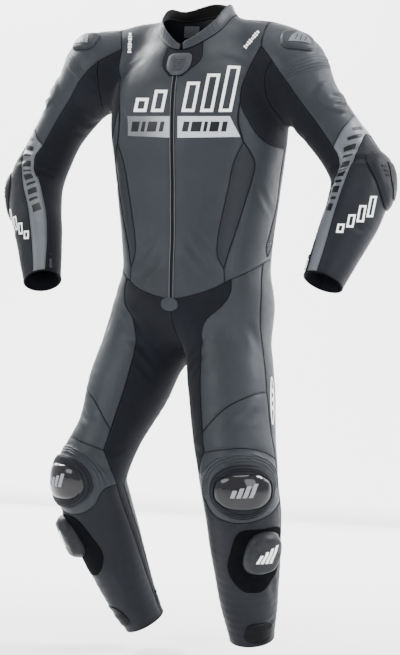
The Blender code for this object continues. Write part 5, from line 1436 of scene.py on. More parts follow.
# Seams of a sleeve by share of its run and turn.
FRONT_DIAGONAL = {
    "L": [(0.040, 2.0), (0.138, 1.0), (0.251, 0.0)],
    "R": [(0.040, -5.0), (0.138, -6.0), (0.251, -4.0)],
}
BAND_CORNER = (0.370, -3.0)
BAND_TOP = {
    "L": [(0.334, 30.0), (0.308, 75.0), (0.292, 112.0)],
    "R": [(0.355, 30.0), (0.325, 75.0), (0.303, 112.0)],
}
BAND_OUT_FOOT = (0.400, 112.0)
BAND_FOOT = {
    "L": [(0.390, 80.0), (0.413, 57.0), (0.480, 20.0), (0.596, -10.0), (0.734, -19.0),
          (0.862, -12.0)],
    "R": [(0.390, 82.0), (0.413, 64.0), (0.480, 30.0), (0.596, -4.0), (0.734, -17.0),
          (0.862, -12.0)],
}
BAND_INNER = {
    "L": [(0.430, -5.0), (0.500, -22.0), (0.587, -47.0), (0.734, -60.0), (0.862, -55.0)],
    "R": [(0.430, 2.0), (0.500, -13.0), (0.587, -40.0), (0.734, -59.0), (0.862, -55.0)],
}
BACK_DIAGONAL = [(0.040, 178.0), (0.138, 179.0), (0.251, 180.0)]
ELBOW_BACK = (0.405, 183.0)
FOREARM_BACK = [(0.560, 192.0), (0.734, 200.0), (0.862, 203.0)]
ELBOW_SEAM = [(0.403, 148.0)]
CUFF_TURNS = {"inner": -45.0, "outer": -5.0, "back": 204.0}
RIB_RUNS = [0.004, 0.0085, 0.013, 0.0175, 0.022]     # accordion ridges below the shoulder
RIB_TURNS = (5.0, 100.0)
RIB_SLANT = 0.00018                                  # run gained per degree of turn
RIB_LIFT = 0.0016
# Raised pieces of a sleeve: (run, turn), facing and half sizes.
CUP_PLACE = {"L": (-0.011, 62.0), "R": (-0.015, 50.0)}
CUP_FACING = {"L": (50.0, 47.0), "R": (42.0, 42.0)}
SHOULDER_CUP_HALF = {"L": (0.037, 0.030), "R": (0.031, 0.027)}
SHOULDER_CUP_PROFILE = [(0.0, 0.0078), (0.7, 0.0072), (0.9, 0.0054), (1.0, 0.0022)]
BICEP_PLACE = (0.109, 60.0)
BICEP_FACING = (62.0, 22.0)
BICEP_HALF = (0.042, 0.034)
BICEP_PROFILE = [(0.0, 0.0045), (0.8, 0.0040), (1.0, 0.0), (9.0, 0.0)]
ELBOW_SHARE = {"L": 0.553, "R": 0.586}
ELBOW_TURN = 92.0
ELBOW_HALF = (0.044, 0.062)
ELBOW_PROFILE = [(0.0, 0.0100), (0.55, 0.0098), (0.82, 0.0075), (1.0, 0.0025)]


def arm_point(place, side):
    share, turn = place
    return ARMS[side].at(share * SLEEVE_END[side], turn)


def arm_line(places, side):
    return [arm_point(place, side) for place in places]


def cuff_line(side, start, stop, count):
    return [arm_point((1.0, turn), side) for turn in np.linspace(start, stop, count)]


def sleeve_seams():
    near = ARM_MESH
    for side in SIDES:
        top = SEAMS["shoulder_" + side][-1]
        back = SEAMS["armhole_back_" + side][-1]
        corner = arm_point(BAND_CORNER, side)
        over = arm_line(BAND_TOP[side], side)
        out_foot = arm_point(BAND_OUT_FOOT, side)
        elbow = arm_point(ELBOW_BACK, side)
        inner, outer, rear = (arm_point((1.0, CUFF_TURNS[key]), side)
                              for key in ("inner", "outer", "back"))
        seam("diagonal_" + side, [top] + arm_line(FRONT_DIAGONAL[side], side) + [corner], near)
        seam("band_top_" + side, [corner] + over, near)
        seam("band_end_" + side, [over[-1], out_foot], near)
        seam("band_foot_" + side, [out_foot] + arm_line(BAND_FOOT[side], side) + [outer], near)
        seam("band_inner_" + side, [corner] + arm_line(BAND_INNER[side], side) + [inner], near)
        seam("elbow_seam_" + side, [out_foot] + arm_line(ELBOW_SEAM, side) + [elbow], near)
        seam("back_diagonal_" + side, [back] + arm_line(BACK_DIAGONAL, side) + [elbow], near)
        seam("forearm_back_" + side, [elbow] + arm_line(FOREARM_BACK, side) + [rear], near)
        front = cuff_line(side, CUFF_TURNS["inner"], CUFF_TURNS["outer"], 4)
        seam("cuff_band_" + side, front, near)
        around = cuff_line(side, CUFF_TURNS["outer"], CUFF_TURNS["back"], 12)
        seam("cuff_outer_" + side, around, near * 0.8)
        under = cuff_line(side, CUFF_TURNS["back"] - 360, CUFF_TURNS["inner"], 8)
        seam("cuff_under_" + side, under, near * 0.8)


CUFF_PULL = (-0.030, -62.0)     # hinge of the cuff zip's pull: run back from the cuff, turn


def sleeve_pads(side):
    sign = SIDES[side]
    limb = ARMS[side]
    elbow = limb.at(ELBOW_SHARE[side] * SLEEVE_END[side], ELBOW_TURN)
    return {
        "cup": Pad(limb.at(*CUP_PLACE[side]), CUP_FACING[side][0] * sign, CUP_FACING[side][1],
                   *SHOULDER_CUP_HALF[side], 3.0, -18 * sign),
        "bicep": Pad(limb.at(*BICEP_PLACE), BICEP_FACING[0] * sign, BICEP_FACING[1],
                     *BICEP_HALF, 3.0, -34 * sign),
        "elbow": Pad(elbow, 94 * sign, -4, *ELBOW_HALF, 2.6, -6 * sign),
    }


def rib_marks(limb, runs, turns, lift, spacing):
    """Crest and valley lines of an accordion panel."""
    marks = []
    step = runs[1] - runs[0]
    for number in range(2 * len(runs) + 1):
        run = runs[0] + (number - 1) * step / 2
        centres = [limb.at(run + RIB_SLANT * (turn - turns[0]), turn)
                   for turn in np.linspace(*turns, 6)]
        line = curve_on_body(centres, spacing)
        marks.append((line, lift if number % 2 else 0.0, False))
    return marks


def sleeve_panels():
    for side in SIDES:
        limb = ARMS[side]
        pads = sleeve_pads(side)
        marks = rib_marks(limb, RIB_RUNS, RIB_TURNS, RIB_LIFT, ARM_MESH)
        marks += pads["cup"].marks([1.0, 0.8], 16) + pads["bicep"].marks([1.0, 0.8], 14)

        def bicep_relief(points, pad=pads["bicep"]):
            near = np.linalg.norm(points - pad.centre, axis=1) < 0.07
            return profile_height(BICEP_PROFILE, pad.level(points)) * near

        panel("sleeve_top_" + side, ["yoke_" + side, "shoulder_" + side, "diagonal_" + side,
                                     "band_top_" + side, "band_end_" + side,
                                     "elbow_seam_" + side, "-back_diagonal_" + side,
                                     "-yoke_back_" + side],
              Around(limb, 90, 0.075), ARM_MESH * 1.3, "leather", marks, bicep_relief)
        base = lug(limb, SLEEVE_END[side] + CUFF_PULL[0], CUFF_PULL[1])
        panel("sleeve_stretch_" + side, ["armhole_" + side, "armhole_low_" + side,
                                         "armhole_back_" + side, "back_diagonal_" + side,
                                         "forearm_back_" + side, "cuff_under_" + side,
                                         "-band_inner_" + side, "-diagonal_" + side],
              Around(limb, -88, 0.065), ARM_MESH * 1.35, "stretch",
              base.marks([1.0, 0.6], 8, LUG_LIFT))
        panel("sleeve_band_" + side, ["band_top_" + side, "band_end_" + side,
                                      "band_foot_" + side, "-cuff_band_" + side,
                                      "-band_inner_" + side],
              Around(limb, 20, 0.06), ARM_MESH, "silver_leather")
        panel("forearm_" + side, ["elbow_seam_" + side, "forearm_back_" + side,
                                  "-cuff_outer_" + side, "-band_foot_" + side],
              Around(limb, 95, 0.06), ARM_MESH * 1.15, "dark_leather",
              pads["elbow"].marks([1.0, 0.75], 18))
        padded("shoulder_cup_" + side, pads["cup"], SHEETS["sleeve_top_" + side], GAP,
               SHOULDER_CUP_PROFILE, "leather")
        padded("elbow_guard_" + side, pads["elbow"], SHEETS["forearm_" + side], GAP,
               ELBOW_PROFILE, "dark_leather")


# ---------------------------------------------------------------- leg seams
LEG_END = {"L": 0.750, "R": 0.762}
# Edge of the groin stretch by height and turn around the leg's upright axis.
GROIN_EDGE = [(-0.556, 31.0), (-0.577, 27.0), (-0.597, 19.0), (-0.614, 9.5), (-0.633, 2.0),
              (-0.653, -4.0), (-0.675, -9.0), (-0.697, -13.4), (-0.722, -16.0), (-0.775, -20.0)]
# Other places on a leg by run (metres along its centre line) and turn.
THIGH_NOTCH = (0.285, -23.0)            # where the slanting thigh seam leaves the stretch
THIGH_SLANT = [(0.250, 16.0), (0.226, 48.0)]
SLANT_OUT = (0.205, 80.0)
SIDE_TOP = [(0.020, 70.0), (0.100, 78.0)]
SIDE_LOW = [(0.280, 88.0)]
KNEE_IN_TOP = (0.325, -26.0)
KNEE_TOP = [(0.330, 10.0), (0.333, 46.0)]
KNEE_OUT_TOP = (0.347, 98.0)
KNEE_OUT_LOW = (0.428, 104.0)
KNEE_INNER = [(0.350, -50.0)]
KNEE_IN_LOW = (0.391, -74.0)
KNEE_LOW = [(0.396, -55.0), (0.406, -43.0), (0.428, -27.0), (0.441, 0.0), (0.445, 30.0),
            (0.441, 66.0)]
STRIP_FRONT_EDGE = [(0.470, -76.0), (0.560, -80.0), (0.650, -86.0)]
STRIP_REAR_EDGE = [(0.470, -94.0), (0.560, -98.0), (0.650, -106.0)]
KNEE_BACK_IN = (0.394, -94.0)
KNEE_BACK = [(0.398, -140.0), (0.404, -180.0), (0.412, -218.0)]
CALF_SIDE = [(0.520, 108.0), (0.640, 110.0)]
HEM_TURNS = {"strip": -92.0, "rear": -114.0, "side": 112.0}
THIGH_BACK = [(0.080, -128.0), (0.180, -112.0), (0.290, -102.0)]
# The rise seam in the middle, by angle down from the front, seen from the side.
RISE_AXIS = (0.000, -0.600)
RISE_LEAN = 0.15                        # the crotch lies to the right, under the apart legs
RISE_ANGLES = [24.0, 48.0, 72.0, 96.0]
RISE_LOW = 118.0                        # where the groin stretch ends at the back
RISE_BACK = [142.0, 164.0, 186.0]


def leg_point(place, side):
    return LEGS[side].at(*place)


def leg_line(places, side):
    return [leg_point(place, side) for place in places]


def rise_point(angle):
    """Place of the middle seam around the crotch; 0 is straight to the front."""
    a = np.radians(angle)
    origin = np.array([0.0, RISE_AXIS[0], RISE_AXIS[1]])
    return march_out(origin, unit(np.array([-RISE_LEAN * np.sin(a), -np.cos(a), -np.sin(a)])))


def hem_line(side, start, stop, count):
    return [leg_point((LEG_END[side], turn), side) for turn in np.linspace(start, stop, count)]


def leg_seams():
    near = LEG_MESH
    front_middle = SEAMS["zip_foot_L"][0]
    back_middle = SEAMS["waist_back_L"][-1]
    rise_low = rise_point(RISE_LOW)
    seam("rise_front", [front_middle] + [rise_point(a) for a in RISE_ANGLES] + [rise_low], near)
    seam("rise_back", [rise_low] + [rise_point(a) for a in RISE_BACK] + [back_middle], near * 1.3)
    for side in SIDES:
        stretch = SEAMS["waist_short_" + side][-1]
        waist_side = SEAMS["waist_hip_" + side][0]
        notch = leg_point(THIGH_NOTCH, side)
        slant_out = leg_point(SLANT_OUT, side)
        in_top, out_top = leg_point(KNEE_IN_TOP, side), leg_point(KNEE_OUT_TOP, side)
        in_low, out_low = leg_point(KNEE_IN_LOW, side), leg_point(KNEE_OUT_LOW, side)
        back_in = leg_point(KNEE_BACK_IN, side)
        strip, rear, outside = (leg_point((LEG_END[side], HEM_TURNS[key]), side)
                                for key in ("strip", "rear", "side"))
        edge = [LEG_POSTS[side].at(height, turn * SIDES[side]) for height, turn in GROIN_EDGE]
        seam("groin_" + side, [stretch] + edge + [notch], near)
        seam("groin_low_" + side, [notch, in_top], near)
        seam("slant_" + side, [notch] + leg_line(THIGH_SLANT, side) + [slant_out], near)
        seam("side_top_" + side, [waist_side] + leg_line(SIDE_TOP, side) + [slant_out], near)
        seam("side_low_" + side, [slant_out] + leg_line(SIDE_LOW, side) + [out_top], near)
        seam("knee_top_" + side, [in_top] + leg_line(KNEE_TOP, side) + [out_top], near * 0.8)
        seam("knee_side_" + side, [out_top, out_low], near)
        seam("knee_inner_" + side, [in_top] + leg_line(KNEE_INNER, side) + [in_low], near)
        seam("knee_low_" + side, [in_low] + leg_line(KNEE_LOW, side) + [out_low], near * 0.8)
        seam("strip_head_" + side, [in_low, back_in], near)
        seam("strip_fore_" + side, [in_low] + leg_line(STRIP_FRONT_EDGE, side) + [strip], near)
        seam("strip_rear_" + side, [back_in] + leg_line(STRIP_REAR_EDGE, side) + [rear], near)
        seam("knee_back_" + side, [back_in] + leg_line(KNEE_BACK, side) + [out_low], near)
        seam("calf_side_" + side, [out_low] + leg_line(CALF_SIDE, side) + [outside], near)
        seam("thigh_back_" + side, [rise_low] + leg_line(THIGH_BACK, side) + [back_in], near)
        seam("hem_strip_" + side, hem_line(side, HEM_TURNS["rear"], HEM_TURNS["strip"], 3), near)
        front = hem_line(side, HEM_TURNS["strip"], HEM_TURNS["side"], 10)
        seam("hem_front_" + side, front, near * 0.75)
        back = hem_line(side, HEM_TURNS["side"], HEM_TURNS["rear"] + 360, 7)
        seam("hem_back_" + side, back, near * 0.75)


# Accordion folds round the top of the knee ring: sizes against the ring, valleys and crests.
KNEE_FOLDS = [1.10, 1.16, 1.22, 1.28, 1.34, 1.40, 1.46]
KNEE_FOLD_LIFT = 0.0020
KNEE_FOLD_CLEAR = 0.006                 # kept from the seams
KNEE_FOLD_POINTS = 26
# Raised pieces on a leg: (run, turn), half width, half height.
KNEE_PLACE = (0.396, 29.0)
KNEE_AZIMUTH = 31.0
RING_HALF = (0.066, 0.058)
SHIELD = 0.18                           # ring and cup narrow this much at the foot
CUP_HALF = (0.055, 0.036)
PATCH_PLACE = (0.528, 45.0)
PATCH_AZIMUTH = 45.0
PATCH_HALF = (0.057, 0.076)
PUCK_PLACE = (0.508, 52.0)
PUCK_AZIMUTH = 51.0
PUCK_HALF = (0.038, 0.049)
HEM_PATCH_PLACE = (0.717, 44.0)
HEM_PATCH_HALF = (0.031, 0.025)
# Height of a raised piece by level: 0 is its middle, 1 its edge.
RING_PROFILE = [(0.50, 0.0075), (0.80, 0.0105), (0.92, 0.0085), (1.0, 0.0025)]
CUP_PROFILE = [(0.0, 0.0165), (0.6, 0.0150), (0.88, 0.0125), (1.0, 0.0085)]
PATCH_PROFILE = [(0.0, 0.0016), (1.0, 0.0016)]
PUCK_PROFILE = [(0.0, 0.0235), (0.72, 0.0225), (0.86, 0.0170), (1.0, 0.0060)]


def knee_folds(chart, ring, names):
    """Lines round the top of the ring, crest and valley in turn, inside a panel."""
    edge = chart.flatten(border(names))
    edge = np.vstack([edge, edge[:1]])
    loop = ring.loop(1.0, KNEE_FOLD_POINTS)
    flat = chart.flatten(loop)
    origins, rays = chart.rays(flat)
    reach = ((loop - origins) * rays).sum(axis=1)
    centre = flat.mean(axis=0)
    marks = []
    for number, scale in enumerate(KNEE_FOLDS):
        line = centre + (flat - centre) * scale
        kept = inside(line, edge[:-1]) & (distance_to_lines(line, [edge]) > KNEE_FOLD_CLEAR)
        kept &= line[:, 1] < centre[1]
        starts = np.flatnonzero(kept & ~np.roll(kept, 1))
        for start in starts:
            count = int(np.argmin(np.roll(kept, -start)))
            chosen = (start + np.arange(count)) % len(flat)
            if count > 2:
                origins, rays = chart.rays(line[chosen])
                far = nearest_exit(origins, rays, reach[chosen])
                lift = KNEE_FOLD_LIFT if number % 2 else 0.0
                marks.append((settle_along(origins, rays, far), lift, False))
    return marks


CALF_PULL = (-0.050, -101.0)    # hinge of the calf zip's pull: run back from the hem, turn


def leg_pads(side):
    sign = SIDES[side]
    knee = leg_point(KNEE_PLACE, side)
    return {
        "ring": Pad(knee, KNEE_AZIMUTH * sign, 0, *RING_HALF, 2.3, 0.0, SHIELD),
        "cup": Pad(knee, KNEE_AZIMUTH * sign, 0, *CUP_HALF, 3.0, 0.0, SHIELD),
        "patch": Pad(leg_point(PATCH_PLACE, side), PATCH_AZIMUTH * sign, -12, *PATCH_HALF, 5.0,
                     0.0, 0.55),
        "puck": Pad(leg_point(PUCK_PLACE, side), PUCK_AZIMUTH * sign, -12, *PUCK_HALF, 2.6),
        "hem": Pad(leg_point(HEM_PATCH_PLACE, side), 44 * sign, -10, *HEM_PATCH_HALF, 3.0),
    }


def leg_panels():
    for side in SIDES:
        sign = SIDES[side]
        limb = LEGS[side]
        end = "_" + side
        pads = leg_pads(side)
        knee_chart = Around(limb, 15, 0.09)
        knee_seams = ["knee_top" + end, "knee_side" + end, "-knee_low" + end, "-knee_inner" + end]
        knee_marks = (knee_folds(knee_chart, pads["ring"], knee_seams)
                      + pads["ring"].marks([1.0, 0.85], 22) + pads["cup"].marks([1.0, 0.75], 16))
        shank_marks = (pads["patch"].marks([1.0], 22) + pads["puck"].marks([1.0, 0.8], 16)
                       + pads["hem"].marks([1.0], 14))
        panel("groin_stretch" + end,
              ["zip_foot" + end, "waist" + end, "waist_short" + end, "groin" + end,
               "groin_low" + end, "knee_inner" + end, "strip_head" + end,
               "-thigh_back" + end, "-rise_front"],
              Around(LEG_POSTS[side], -50 * sign, 0.09), LEG_MESH * 1.15, "stretch")
        panel("thigh_upper" + end, ["waist_outer" + end, "side_top" + end, "-slant" + end,
                                    "-groin" + end],
              Around(LEG_POSTS[side], 35 * sign, 0.1), LEG_MESH * 1.25, "leather")
        panel("thigh_lower" + end, ["slant" + end, "side_low" + end, "-knee_top" + end,
                                    "-groin_low" + end],
              Around(limb, 35, 0.1), LEG_MESH * 1.1, "leather")
        panel("seat" + end, ["waist_hip" + end, "waist_back" + end, "-rise_back",
                             "thigh_back" + end, "knee_back" + end, "-knee_side" + end,
                             "-side_low" + end, "-side_top" + end],
              Around(limb, 178, 0.1), LEG_MESH * 1.4, "leather")
        panel("knee" + end, knee_seams, knee_chart, LEG_MESH * 0.9, "leather", knee_marks)
        panel("shank" + end, ["knee_low" + end, "calf_side" + end, "-hem_front" + end,
                              "-strip_fore" + end],
              Around(limb, 15, 0.07), LEG_MESH, "dark_leather", shank_marks)
        panel("calf_strip" + end, ["strip_head" + end, "strip_rear" + end, "hem_strip" + end,
                                   "-strip_fore" + end],
              Around(limb, -85, 0.07), LEG_MESH, "stretch",
              lug(limb, LEG_END[side] + CALF_PULL[0], CALF_PULL[1]).marks([1.0, 0.6], 8, LUG_LIFT))
        panel("calf" + end, ["knee_back" + end, "calf_side" + end, "hem_back" + end,
                             "-strip_rear" + end],
              Around(limb, 185, 0.07), LEG_MESH * 1.3, "dark_leather")
        knee, shank = SHEETS["knee" + end], SHEETS["shank" + end]
        padded("knee_ring" + end, pads["ring"], knee, GAP, RING_PROFILE, "dark_leather",
               pads["cup"])
        padded("knee_cup" + end, pads["cup"], knee, GAP, CUP_PROFILE, "gloss_plastic")
        padded("slider_patch" + end, pads["patch"], shank, GAP, PATCH_PROFILE, "stretch")
        padded("knee_slider" + end, pads["puck"], shank, GAP + PATCH_PROFILE[0][1] + GAP,
               PUCK_PROFILE, "matt_plastic")
        padded("hem_patch" + end, pads["hem"], shank, GAP, PATCH_PROFILE, "dark_leather")


# ---------------------------------------------------------------- collar
COLLAR_OPEN = 3.6
COLLAR_HEIGHT = [(-180, 0.028), (-150, 0.024), (-120, 0.020), (-90, 0.022), (-55, 0.027),
                 (-30, 0.021), (-12, 0.014), (0, 0.010), (9, 0.017), (30, 0.019), (60, 0.023),
                 (100, 0.026), (180, 0.028)]
COLLAR_THICK = 0.0054
COLLAR_GAP = 0.0004
COLLAR_RISE = np.array([0.0, -0.30, 1.0])
COLLAR_LEAN = 0.30
COLLAR_TURNING = 0.018
COLLAR_STEPS = 260
COLLAR_ROWS = np.linspace(0, 1, 12)
# Thickness of the collar by height: a bound foot, a padded middle, a rolled top.
COLLAR_FORM = [(0.0, 0.80), (0.10, 0.92), (0.22, 0.78), (0.30, 0.95), (0.60, 1.05), (0.74, 0.98),
               (0.80, 0.80), (0.86, 1.00), (0.95, 0.95), (1.0, 0.62)]


def collar_line(turn):
    """Base of the collar and its outward and rising directions."""
    base, ahead, behind = neck_point(turn), neck_point(turn + 2), neck_point(turn - 2)
    normal = body_normal(base[None])[0]
    leave = unit(np.cross(unit(ahead - behind), normal))
    rise = unit(COLLAR_RISE - np.array([COLLAR_LEAN * np.sin(np.radians(turn)), 0.0, 0.0]))
    if leave @ rise < 0:
        leave = -leave
    height = np.interp(turn, [row[0] for row in COLLAR_HEIGHT],
                       [row[1] for row in COLLAR_HEIGHT])
    spine, sides = [base + leave * COLLAR_GAP], []
    steps = COLLAR_ROWS * height
    for low, high in zip(steps[:-1], steps[1:]):
        share = min((low + high) / 2 / COLLAR_TURNING, 1.0)
        way = unit(leave * (1 - share) + rise * share)
        spine.append(spine[-1] + way * (high - low))
        sides.append(unit(normal - way * (normal @ way)))
    sides.append(sides[-1])
    return np.array(spine), np.array(sides), rise


COLLAR_INNER = 0.9              # half thickness of the inner side against the outer one's
CREST_TOP = 0.0016
CREST_SHOULDER = (0.0012, 0.0008)       # up and aside


def collar_turns(count):
    """Neck turns from one end of the collar round the back to the other."""
    turns = np.linspace(COLLAR_OPEN, 360 - COLLAR_OPEN, count)
    return [turn if turn <= 180 else turn - 360 for turn in turns]


def collar_sections():
    turns = collar_turns(COLLAR_STEPS)
    form = np.interp(COLLAR_ROWS, [row[0] for row in COLLAR_FORM],
                     [row[1] for row in COLLAR_FORM])
    sections = []
    for turn in turns:
        spine, sides, rise = collar_line(turn)
        half = (COLLAR_THICK / 2 * form)[:, None]
        outer, inner = spine + sides * half, spine - sides * half * COLLAR_INNER
        up, aside = CREST_SHOULDER
        crest = [spine[-1] + rise * up + sides[-1] * aside,
                 spine[-1] + rise * CREST_TOP,
                 spine[-1] + rise * up - sides[-1] * aside]
        sections.append(np.vstack([outer, crest, inner[::-1]]))
    return np.array(sections)


def build_collar():
    sections = collar_sections()
    rows, count = sections.shape[:2]
    half = len(COLLAR_ROWS)
    index = np.arange(rows * count).reshape(rows, count)
    faces, kinds = [], []
    for i in range(count):
        j = (i + 1) % count
        a, b = index[:-1, i], index[:-1, j]
        c, d = index[1:, j], index[1:, i]
        faces.append(np.stack([a, b, c, d], -1))
        kinds += [0 if i <= half + 1 else 1] * (rows - 1)
    faces = np.concatenate(faces).tolist()
    faces.append(index[0][::-1].tolist())
    faces.append(index[-1].tolist())
    kinds += [0, 0]
    thing = add_object("piece_collar", sections.reshape(-1, 3), faces, "leather", 60)
    thing.data.materials.append(MATERIALS["lining"])
    thing.data.polygons.foreach_set("material_index", kinds)
    outward = sum(p.center.dot(p.normal) * p.area for p in thing.data.polygons)
    if outward < 0:
        thing.data.flip_normals()
    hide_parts("collar")
    return sections


# ---------------------------------------------------------------- tab and zip pulls
TAB_PLACE = (-0.004, -0.140, -0.588)
TAB_HALF = (0.020, 0.014)
TAB_FOOT = WALL / 2 + 0.0012
TAB_POWER = 2.2
TAB_MESH = 0.004
TAB_THICK = 0.0024
TAB_ROUNDING = (0.72, 0.0012)           # level where it starts, drop at the edge
TAB_SEAM = (0.70, 0.06, 0.0006)         # level, width and depth of the stitched groove


def build_tab():
    centre = settle(np.array([TAB_PLACE]))[0]
    pad = Pad(centre, 0, 0, *TAB_HALF, TAB_POWER)
    sheet = refine(make_sheet(pad.chart, pad.loop(1.0, 18), TAB_MESH))
    level = pad.level(sheet.points)
    start, drop = TAB_ROUNDING
    high = TAB_FOOT + TAB_THICK - drop * np.clip((level - start) / (1 - start), 0, 1) ** 2
    place, width, depth = TAB_SEAM
    high -= depth * np.exp(-((level - place) / width) ** 2)
    thing = shell("piece_zip_tab", sheet, TAB_FOOT, high, "leather", 0.0)
    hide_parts("zip_tab")


PULL_LENGTH = 0.024
PULL_WIDTH = 0.0068
PULL_THICK = 0.0016
PULL_CLEAR = 0.0007
# Share of the length and of the width.
PULL_OUTLINE = [(0.02, 0.55), (0.10, 0.80), (0.30, 0.72), (0.62, 0.95), (0.86, 1.00),
                (0.97, 0.72)]
PULL_ROWS = 26
PULL_COLUMNS = 9
PULL_ROUNDING = 0.0005
GRIP_DEPTH = 0.00045
GRIP_PLACE = (0.6, 0.28)                # middle and half length, shares of the pull
GRIP_RIBS = 60                          # radians over the length
GRIP_UNEVEN = 0.5


def build_pull(name, limb, run, turn):
    """Moulded pull with a sunk grip, on the hinge of its solid."""
    head, foot = limb.at(run, turn), limb.at(run + PULL_LENGTH, turn)
    normal = body_normal(((head + foot) / 2)[None])[0]
    along = unit(foot - head)
    normal = unit(normal - along * (normal @ along))
    across = np.cross(along, normal)
    hinge = head + normal * (WALL / 2 + PULL_CLEAR + PULL_THICK / 2)
    far = np.linspace(PULL_OUTLINE[0][0], PULL_OUTLINE[-1][0], PULL_ROWS)
    wide = np.interp(far, [row[0] for row in PULL_OUTLINE], [row[1] for row in PULL_OUTLINE])
    sideways = np.linspace(-1, 1, PULL_COLUMNS)
    middle, half = GRIP_PLACE
    rows = []
    for a, w in zip(far, wide):
        grip = (GRIP_DEPTH * np.clip(1 - ((a - middle) / half) ** 2, 0, 1)
                * (1 + GRIP_UNEVEN * np.cos(a * GRIP_RIBS)))
        for s in sideways:
            edge = PULL_ROUNDING * s ** 6
            for sign in (1, -1):
                up = sign * (PULL_THICK / 2 - edge - grip * (1 - s ** 4))
                rows.append(hinge + along * a * PULL_LENGTH + across * s * w * PULL_WIDTH / 2
                            + normal * up)
    points = np.array(rows).reshape(PULL_ROWS, PULL_COLUMNS, 2, 3)
    index = np.arange(PULL_ROWS * PULL_COLUMNS * 2).reshape(PULL_ROWS, PULL_COLUMNS, 2)
    top, under = index[..., 0], index[..., 1]
    last, end = PULL_ROWS - 1, PULL_COLUMNS - 1
    faces = []
    for i in range(last):
        for j in range(end):
            faces.append([top[i, j], top[i, j + 1], top[i + 1, j + 1], top[i + 1, j]])
            faces.append([under[i + 1, j], under[i + 1, j + 1], under[i, j + 1], under[i, j]])
        for j in (0, end):
            ring = [top[i, j], top[i + 1, j], under[i + 1, j], under[i, j]]
            faces.append(ring if j == 0 else ring[::-1])
    for j in range(end):
        faces.append([under[0, j], under[0, j + 1], top[0, j + 1], top[0, j]])
        faces.append([top[last, j], top[last, j + 1], under[last, j + 1], under[last, j]])
    faces = [[int(v) for v in face] for face in faces]
    thing = add_object("piece_" + name, points.reshape(-1, 3), faces, "rubber", 40, name + "_body")
    work = bmesh.new()
    work.from_mesh(thing.data)
    bmesh.ops.recalc_face_normals(work, faces=work.faces)
    work.to_mesh(thing.data)
    work.free()
    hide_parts(name)


def build_pulls():
    for side in SIDES:
        build_pull("cuff_pull_" + side, ARMS[side], SLEEVE_END[side] + CUFF_PULL[0], CUFF_PULL[1])
        build_pull("calf_pull_" + side, LEGS[side], LEG_END[side] + CALF_PULL[0], CALF_PULL[1])


# ---------------------------------------------------------------- generic marks on the suit
# Places in pixels of the photograph, for what is read off it.
Bar = namedtuple("Bar", "left foot width height")
CHEST_BARS = {
    "R": [Bar(134.0, 112.0, 12.5, 14.0), Bar(151.0, 112.0, 12.5, 22.0)],
    "L": [Bar(181.5, 112.0, 13.0, 30.0), Bar(200.0, 112.0, 13.0, 38.0),
          Bar(218.5, 112.0, 13.0, 46.0)],
}
BAR_SLANT = 0.20
CHEST_STROKE = 3.1
BAND_PARTS = {
    "R": [(127.8, 116.2), (170.0, 116.2), (169.8, 137.6), (128.2, 135.8)],
    "L": [(177.8, 116.2), (229.8, 116.2), (240.2, 136.8), (177.6, 137.8)],
}
BAND_BLOCKS = {                         # left edge and width of the dark blocks on the band
    "R": [(131.0, 7.5), (141.0, 3.5), (147.0, 9.0), (159.0, 4.0)],
    "L": [(182.0, 6.0), (190.5, 10.0), (203.0, 3.5), (209.0, 9.0), (221.0, 5.0)],
}
BLOCK_LEVELS = (121.6, 131.6)
FOREARM_BARS = [Bar(336.0, 233.0, 7.2, 9.0), Bar(346.0, 227.6, 7.2, 13.0),
                Bar(356.0, 222.4, 7.2, 17.0), Bar(366.0, 217.2, 6.6, 21.0)]
FOREARM_STROKE = 2.0
OTHER_ARM = (0.012, -9.0)               # run and turn gained on the right arm
# Rows of small dashes beside the shoulder seams: from, to, half height, how many.
Dashes = namedtuple("Dashes", "start stop half count")
SHOULDER_DASHES = {
    "L": Dashes((244.6, 48.4), (259.0, 31.4), 1.9, 8),
    "R": Dashes((129.6, 53.5), (130.4, 33.0), 1.9, 8),
}
DASH_SHARE = 0.30                       # half length of a dash against their pitch
DASH_LONGER = 0.35                      # every second dash, by this share
DASH_LOWER = 0.3                        # every third one
FOREARM_TRACE = 1.8                     # spacing of an inner outline's points, pixels


def bar_corners(bar, inset=0.0):
    """Slanted bar, the outline or its inner edge."""
    slant = BAR_SLANT * bar.height
    left, right = bar.left + inset, bar.left + bar.width - inset
    foot, top = bar.foot - inset, bar.foot - bar.height + inset
    low, high = inset / bar.height * slant, slant - inset / bar.height * slant
    return [(left + low, foot), (right + low, foot), (right + high, top), (left + high, top)]


def chest_marks():
    for side in SIDES:
        front = "front_" + side
        for number, bar in enumerate(CHEST_BARS[side]):
            outer, inner = traced(bar_corners(bar)), traced(bar_corners(bar, CHEST_STROKE))
            add_print("chest_bar_%s%d" % (side, number), front, outer, "white_print", inner)
        add_print("chest_band_" + side, front, traced(BAND_PARTS[side]), "silver_print_painted_light")
        low, high = BLOCK_LEVELS
        for number, (left, width) in enumerate(BAND_BLOCKS[side]):
            block = bar_corners(Bar(left, high, width, high - low))
            add_print("chest_block_%s%d" % (side, number), front, traced(block), "black_print",
                      base=PRINT_BASE + PRINT_HEIGHT)
        row = SHOULDER_DASHES[side]
        start, stop = np.array(row.start), np.array(row.stop)
        step = (stop - start) / row.count
        aside = np.array([-step[1], step[0]]) / np.hypot(*step) * row.half
        for number in range(row.count):
            middle = start + step * (number + 0.5)
            ahead = step * DASH_SHARE * (1.0 + DASH_LONGER * (number % 2))
            high = aside * (1.0 - DASH_LOWER * (number % 3 == 1))
            corners = [middle - ahead - high, middle + ahead - high,
                       middle + ahead + high, middle - ahead + high]
            add_print("shoulder_dash_%s%d" % (side, number), front, traced(corners),
                      "white_print")


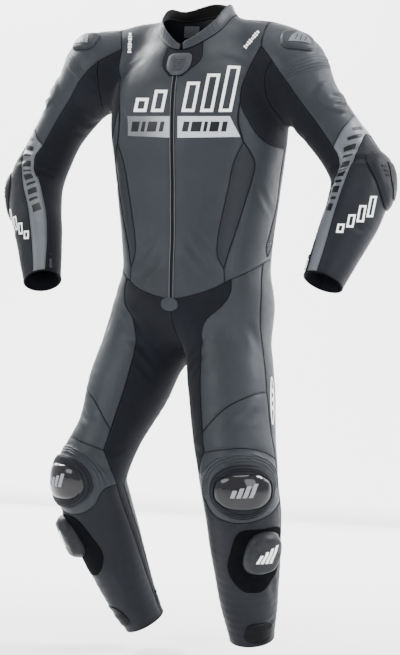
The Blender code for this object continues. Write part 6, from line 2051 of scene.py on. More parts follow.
def other_arm(loop):
    """Nearly the same places on the right arm as on the left one."""
    run, turn = ARMS["L"].place(loop)
    share = SLEEVE_END["R"] / SLEEVE_END["L"]
    return settle(np.array([ARMS["R"].at(r * share + OTHER_ARM[0], t + OTHER_ARM[1])
                            for r, t in zip(run, turn)]))


def forearm_marks():
    for number, bar in enumerate(FOREARM_BARS):
        outer = traced(bar_corners(bar))
        inner = traced(bar_corners(bar, FOREARM_STROKE), FOREARM_TRACE)
        add_print("forearm_bar_L%d" % number, "forearm_L", outer, "white_print", inner)
        add_print("forearm_bar_R%d" % number, "forearm_R", other_arm(outer), "white_print",
                  other_arm(inner))


# Dark marks along the sleeve band: share of the run from and to, across the band from and to.
BandMark = namedtuple("BandMark", "start stop inner outer")
BAND_MARKS = [
    BandMark(0.345, 0.358, 0.62, 0.92), BandMark(0.371, 0.386, 0.40, 0.84),
    BandMark(0.402, 0.420, 0.26, 0.76), BandMark(0.436, 0.446, 0.24, 0.74),
    BandMark(0.462, 0.492, 0.24, 0.74), BandMark(0.508, 0.518, 0.24, 0.74),
    BandMark(0.536, 0.572, 0.24, 0.76), BandMark(0.590, 0.602, 0.24, 0.76),
    BandMark(0.622, 0.650, 0.24, 0.76), BandMark(0.672, 0.686, 0.26, 0.76),
    BandMark(0.708, 0.740, 0.26, 0.74),
]
MARK_SLANT = 0.012
MARK_SHARES = (0.0, 0.34, 0.67)         # places along each of a mark's edges
BAND_OUTER_TOP = (0.300, 100.0)


def band_place(side, share, across):
    """Point of the sleeve band: across is 0 on its inner seam and 1 on its outer one."""
    inner = [BAND_CORNER] + BAND_INNER[side]
    outer = [BAND_OUTER_TOP] + BAND_FOOT[side]
    low = np.interp(share, [row[0] for row in inner], [row[1] for row in inner])
    high = np.interp(share, [row[0] for row in outer], [row[1] for row in outer])
    return arm_point((share, low + (high - low) * across), side)


def band_marks():
    for side in SIDES:
        for number, mark in enumerate(BAND_MARKS):
            corners = [(mark.start, mark.inner), (mark.start + MARK_SLANT, mark.outer),
                       (mark.stop + MARK_SLANT, mark.outer), (mark.stop, mark.inner)]
            loop = []
            for (s0, a0), (s1, a1) in zip(corners, corners[1:] + corners[:1]):
                for t in MARK_SHARES:
                    loop.append(band_place(side, s0 + (s1 - s0) * t, a0 + (a1 - a0) * t))
            add_print("band_mark_%s%d" % (side, number), "sleeve_band_" + side,
                      settle(np.array(loop)), "black_print")


# Marks on padded pieces, in shares of their half sizes.
CUP_INSERT = [(-0.60, -0.50), (-0.42, 0.10), (-0.12, 0.58), (0.18, 0.62), (0.48, 0.20),
              (0.66, -0.26), (0.55, -0.50)]
CUP_GROOVES = [(-0.28, -0.14), (-0.02, 0.10), (0.24, 0.35)]
GROOVE_LEVELS = (-0.36, 0.24)
ELBOW_PLATE = [(-0.18, 0.58), (0.46, 0.58), (0.66, 0.0), (0.46, -0.58), (-0.18, -0.58),
               (-0.32, 0.0)]
ELBOW_RIBS = [(0.10, 0.17), (0.24, 0.31), (0.38, 0.45)]
PAD_BARS = [(-0.46, 0.14), (-0.26, 0.26), (-0.06, 0.38), (0.14, 0.50)]
PAD_BAR_WIDTH = 0.14
PAD_BAR_FOOT = -0.26
PAD_BAR_SLANT = 0.24
INSERT_HEIGHT = 0.0012
GROOVE_HEIGHT = 0.0002
GROOVE_WIDTH = 0.05
PLATE_HEIGHT = 0.0018
ELBOW_RIB_ENDS = (-0.58, -0.40)
ELBOW_RIB_HEIGHT = 0.0012
INSIDE_PAD = 0.02                       # how far inside the body rays to a pad start


def on_pad(pad, corners, step=0.14):
    """Straight-sided loop on the surface under a pad, from shares of its half sizes."""
    corners = np.array(corners, float)
    dense = []
    for start, stop in zip(corners, np.roll(corners, -1, axis=0)):
        count = max(1, round(float(np.hypot(*(stop - start))) / step))
        dense += [start + (stop - start) * i / count for i in range(count)]
    dense = np.array(dense)
    narrow = 1 - pad.sharpness * np.clip(-dense[:, 1], 0, 1) ** 2
    flat = dense * pad.half * np.stack([narrow, np.ones(len(narrow))], -1)
    turn = np.array([[np.cos(pad.tilt), np.sin(pad.tilt)],
                     [-np.sin(pad.tilt), np.cos(pad.tilt)]])
    flat = flat @ turn
    origins = pad.centre + flat[:, :1] * pad.chart.across + flat[:, 1:] * pad.chart.upward
    origins = origins - pad.chart.outward * INSIDE_PAD
    outward = np.broadcast_to(pad.chart.outward, origins.shape)
    return settle_along(origins, outward, np.zeros(len(flat)))


def mirrored_corners(corners, side):
    return [(x * SIDES[side], y) for x, y in corners]


def pad_marks():
    for side in SIDES:
        arm, leg = sleeve_pads(side), leg_pads(side)
        sleeve, forearm = "sleeve_top_" + side, "forearm_" + side
        cup, elbow = "shoulder_cup_" + side, "elbow_guard_" + side
        insert = mirrored_corners(CUP_INSERT, side)
        add_print("cup_insert_" + side, sleeve, on_pad(arm["cup"], insert), "silver_leather",
                  height=INSERT_HEIGHT, on=cup)
        for number, (left, right) in enumerate(CUP_GROOVES):
            low, high = GROOVE_LEVELS
            groove = mirrored_corners([(left, low), (left + GROOVE_WIDTH, low),
                                       (right + GROOVE_WIDTH, high), (right, high)], side)
            add_print("cup_groove_%s%d" % (side, number), sleeve, on_pad(arm["cup"], groove),
                      "black_print", base=PRINT_BASE + INSERT_HEIGHT, height=GROOVE_HEIGHT,
                      on=cup)
        plate = mirrored_corners(ELBOW_PLATE, side)
        add_print("elbow_plate_" + side, forearm, on_pad(arm["elbow"], plate), "black_leather",
                  height=PLATE_HEIGHT, on=elbow)
        for number, (low, high) in enumerate(ELBOW_RIBS):
            near, far = ELBOW_RIB_ENDS
            rib = mirrored_corners([(near, low), (far, low), (far, high), (near, high)], side)
            add_print("elbow_rib_%s%d" % (side, number), forearm, on_pad(arm["elbow"], rib),
                      "black_leather", height=ELBOW_RIB_HEIGHT, on=elbow)
        for place, carrier, under, finish in (("cup", "knee_cup_", "knee_", "grey_print"),
                                              ("puck", "knee_slider_", "shank_", "white_print")):
            for number, (left, high) in enumerate(PAD_BARS):
                slant = PAD_BAR_SLANT * (high - PAD_BAR_FOOT)
                bar = [(left, PAD_BAR_FOOT), (left + PAD_BAR_WIDTH, PAD_BAR_FOOT),
                       (left + PAD_BAR_WIDTH + slant, high), (left + slant, high)]
                add_print("%s_bar_%s%d" % (place, side, number), under + side,
                          on_pad(leg[place], bar), finish, on=carrier + side)


BADGE_RIM = [(-0.56, 0.46), (0.56, 0.46), (0.34, -0.58), (-0.34, -0.58)]
BADGE_HOLE = [(-0.46, 0.36), (0.46, 0.36), (0.27, -0.47), (-0.27, -0.47)]
BADGE_BARS = [(0.20, 0.30), (0.00, 0.22), (-0.20, 0.15)]     # place and half width
BADGE_BAR_HALF = 0.055
BADGE_RIM_HEIGHT = 0.0009
BADGE_BAR_HEIGHT = 0.0007


def badge_marks():
    badge = badge_pad()
    add_print("badge_rim", "throat", on_pad(badge, BADGE_RIM), "rubber",
              on_pad(badge, BADGE_HOLE), height=BADGE_RIM_HEIGHT, on="zip_badge")
    for number, (level, wide) in enumerate(BADGE_BARS):
        low, high = level - BADGE_BAR_HALF, level + BADGE_BAR_HALF
        bar = [(-wide, low), (wide, low), (wide, high), (-wide, high)]
        add_print("badge_bar_%d" % number, "throat", on_pad(badge, bar), "rubber",
                  height=BADGE_BAR_HEIGHT, on="zip_badge")


# Outlined oval on the outside of each hip: run and turn on the leg, half sizes.
HIP_PLACE = (0.218, 94.0)
HIP_HALF = (6.5, 0.054)                 # degrees of turn, metres of run
HIP_STROKE = 0.0042
HIP_RADIUS = 0.09                       # of the leg there, to turn metres into degrees
HIP_POINTS = 28
HIP_BAR_SLANT = (0.7, 1.3)              # of a bar's half height, at its two ends
HIP_BARS = (-0.42, -0.06, 0.30)
HIP_BAR_HALF = (1.9, 0.0042)            # degrees of turn, metres of run


def oval(side, inset):
    run, turn = HIP_PLACE
    wide = HIP_HALF[0] - np.degrees(inset / HIP_RADIUS)
    tall = HIP_HALF[1] - inset
    angles = np.linspace(0, 2 * np.pi, HIP_POINTS, endpoint=False)
    places = [(run + tall * np.sin(a), turn + wide * np.cos(a)) for a in angles]
    return settle(np.array([leg_point(place, side) for place in places]))


def hip_marks():
    for side in SIDES:
        add_print("hip_oval_" + side, "seat_" + side, oval(side, 0.0), "white_print",
                  oval(side, HIP_STROKE))
        for number, share in enumerate(HIP_BARS):
            run, turn = HIP_PLACE
            wide, tall = HIP_BAR_HALF
            middle = run + HIP_HALF[1] * share
            short, long = HIP_BAR_SLANT
            places = [(middle - tall * long, turn - wide), (middle - tall * short, turn + wide),
                      (middle + tall * long, turn + wide), (middle + tall * short, turn - wide)]
            loop = settle(np.array([leg_point(place, side) for place in places]))
            add_print("hip_bar_%s%d" % (side, number), "seat_" + side, loop, "white_print")


chest_marks()
forearm_marks()
band_marks()
pad_marks()
badge_marks()
hip_marks()


# ---------------------------------------------------------------- creases
# Troughs with soft ridges beside them: where they run, how wide and how deep.
Fold = namedtuple("Fold", "limb places width depth")
TRUNK_FOLDS = [
    Fold("L", [(-0.425, 22.0), (-0.455, 30.0), (-0.500, 44.0)], 0.0085, 0.0020),
    Fold("L", [(-0.452, 13.0), (-0.480, 22.0), (-0.530, 38.0)], 0.0075, 0.0023),
    Fold("L", [(-0.486, 9.0), (-0.512, 20.0), (-0.548, 33.0)], 0.0090, 0.0017),
    Fold("L", [(-0.520, 12.0), (-0.548, 24.0)], 0.0070, 0.0012),
    Fold("R", [(-0.440, 16.0), (-0.470, 27.0), (-0.520, 46.0)], 0.0080, 0.0016),
    Fold("R", [(-0.490, 12.0), (-0.515, 24.0), (-0.545, 38.0)], 0.0090, 0.0020),
    Fold("L", [(-0.330, 68.0), (-0.372, 80.0), (-0.396, 91.0)], 0.0085, 0.0013),
    Fold("R", [(-0.318, 66.0), (-0.352, 80.0), (-0.390, 92.0)], 0.0075, 0.0015),
    Fold("L", [(-0.150, 62.0), (-0.205, 50.0), (-0.246, 40.0)], 0.0110, 0.0012),
    Fold("R", [(-0.140, 60.0), (-0.188, 47.0), (-0.240, 36.0)], 0.0120, 0.0011),
    Fold("L", [(-0.060, 40.0), (-0.078, 58.0), (-0.120, 72.0)], 0.0100, 0.0010),
    Fold("R", [(-0.058, 44.0), (-0.086, 60.0), (-0.128, 74.0)], 0.0090, 0.0012),
    Fold("L", [(-0.452, 110.0), (-0.440, 140.0), (-0.452, 172.0)], 0.0090, 0.0020),
    Fold("R", [(-0.462, 108.0), (-0.448, 136.0), (-0.440, 168.0)], 0.0080, 0.0022),
    Fold("L", [(-0.410, 118.0), (-0.396, 148.0), (-0.408, 176.0)], 0.0100, 0.0013),
    Fold("R", [(-0.400, 122.0), (-0.412, 160.0)], 0.0085, 0.0015),
    Fold("L", [(-0.240, 112.0), (-0.190, 128.0), (-0.160, 150.0)], 0.0110, 0.0016),
    Fold("R", [(-0.250, 113.0), (-0.205, 130.0), (-0.150, 148.0)], 0.0100, 0.0018),
    Fold("L", [(-0.290, 116.0), (-0.262, 134.0), (-0.250, 152.0)], 0.0085, 0.0012),
    Fold("R", [(-0.300, 114.0), (-0.270, 140.0)], 0.0090, 0.0010),
]
ARM_FOLDS = [
    Fold("L", [(0.215, 4.0), (0.238, 26.0), (0.232, 52.0)], 0.0075, 0.0016),
    Fold("R", [(0.224, 2.0), (0.244, 24.0), (0.240, 50.0)], 0.0080, 0.0017),
    Fold("L", [(0.268, -6.0), (0.262, 20.0), (0.275, 48.0)], 0.0065, 0.0022),
    Fold("R", [(0.272, -8.0), (0.268, 18.0), (0.284, 44.0)], 0.0070, 0.0019),
    Fold("L", [(0.250, -58.0), (0.256, -30.0), (0.248, -4.0)], 0.0070, 0.0024),
    Fold("R", [(0.256, -60.0), (0.262, -34.0), (0.252, -6.0)], 0.0065, 0.0022),
    Fold("L", [(0.285, -64.0), (0.292, -36.0), (0.300, -10.0)], 0.0060, 0.0019),
    Fold("R", [(0.290, -62.0), (0.300, -30.0), (0.296, -8.0)], 0.0070, 0.0023),
    Fold("L", [(0.320, -70.0), (0.324, -42.0), (0.340, -20.0)], 0.0075, 0.0013),
    Fold("R", [(0.330, -66.0), (0.336, -40.0)], 0.0070, 0.0012),
    Fold("L", [(0.103, 54.0), (0.116, 68.0), (0.124, 84.0)], 0.0060, 0.0022),
    Fold("L", [(0.124, 50.0), (0.134, 66.0), (0.146, 82.0)], 0.0064, 0.0025),
    Fold("L", [(0.086, 72.0), (0.098, 84.0), (0.104, 98.0)], 0.0060, 0.0017),
    Fold("L", [(0.150, 56.0), (0.160, 72.0), (0.176, 84.0)], 0.0070, 0.0014),
    Fold("R", [(0.106, 46.0), (0.120, 62.0), (0.126, 80.0)], 0.0060, 0.0020),
    Fold("R", [(0.130, 44.0), (0.142, 60.0), (0.156, 76.0)], 0.0066, 0.0022),
    Fold("R", [(0.090, 66.0), (0.104, 84.0)], 0.0060, 0.0015),
    Fold("L", [(0.170, 110.0), (0.205, 96.0), (0.238, 92.0)], 0.0085, 0.0012),
    Fold("R", [(0.178, 112.0), (0.214, 98.0), (0.246, 88.0)], 0.0080, 0.0014),
    Fold("L", [(0.185, 150.0), (0.222, 138.0), (0.262, 142.0)], 0.0090, 0.0015),
    Fold("R", [(0.190, 148.0), (0.230, 140.0), (0.268, 146.0)], 0.0085, 0.0013),
    Fold("L", [(0.400, 74.0), (0.425, 50.0), (0.432, 26.0)], 0.0080, 0.0010),
    Fold("R", [(0.412, 70.0), (0.438, 48.0), (0.446, 24.0)], 0.0075, 0.0011),
    Fold("L", [(0.470, 150.0), (0.446, 170.0), (0.450, 196.0)], 0.0080, 0.0013),
    Fold("R", [(0.484, 152.0), (0.462, 172.0), (0.470, 194.0)], 0.0085, 0.0012),
    Fold("L", [(0.080, -40.0), (0.100, -70.0), (0.092, -104.0)], 0.0080, 0.0020),
    Fold("R", [(0.088, -44.0), (0.108, -72.0), (0.096, -100.0)], 0.0085, 0.0018),
    Fold("L", [(0.130, -48.0), (0.142, -80.0)], 0.0075, 0.0014),
    Fold("R", [(0.136, -46.0), (0.150, -82.0)], 0.0070, 0.0016),
]
LEG_FOLDS = [
    Fold("L", [(0.070, -24.0), (0.052, 2.0), (0.040, 26.0)], 0.0085, 0.0020),
    Fold("R", [(0.078, -20.0), (0.060, 4.0), (0.046, 30.0)], 0.0080, 0.0018),
    Fold("L", [(0.112, -40.0), (0.090, -12.0), (0.076, 14.0)], 0.0075, 0.0023),
    Fold("R", [(0.120, -44.0), (0.098, -14.0), (0.086, 12.0)], 0.0085, 0.0021),
    Fold("L", [(0.150, -52.0), (0.128, -26.0), (0.118, -4.0)], 0.0080, 0.0016),
    Fold("R", [(0.158, -54.0), (0.140, -30.0), (0.124, -8.0)], 0.0075, 0.0017),
    Fold("L", [(0.060, 52.0), (0.092, 66.0), (0.130, 72.0)], 0.0110, 0.0012),
    Fold("R", [(0.066, 50.0), (0.104, 62.0), (0.140, 70.0)], 0.0100, 0.0013),
    Fold("L", [(0.252, 66.0), (0.276, 40.0), (0.290, 10.0)], 0.0100, 0.0012),
    Fold("R", [(0.258, 62.0), (0.280, 34.0), (0.288, 6.0)], 0.0090, 0.0014),
    Fold("L", [(0.300, -60.0), (0.316, -38.0), (0.320, -18.0)], 0.0075, 0.0017),
    Fold("R", [(0.304, -62.0), (0.320, -40.0), (0.318, -20.0)], 0.0080, 0.0015),
    Fold("L", [(0.366, 118.0), (0.376, 150.0), (0.370, 186.0), (0.378, 222.0)], 0.0080, 0.0024),
    Fold("R", [(0.370, 116.0), (0.382, 148.0), (0.376, 184.0), (0.384, 220.0)], 0.0085, 0.0022),
    Fold("L", [(0.336, 124.0), (0.342, 164.0), (0.334, 208.0)], 0.0070, 0.0017),
    Fold("R", [(0.342, 126.0), (0.346, 170.0), (0.340, 204.0)], 0.0075, 0.0019),
    Fold("L", [(0.420, 122.0), (0.412, 160.0), (0.424, 198.0)], 0.0075, 0.0016),
    Fold("R", [(0.426, 120.0), (0.420, 158.0), (0.430, 196.0)], 0.0070, 0.0018),
    Fold("L", [(0.110, 124.0), (0.090, 156.0), (0.100, 190.0)], 0.0110, 0.0015),
    Fold("R", [(0.118, 122.0), (0.096, 154.0), (0.108, 186.0)], 0.0100, 0.0017),
    Fold("L", [(0.560, 70.0), (0.610, 76.0), (0.660, 88.0)], 0.0090, 0.0010),
    Fold("R", [(0.570, -36.0), (0.620, -28.0), (0.668, -34.0)], 0.0085, 0.0011),
    Fold("L", [(0.690, 96.0), (0.700, 60.0), (0.694, 20.0)], 0.0080, 0.0012),
    Fold("R", [(0.698, 92.0), (0.708, 54.0), (0.700, 16.0)], 0.0085, 0.0011),
]
FOLD_STRENGTH = 1.45
FOLD_STEPS = 8


def add_creases(folds, place):
    for fold in folds:
        rows = np.array(curve_through(fold.places, FOLD_STEPS))
        points = settle(np.array([place(fold.limb, row) for row in rows]))
        CREASES.append((points, fold.width, fold.depth * FOLD_STRENGTH))


# ---------------------------------------------------------------- sewing
STITCH_LENGTH = 0.0026
STITCH_PITCH = 0.0042
STITCH_ASIDE = 0.0030
STITCH_RADIUS = 0.00035
CORD_RADIUS = 0.0008
CORD_SINK = 0.0006
SIDES_ROUND = 6


def even_line(points, pitch, closed=False):
    """Points along a line at an even pitch, and the way the line runs there."""
    points = np.asarray(points)
    if closed:
        points = np.vstack([points, points[:1]])
    steps = np.linalg.norm(np.diff(points, axis=0), axis=1)
    run = np.concatenate([[0.0], np.cumsum(steps)])
    count = max(2, round(run[-1] / pitch))
    places = np.linspace(0, run[-1], count, endpoint=not closed)
    line = np.stack([np.interp(places, run, points[:, i]) for i in range(3)], -1)
    following = np.roll(line, -1, axis=0) if closed else np.vstack([line[1:], line[-1:]])
    before = np.roll(line, 1, axis=0) if closed else np.vstack([line[:1], line[:-1]])
    return line, unit(following - before)


def tube(points, radius, lift, closed=False, pitch=0.004):
    """Round cord along a line on the suit: vertices and faces."""
    line, ahead = even_line(points, pitch, closed)
    line = settle(line, 2)
    normal = body_normal(line)
    across = unit(np.cross(normal, ahead))
    centre = line + normal * lift(line)[:, None]
    angles = np.linspace(0, 2 * np.pi, SIDES_ROUND, endpoint=False)
    rings = centre[:, None] + radius * (np.cos(angles)[None, :, None] * across[:, None]
                                        + np.sin(angles)[None, :, None] * normal[:, None])
    count = len(line)
    index = np.arange(count * SIDES_ROUND).reshape(count, SIDES_ROUND)
    after = np.roll(index, -1, axis=0) if closed else index[1:]
    first = index if closed else index[:-1]
    faces = np.stack([first, after, np.roll(after, -1, axis=1),
                      np.roll(first, -1, axis=1)], -1).reshape(-1, 4).tolist()
    if not closed:
        faces += [index[0].tolist(), index[-1][::-1].tolist()]
    return rings.reshape(-1, 3), faces


class Gather:
    """Many small closed forms joined in one mesh."""

    def __init__(self):
        self.vertices, self.faces, self.count = [], [], 0

    def add(self, vertices, faces):
        self.vertices.append(vertices)
        self.faces += [[v + self.count for v in face] for face in faces]
        self.count += len(vertices)

    def build(self, name, finish, angle=40):
        if self.count:
            add_object(name, np.vstack(self.vertices), self.faces, finish, angle)


# Stations of a thread: share of its length, width and rise against its radius.
THREAD = [(-0.5, 0.35, -1.2), (-0.30, 1.0, 0.0), (0.30, 1.0, 0.0), (0.5, 0.35, -1.2)]
THREAD_CORNERS = [(1, 0), (0, 1), (-1, 0), (0, -1)]


def stitch_forms(centres, ahead, normal, length=STITCH_LENGTH, radius=STITCH_RADIUS):
    """Short rounded threads, each sunk at its ends."""
    across = np.cross(normal, ahead)
    rings = []
    for along, wide, rise in THREAD:
        for side, up in THREAD_CORNERS:
            rings.append(centres + ahead * along * length
                         + across * side * wide * radius + normal * (up * wide + rise) * radius)
    vertices = np.stack(rings, 1)
    base, round_it, size = [], len(THREAD_CORNERS), len(rings)
    for ring in range(len(THREAD) - 1):
        for i in range(round_it):
            a, b = ring * round_it + i, ring * round_it + (i + 1) % round_it
            base.append((a, b, b + round_it, a + round_it))
    base += [tuple(range(round_it))[::-1], tuple(range(size - round_it, size))]
    faces = (np.array(base)[None] + size * np.arange(len(centres))[:, None, None]).reshape(-1, 4)
    return vertices.reshape(-1, 3), faces.tolist()


def stitch_rows(points, asides, lift, gather, closed=False):
    for aside in asides:
        line, ahead = even_line(points, STITCH_PITCH, closed)
        normal = body_normal(line)
        line = settle(line + np.cross(normal, ahead) * aside, 2)
        if not closed:
            line, ahead = line[1:-1], ahead[1:-1]
        normal = body_normal(line)
        ahead = unit(ahead - normal * (ahead * normal).sum(axis=1)[:, None])
        gather.add(*stitch_forms(line + normal * lift(line)[:, None], ahead, normal))


def over(lift):
    """Height of cloth above the body surface, with its creases."""
    return lambda points: lift + crease_shift(points) + soft_noise(points)


SEWN = {
    "trunk": ["ridge", "yoke", "yoke_back", "chest", "chest_low", "princess", "leaf_outer",
              "leaf_inner", "princess_low", "waist", "waist_short", "waist_outer", "strip_front",
              "strip_back", "waist_hip", "waist_back", "side_back"],
    "sleeves": ["armhole", "armhole_low", "armhole_back", "shoulder", "diagonal", "band_top",
                "band_end", "band_foot", "band_inner", "elbow_seam", "back_diagonal",
                "forearm_back"],
    "legs": ["groin", "groin_low", "slant", "side_top", "side_low", "knee_top", "knee_side",
             "knee_inner", "knee_low", "strip_head", "strip_fore", "strip_rear", "knee_back",
             "calf_side", "thigh_back"],
}
BIB_SEAMS = ["bib_L", "bib_R", "bib_foot_L", "bib_foot_R"]
WIDE_SEAMS = {"princess": 0.0014, "leaf_outer": 0.0011, "armhole": 0.0012, "yoke": 0.0011,
              "groin": 0.0011, "slant": 0.0010}
TOOTH_LENGTH = 0.0032
TOOTH_PITCH = 0.0026
TOOTH_RADIUS = 0.0007
PIPE_RADIUS = 0.0012
BIND_RADIUS = 0.0019
NECK_ROLL = 0.0024
NECK_ROLL_SINK = 0.3                    # share of its radius
NECK_STEPS = 90
STITCH_SINK = 0.0001
TOOTH_ASIDE = 0.0007
TOOTH_LIFT = 0.0003
PIPE_LIFT = 0.0004
COLLAR_CORD_LIFT = 0.0002
RING_CORD_RADIUS = 0.0007
RING_POINTS = 30
RING_LINES = [0.93, 0.84, 0.76]
RING_STITCHES = [0.97, 0.885, 0.80]


def build_sewing():
    for zone, names in SEWN.items():
        cords, stitches = Gather(), Gather()
        lines = [(name, SEAMS[name + "_" + side]) for side in SIDES for name in names]
        if zone == "trunk":
            lines += [(name, SEAMS[name]) for name in BIB_SEAMS]
        if zone == "legs":
            lines += [("rise", SEAMS["rise_front"]), ("rise", SEAMS["rise_back"])]
        for name, line in lines:
            radius = WIDE_SEAMS.get(name, CORD_RADIUS)
            cords.add(*tube(line, radius, over(WALL / 2 - CORD_SINK)))
            stitch_rows(line, (-STITCH_ASIDE, STITCH_ASIDE), over(WALL / 2 - STITCH_SINK),
                        stitches)
        cords.build("piece_cords_" + zone, "black_leather", 0)
        stitches.build("piece_stitches_" + zone, "thread", 0)


def build_zip_teeth():
    teeth, pipes = Gather(), Gather()
    left, right = SEAMS["zip_L"], SEAMS["zip_R"]
    rows = []
    for line in (left, right):
        line = line if line[0][2] > line[-1][2] else line[::-1]
        rows.append(even_line(line, TOOTH_PITCH)[0])
        pipes.add(*tube(line, PIPE_RADIUS, over(WALL / 2 + PIPE_LIFT)))
    count = min(len(rows[0]), len(rows[1]))
    middle = (rows[0][:count] + rows[1][:count]) / 2
    middle = settle(middle[2:-2], 3)
    ahead = unit(np.roll(middle, -1, axis=0) - middle)
    ahead[-1] = ahead[-2]
    normal = body_normal(middle)
    across = unit(np.cross(normal, ahead))
    sign = np.where(np.arange(len(middle)) % 2, 1.0, -1.0)[:, None]
    rise = over(WALL / 2 + TOOTH_LIFT)(middle)
    centres = middle + across * sign * TOOTH_ASIDE + normal * rise[:, None]
    teeth.add(*stitch_forms(centres, across, normal, TOOTH_LENGTH, TOOTH_RADIUS))
    teeth.build("piece_zip_teeth", "metal", 0)
    pipes.build("piece_zip_piping", "piping", 0)


def neck_seam():
    return np.array([neck_point(turn) for turn in collar_turns(NECK_STEPS)])


def build_neck_lining():
    """Soft roll inside the foot of the collar."""
    rolls = Gather()
    rolls.add(*tube(neck_seam(), NECK_ROLL, over(-WALL / 2 - NECK_ROLL * NECK_ROLL_SINK)))
    rolls.build("piece_neck_roll", "lining", 0)


COLLAR_STITCH_ROWS = (2, 4, 9)
COLLAR_STITCH_STEP = 3


def build_collar_sewing(sections):
    """Stitch rows round the collar and a cord along its foot."""
    stitches, cords = Gather(), Gather()
    half = len(COLLAR_ROWS)
    for row in COLLAR_STITCH_ROWS:
        outer = sections[:, row]
        inner = sections[:, half + 3 + (half - 1 - row)]
        ahead = unit(np.roll(outer, -1, axis=0) - outer)
        away = unit(outer - inner)
        away = unit(away - ahead * (away * ahead).sum(axis=1)[:, None])
        chosen = slice(COLLAR_STITCH_STEP, -COLLAR_STITCH_STEP, COLLAR_STITCH_STEP)
        stitches.add(*stitch_forms(outer[chosen], ahead[chosen], away[chosen]))
    cords.add(*tube(neck_seam(), CORD_RADIUS, over(WALL / 2 + COLLAR_CORD_LIFT)))
    stitches.build("piece_collar_stitches", "thread", 0)
    cords.build("piece_collar_cord", "black_leather", 0)


def build_bindings():
    for side in SIDES:
        ends = Gather()
        for parts in (["cuff_band_", "cuff_outer_", "cuff_under_"],
                      ["hem_strip_", "hem_front_", "hem_back_"]):
            loop = border([part + side for part in parts])
            ends.add(*tube(loop, BIND_RADIUS, over(0.0), True))
        ends.build("piece_bindings_" + side, "black_leather", 0)


def build_ring_lines():
    for side in SIDES:
        ring = leg_pads(side)["ring"]
        cords, stitches = Gather(), Gather()
        for scales, gather in ((RING_LINES, cords), (RING_STITCHES, stitches)):
            for scale in scales:
                rise = float(profile_height(RING_PROFILE, np.array([scale]))[0])
                high = over(WALL / 2 + GAP + rise)
                loop = ring.loop(scale, RING_POINTS)
                if gather is cords:
                    gather.add(*tube(loop, RING_CORD_RADIUS, high, True))
                else:
                    stitch_rows(loop, (0.0,), high, gather, True)
        cords.build("piece_ring_cords_" + side, "black_leather", 0)
        stitches.build("piece_ring_stitches_" + side, "thread", 0)


LABEL = [(184.5, 26.0), (199.5, 26.5), (199.0, 38.0), (184.0, 37.5)]
LABEL_GRID = (9, 8)
LABEL_BELOW = (0.0010, 0.0003)          # its two faces, under the inside of the cloth


def build_label():
    """Blank woven label on the inside of the back."""
    corners = np.array(LABEL)
    u, v = (np.linspace(0, 1, n) for n in LABEL_GRID)
    u, v = (a.reshape(-1, 1) for a in np.meshgrid(u, v))
    flat = (corners[0] * (1 - u) + corners[1] * u) * (1 - v) + (corners[3] * (1 - u)
                                                                + corners[2] * u) * v
    points = seen(flat, inside_out=True)
    wide, tall = LABEL_GRID
    index = np.arange(wide * tall).reshape(tall, wide)
    a, b, c, d = (part.reshape(-1) for part in (index[:-1, :-1], index[:-1, 1:], index[1:, 1:],
                                                index[1:, :-1]))
    triangles = np.concatenate([np.stack([a, b, c], -1), np.stack([a, c, d], -1)])
    normals = body_normal(points)
    facing = np.cross(points[triangles[0, 1]] - points[triangles[0, 0]],
                      points[triangles[0, 2]] - points[triangles[0, 0]]) @ normals[0]
    if facing < 0:
        triangles = triangles[:, ::-1]
    sheet = Sheet(points, normals, np.zeros(len(points)), triangles)
    low, high = (-WALL / 2 - below for below in LABEL_BELOW)
    shell("piece_label", sheet, low, high, "grey_print", 0.0)


# ---------------------------------------------------------------- dressing the suit
torso_seams()
armhole_seams()
sleeve_seams()
leg_seams()
add_creases(TRUNK_FOLDS, lambda side, row: trunk_point(tuple(row), side))
add_creases(ARM_FOLDS, lambda side, row: ARMS[side].at(*row))
add_creases(LEG_FOLDS, lambda side, row: LEGS[side].at(*row))
torso_panels()
armhole_panels()
sleeve_panels()
leg_panels()
collar_rows = build_collar()
build_tab()
build_pulls()
build_sewing()
build_zip_teeth()
build_bindings()
build_neck_lining()
build_collar_sewing(collar_rows)
build_ring_lines()
build_label()


# ---------------------------------------------------------------- floor, lights and camera
FLOOR = -1.372
FLOOR_COLOUR = (0.93, 0.93, 0.93)
# Steeper all the way up: a shelf would hide the suit from a camera behind it.
BACKDROP = [(-4.0, 0.0), (1.2, 0.0), (1.9, 0.10), (2.4, 0.45), (2.7, 1.0), (2.78, 1.8),
            (2.8, 5.0)]
BACKDROP_HALF = 9.0
BACKDROP_STEPS = 8
FLOOR_ROUGHNESS = 0.9
REAR_FLOOR = (1.2, 6.0)                 # flat, under the backdrop and behind it
REAR_DROP = 0.002


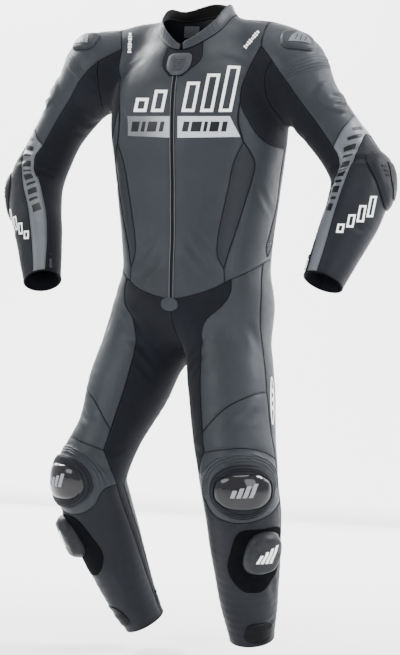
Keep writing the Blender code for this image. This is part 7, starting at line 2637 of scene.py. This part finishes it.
def build_floor():
    """Pale floor that curves up behind the suit, clear when seen from its rear."""
    rows = curve_through(BACKDROP, BACKDROP_STEPS)
    vertices = []
    for x in (-BACKDROP_HALF, BACKDROP_HALF):
        vertices += [(x, y, FLOOR + max(z, 0.0)) for y, z in rows]
    count = len(rows)
    faces = [(i, i + count, i + 1 + count, i + 1) for i in range(count - 1)]
    near, far = REAR_FLOOR
    faces.append(tuple(range(2 * count, 2 * count + 4)))
    vertices += [(x, y, FLOOR - REAR_DROP) for x, y in
                 ((-BACKDROP_HALF, near), (BACKDROP_HALF, near),
                  (BACKDROP_HALF, far), (-BACKDROP_HALF, far))]
    mesh = bpy.data.meshes.new("floor")
    mesh.from_pydata(vertices, [], faces)
    mesh.shade_smooth()
    material = bpy.data.materials.new("floor")
    material.use_nodes = True
    shader = material.node_tree.nodes["Principled BSDF"]
    shader.inputs["Base Color"].default_value = (*FLOOR_COLOUR, 1.0)
    shader.inputs["Roughness"].default_value = FLOOR_ROUGHNESS
    tree = material.node_tree
    side = tree.nodes.new("ShaderNodeNewGeometry")
    clear = tree.nodes.new("ShaderNodeBsdfTransparent")
    choice = tree.nodes.new("ShaderNodeMixShader")
    tree.links.new(side.outputs["Backfacing"], choice.inputs["Fac"])
    tree.links.new(shader.outputs["BSDF"], choice.inputs[1])
    tree.links.new(clear.outputs["BSDF"], choice.inputs[2])
    tree.links.new(choice.outputs["Shader"], tree.nodes["Material Output"].inputs["Surface"])
    mesh.materials.append(material)
    floor = bpy.data.objects.new("floor", mesh)
    bpy.context.scene.collection.objects.link(floor)


Lamp = namedtuple("Lamp", "name place size power aim")
SUIT = (0.0, 0.0, -0.65)
BEHIND = (0.0, 2.7, -0.5)
LAMPS = [
    Lamp("key", (-1.9, -3.2, 1.0), 2.4, 105.0, SUIT),
    Lamp("fill", (2.9, -2.2, 0.2), 2.0, 60.0, SUIT),
    Lamp("top", (0.3, -0.4, 2.2), 1.8, 50.0, SUIT),
    Lamp("rim", (-2.4, 1.4, 0.4), 1.2, 40.0, SUIT),
    Lamp("rim_left", (2.4, 1.6, 0.3), 1.2, 30.0, SUIT),
    Lamp("backdrop_right", (-2.6, 1.0, 1.7), 1.6, 260.0, BEHIND),
    Lamp("backdrop_left", (2.6, 1.0, 1.7), 1.6, 260.0, BEHIND),
]


def build_lights():
    for lamp in LAMPS:
        data = bpy.data.lights.new(lamp.name, "AREA")
        data.shape = "DISK"
        data.size = lamp.size
        data.energy = lamp.power
        thing = bpy.data.objects.new(lamp.name, data)
        thing.location = lamp.place
        aim = Vector(lamp.aim) - Vector(lamp.place)
        thing.rotation_euler = aim.to_track_quat("-Z", "Y").to_euler()
        bpy.context.scene.collection.objects.link(thing)
    world = bpy.data.worlds.new("studio")
    world.use_nodes = True
    world.node_tree.nodes["Background"].inputs["Color"].default_value = (1.0, 1.0, 1.0, 1.0)
    world.node_tree.nodes["Background"].inputs["Strength"].default_value = 1.0
    bpy.context.scene.world = world


def build_camera():
    data = bpy.data.cameras.new("camera")
    data.lens = CAMERA_LENS
    data.shift_x = CAMERA_SHIFT
    camera = bpy.data.objects.new("camera", data)
    camera.location = CAMERA_PLACE
    camera.rotation_euler = Vector(-CAMERA_AWAY).to_track_quat("-Z", "Y").to_euler()
    bpy.context.scene.collection.objects.link(camera)
    bpy.context.scene.camera = camera


build_floor()
build_lights()
build_camera()
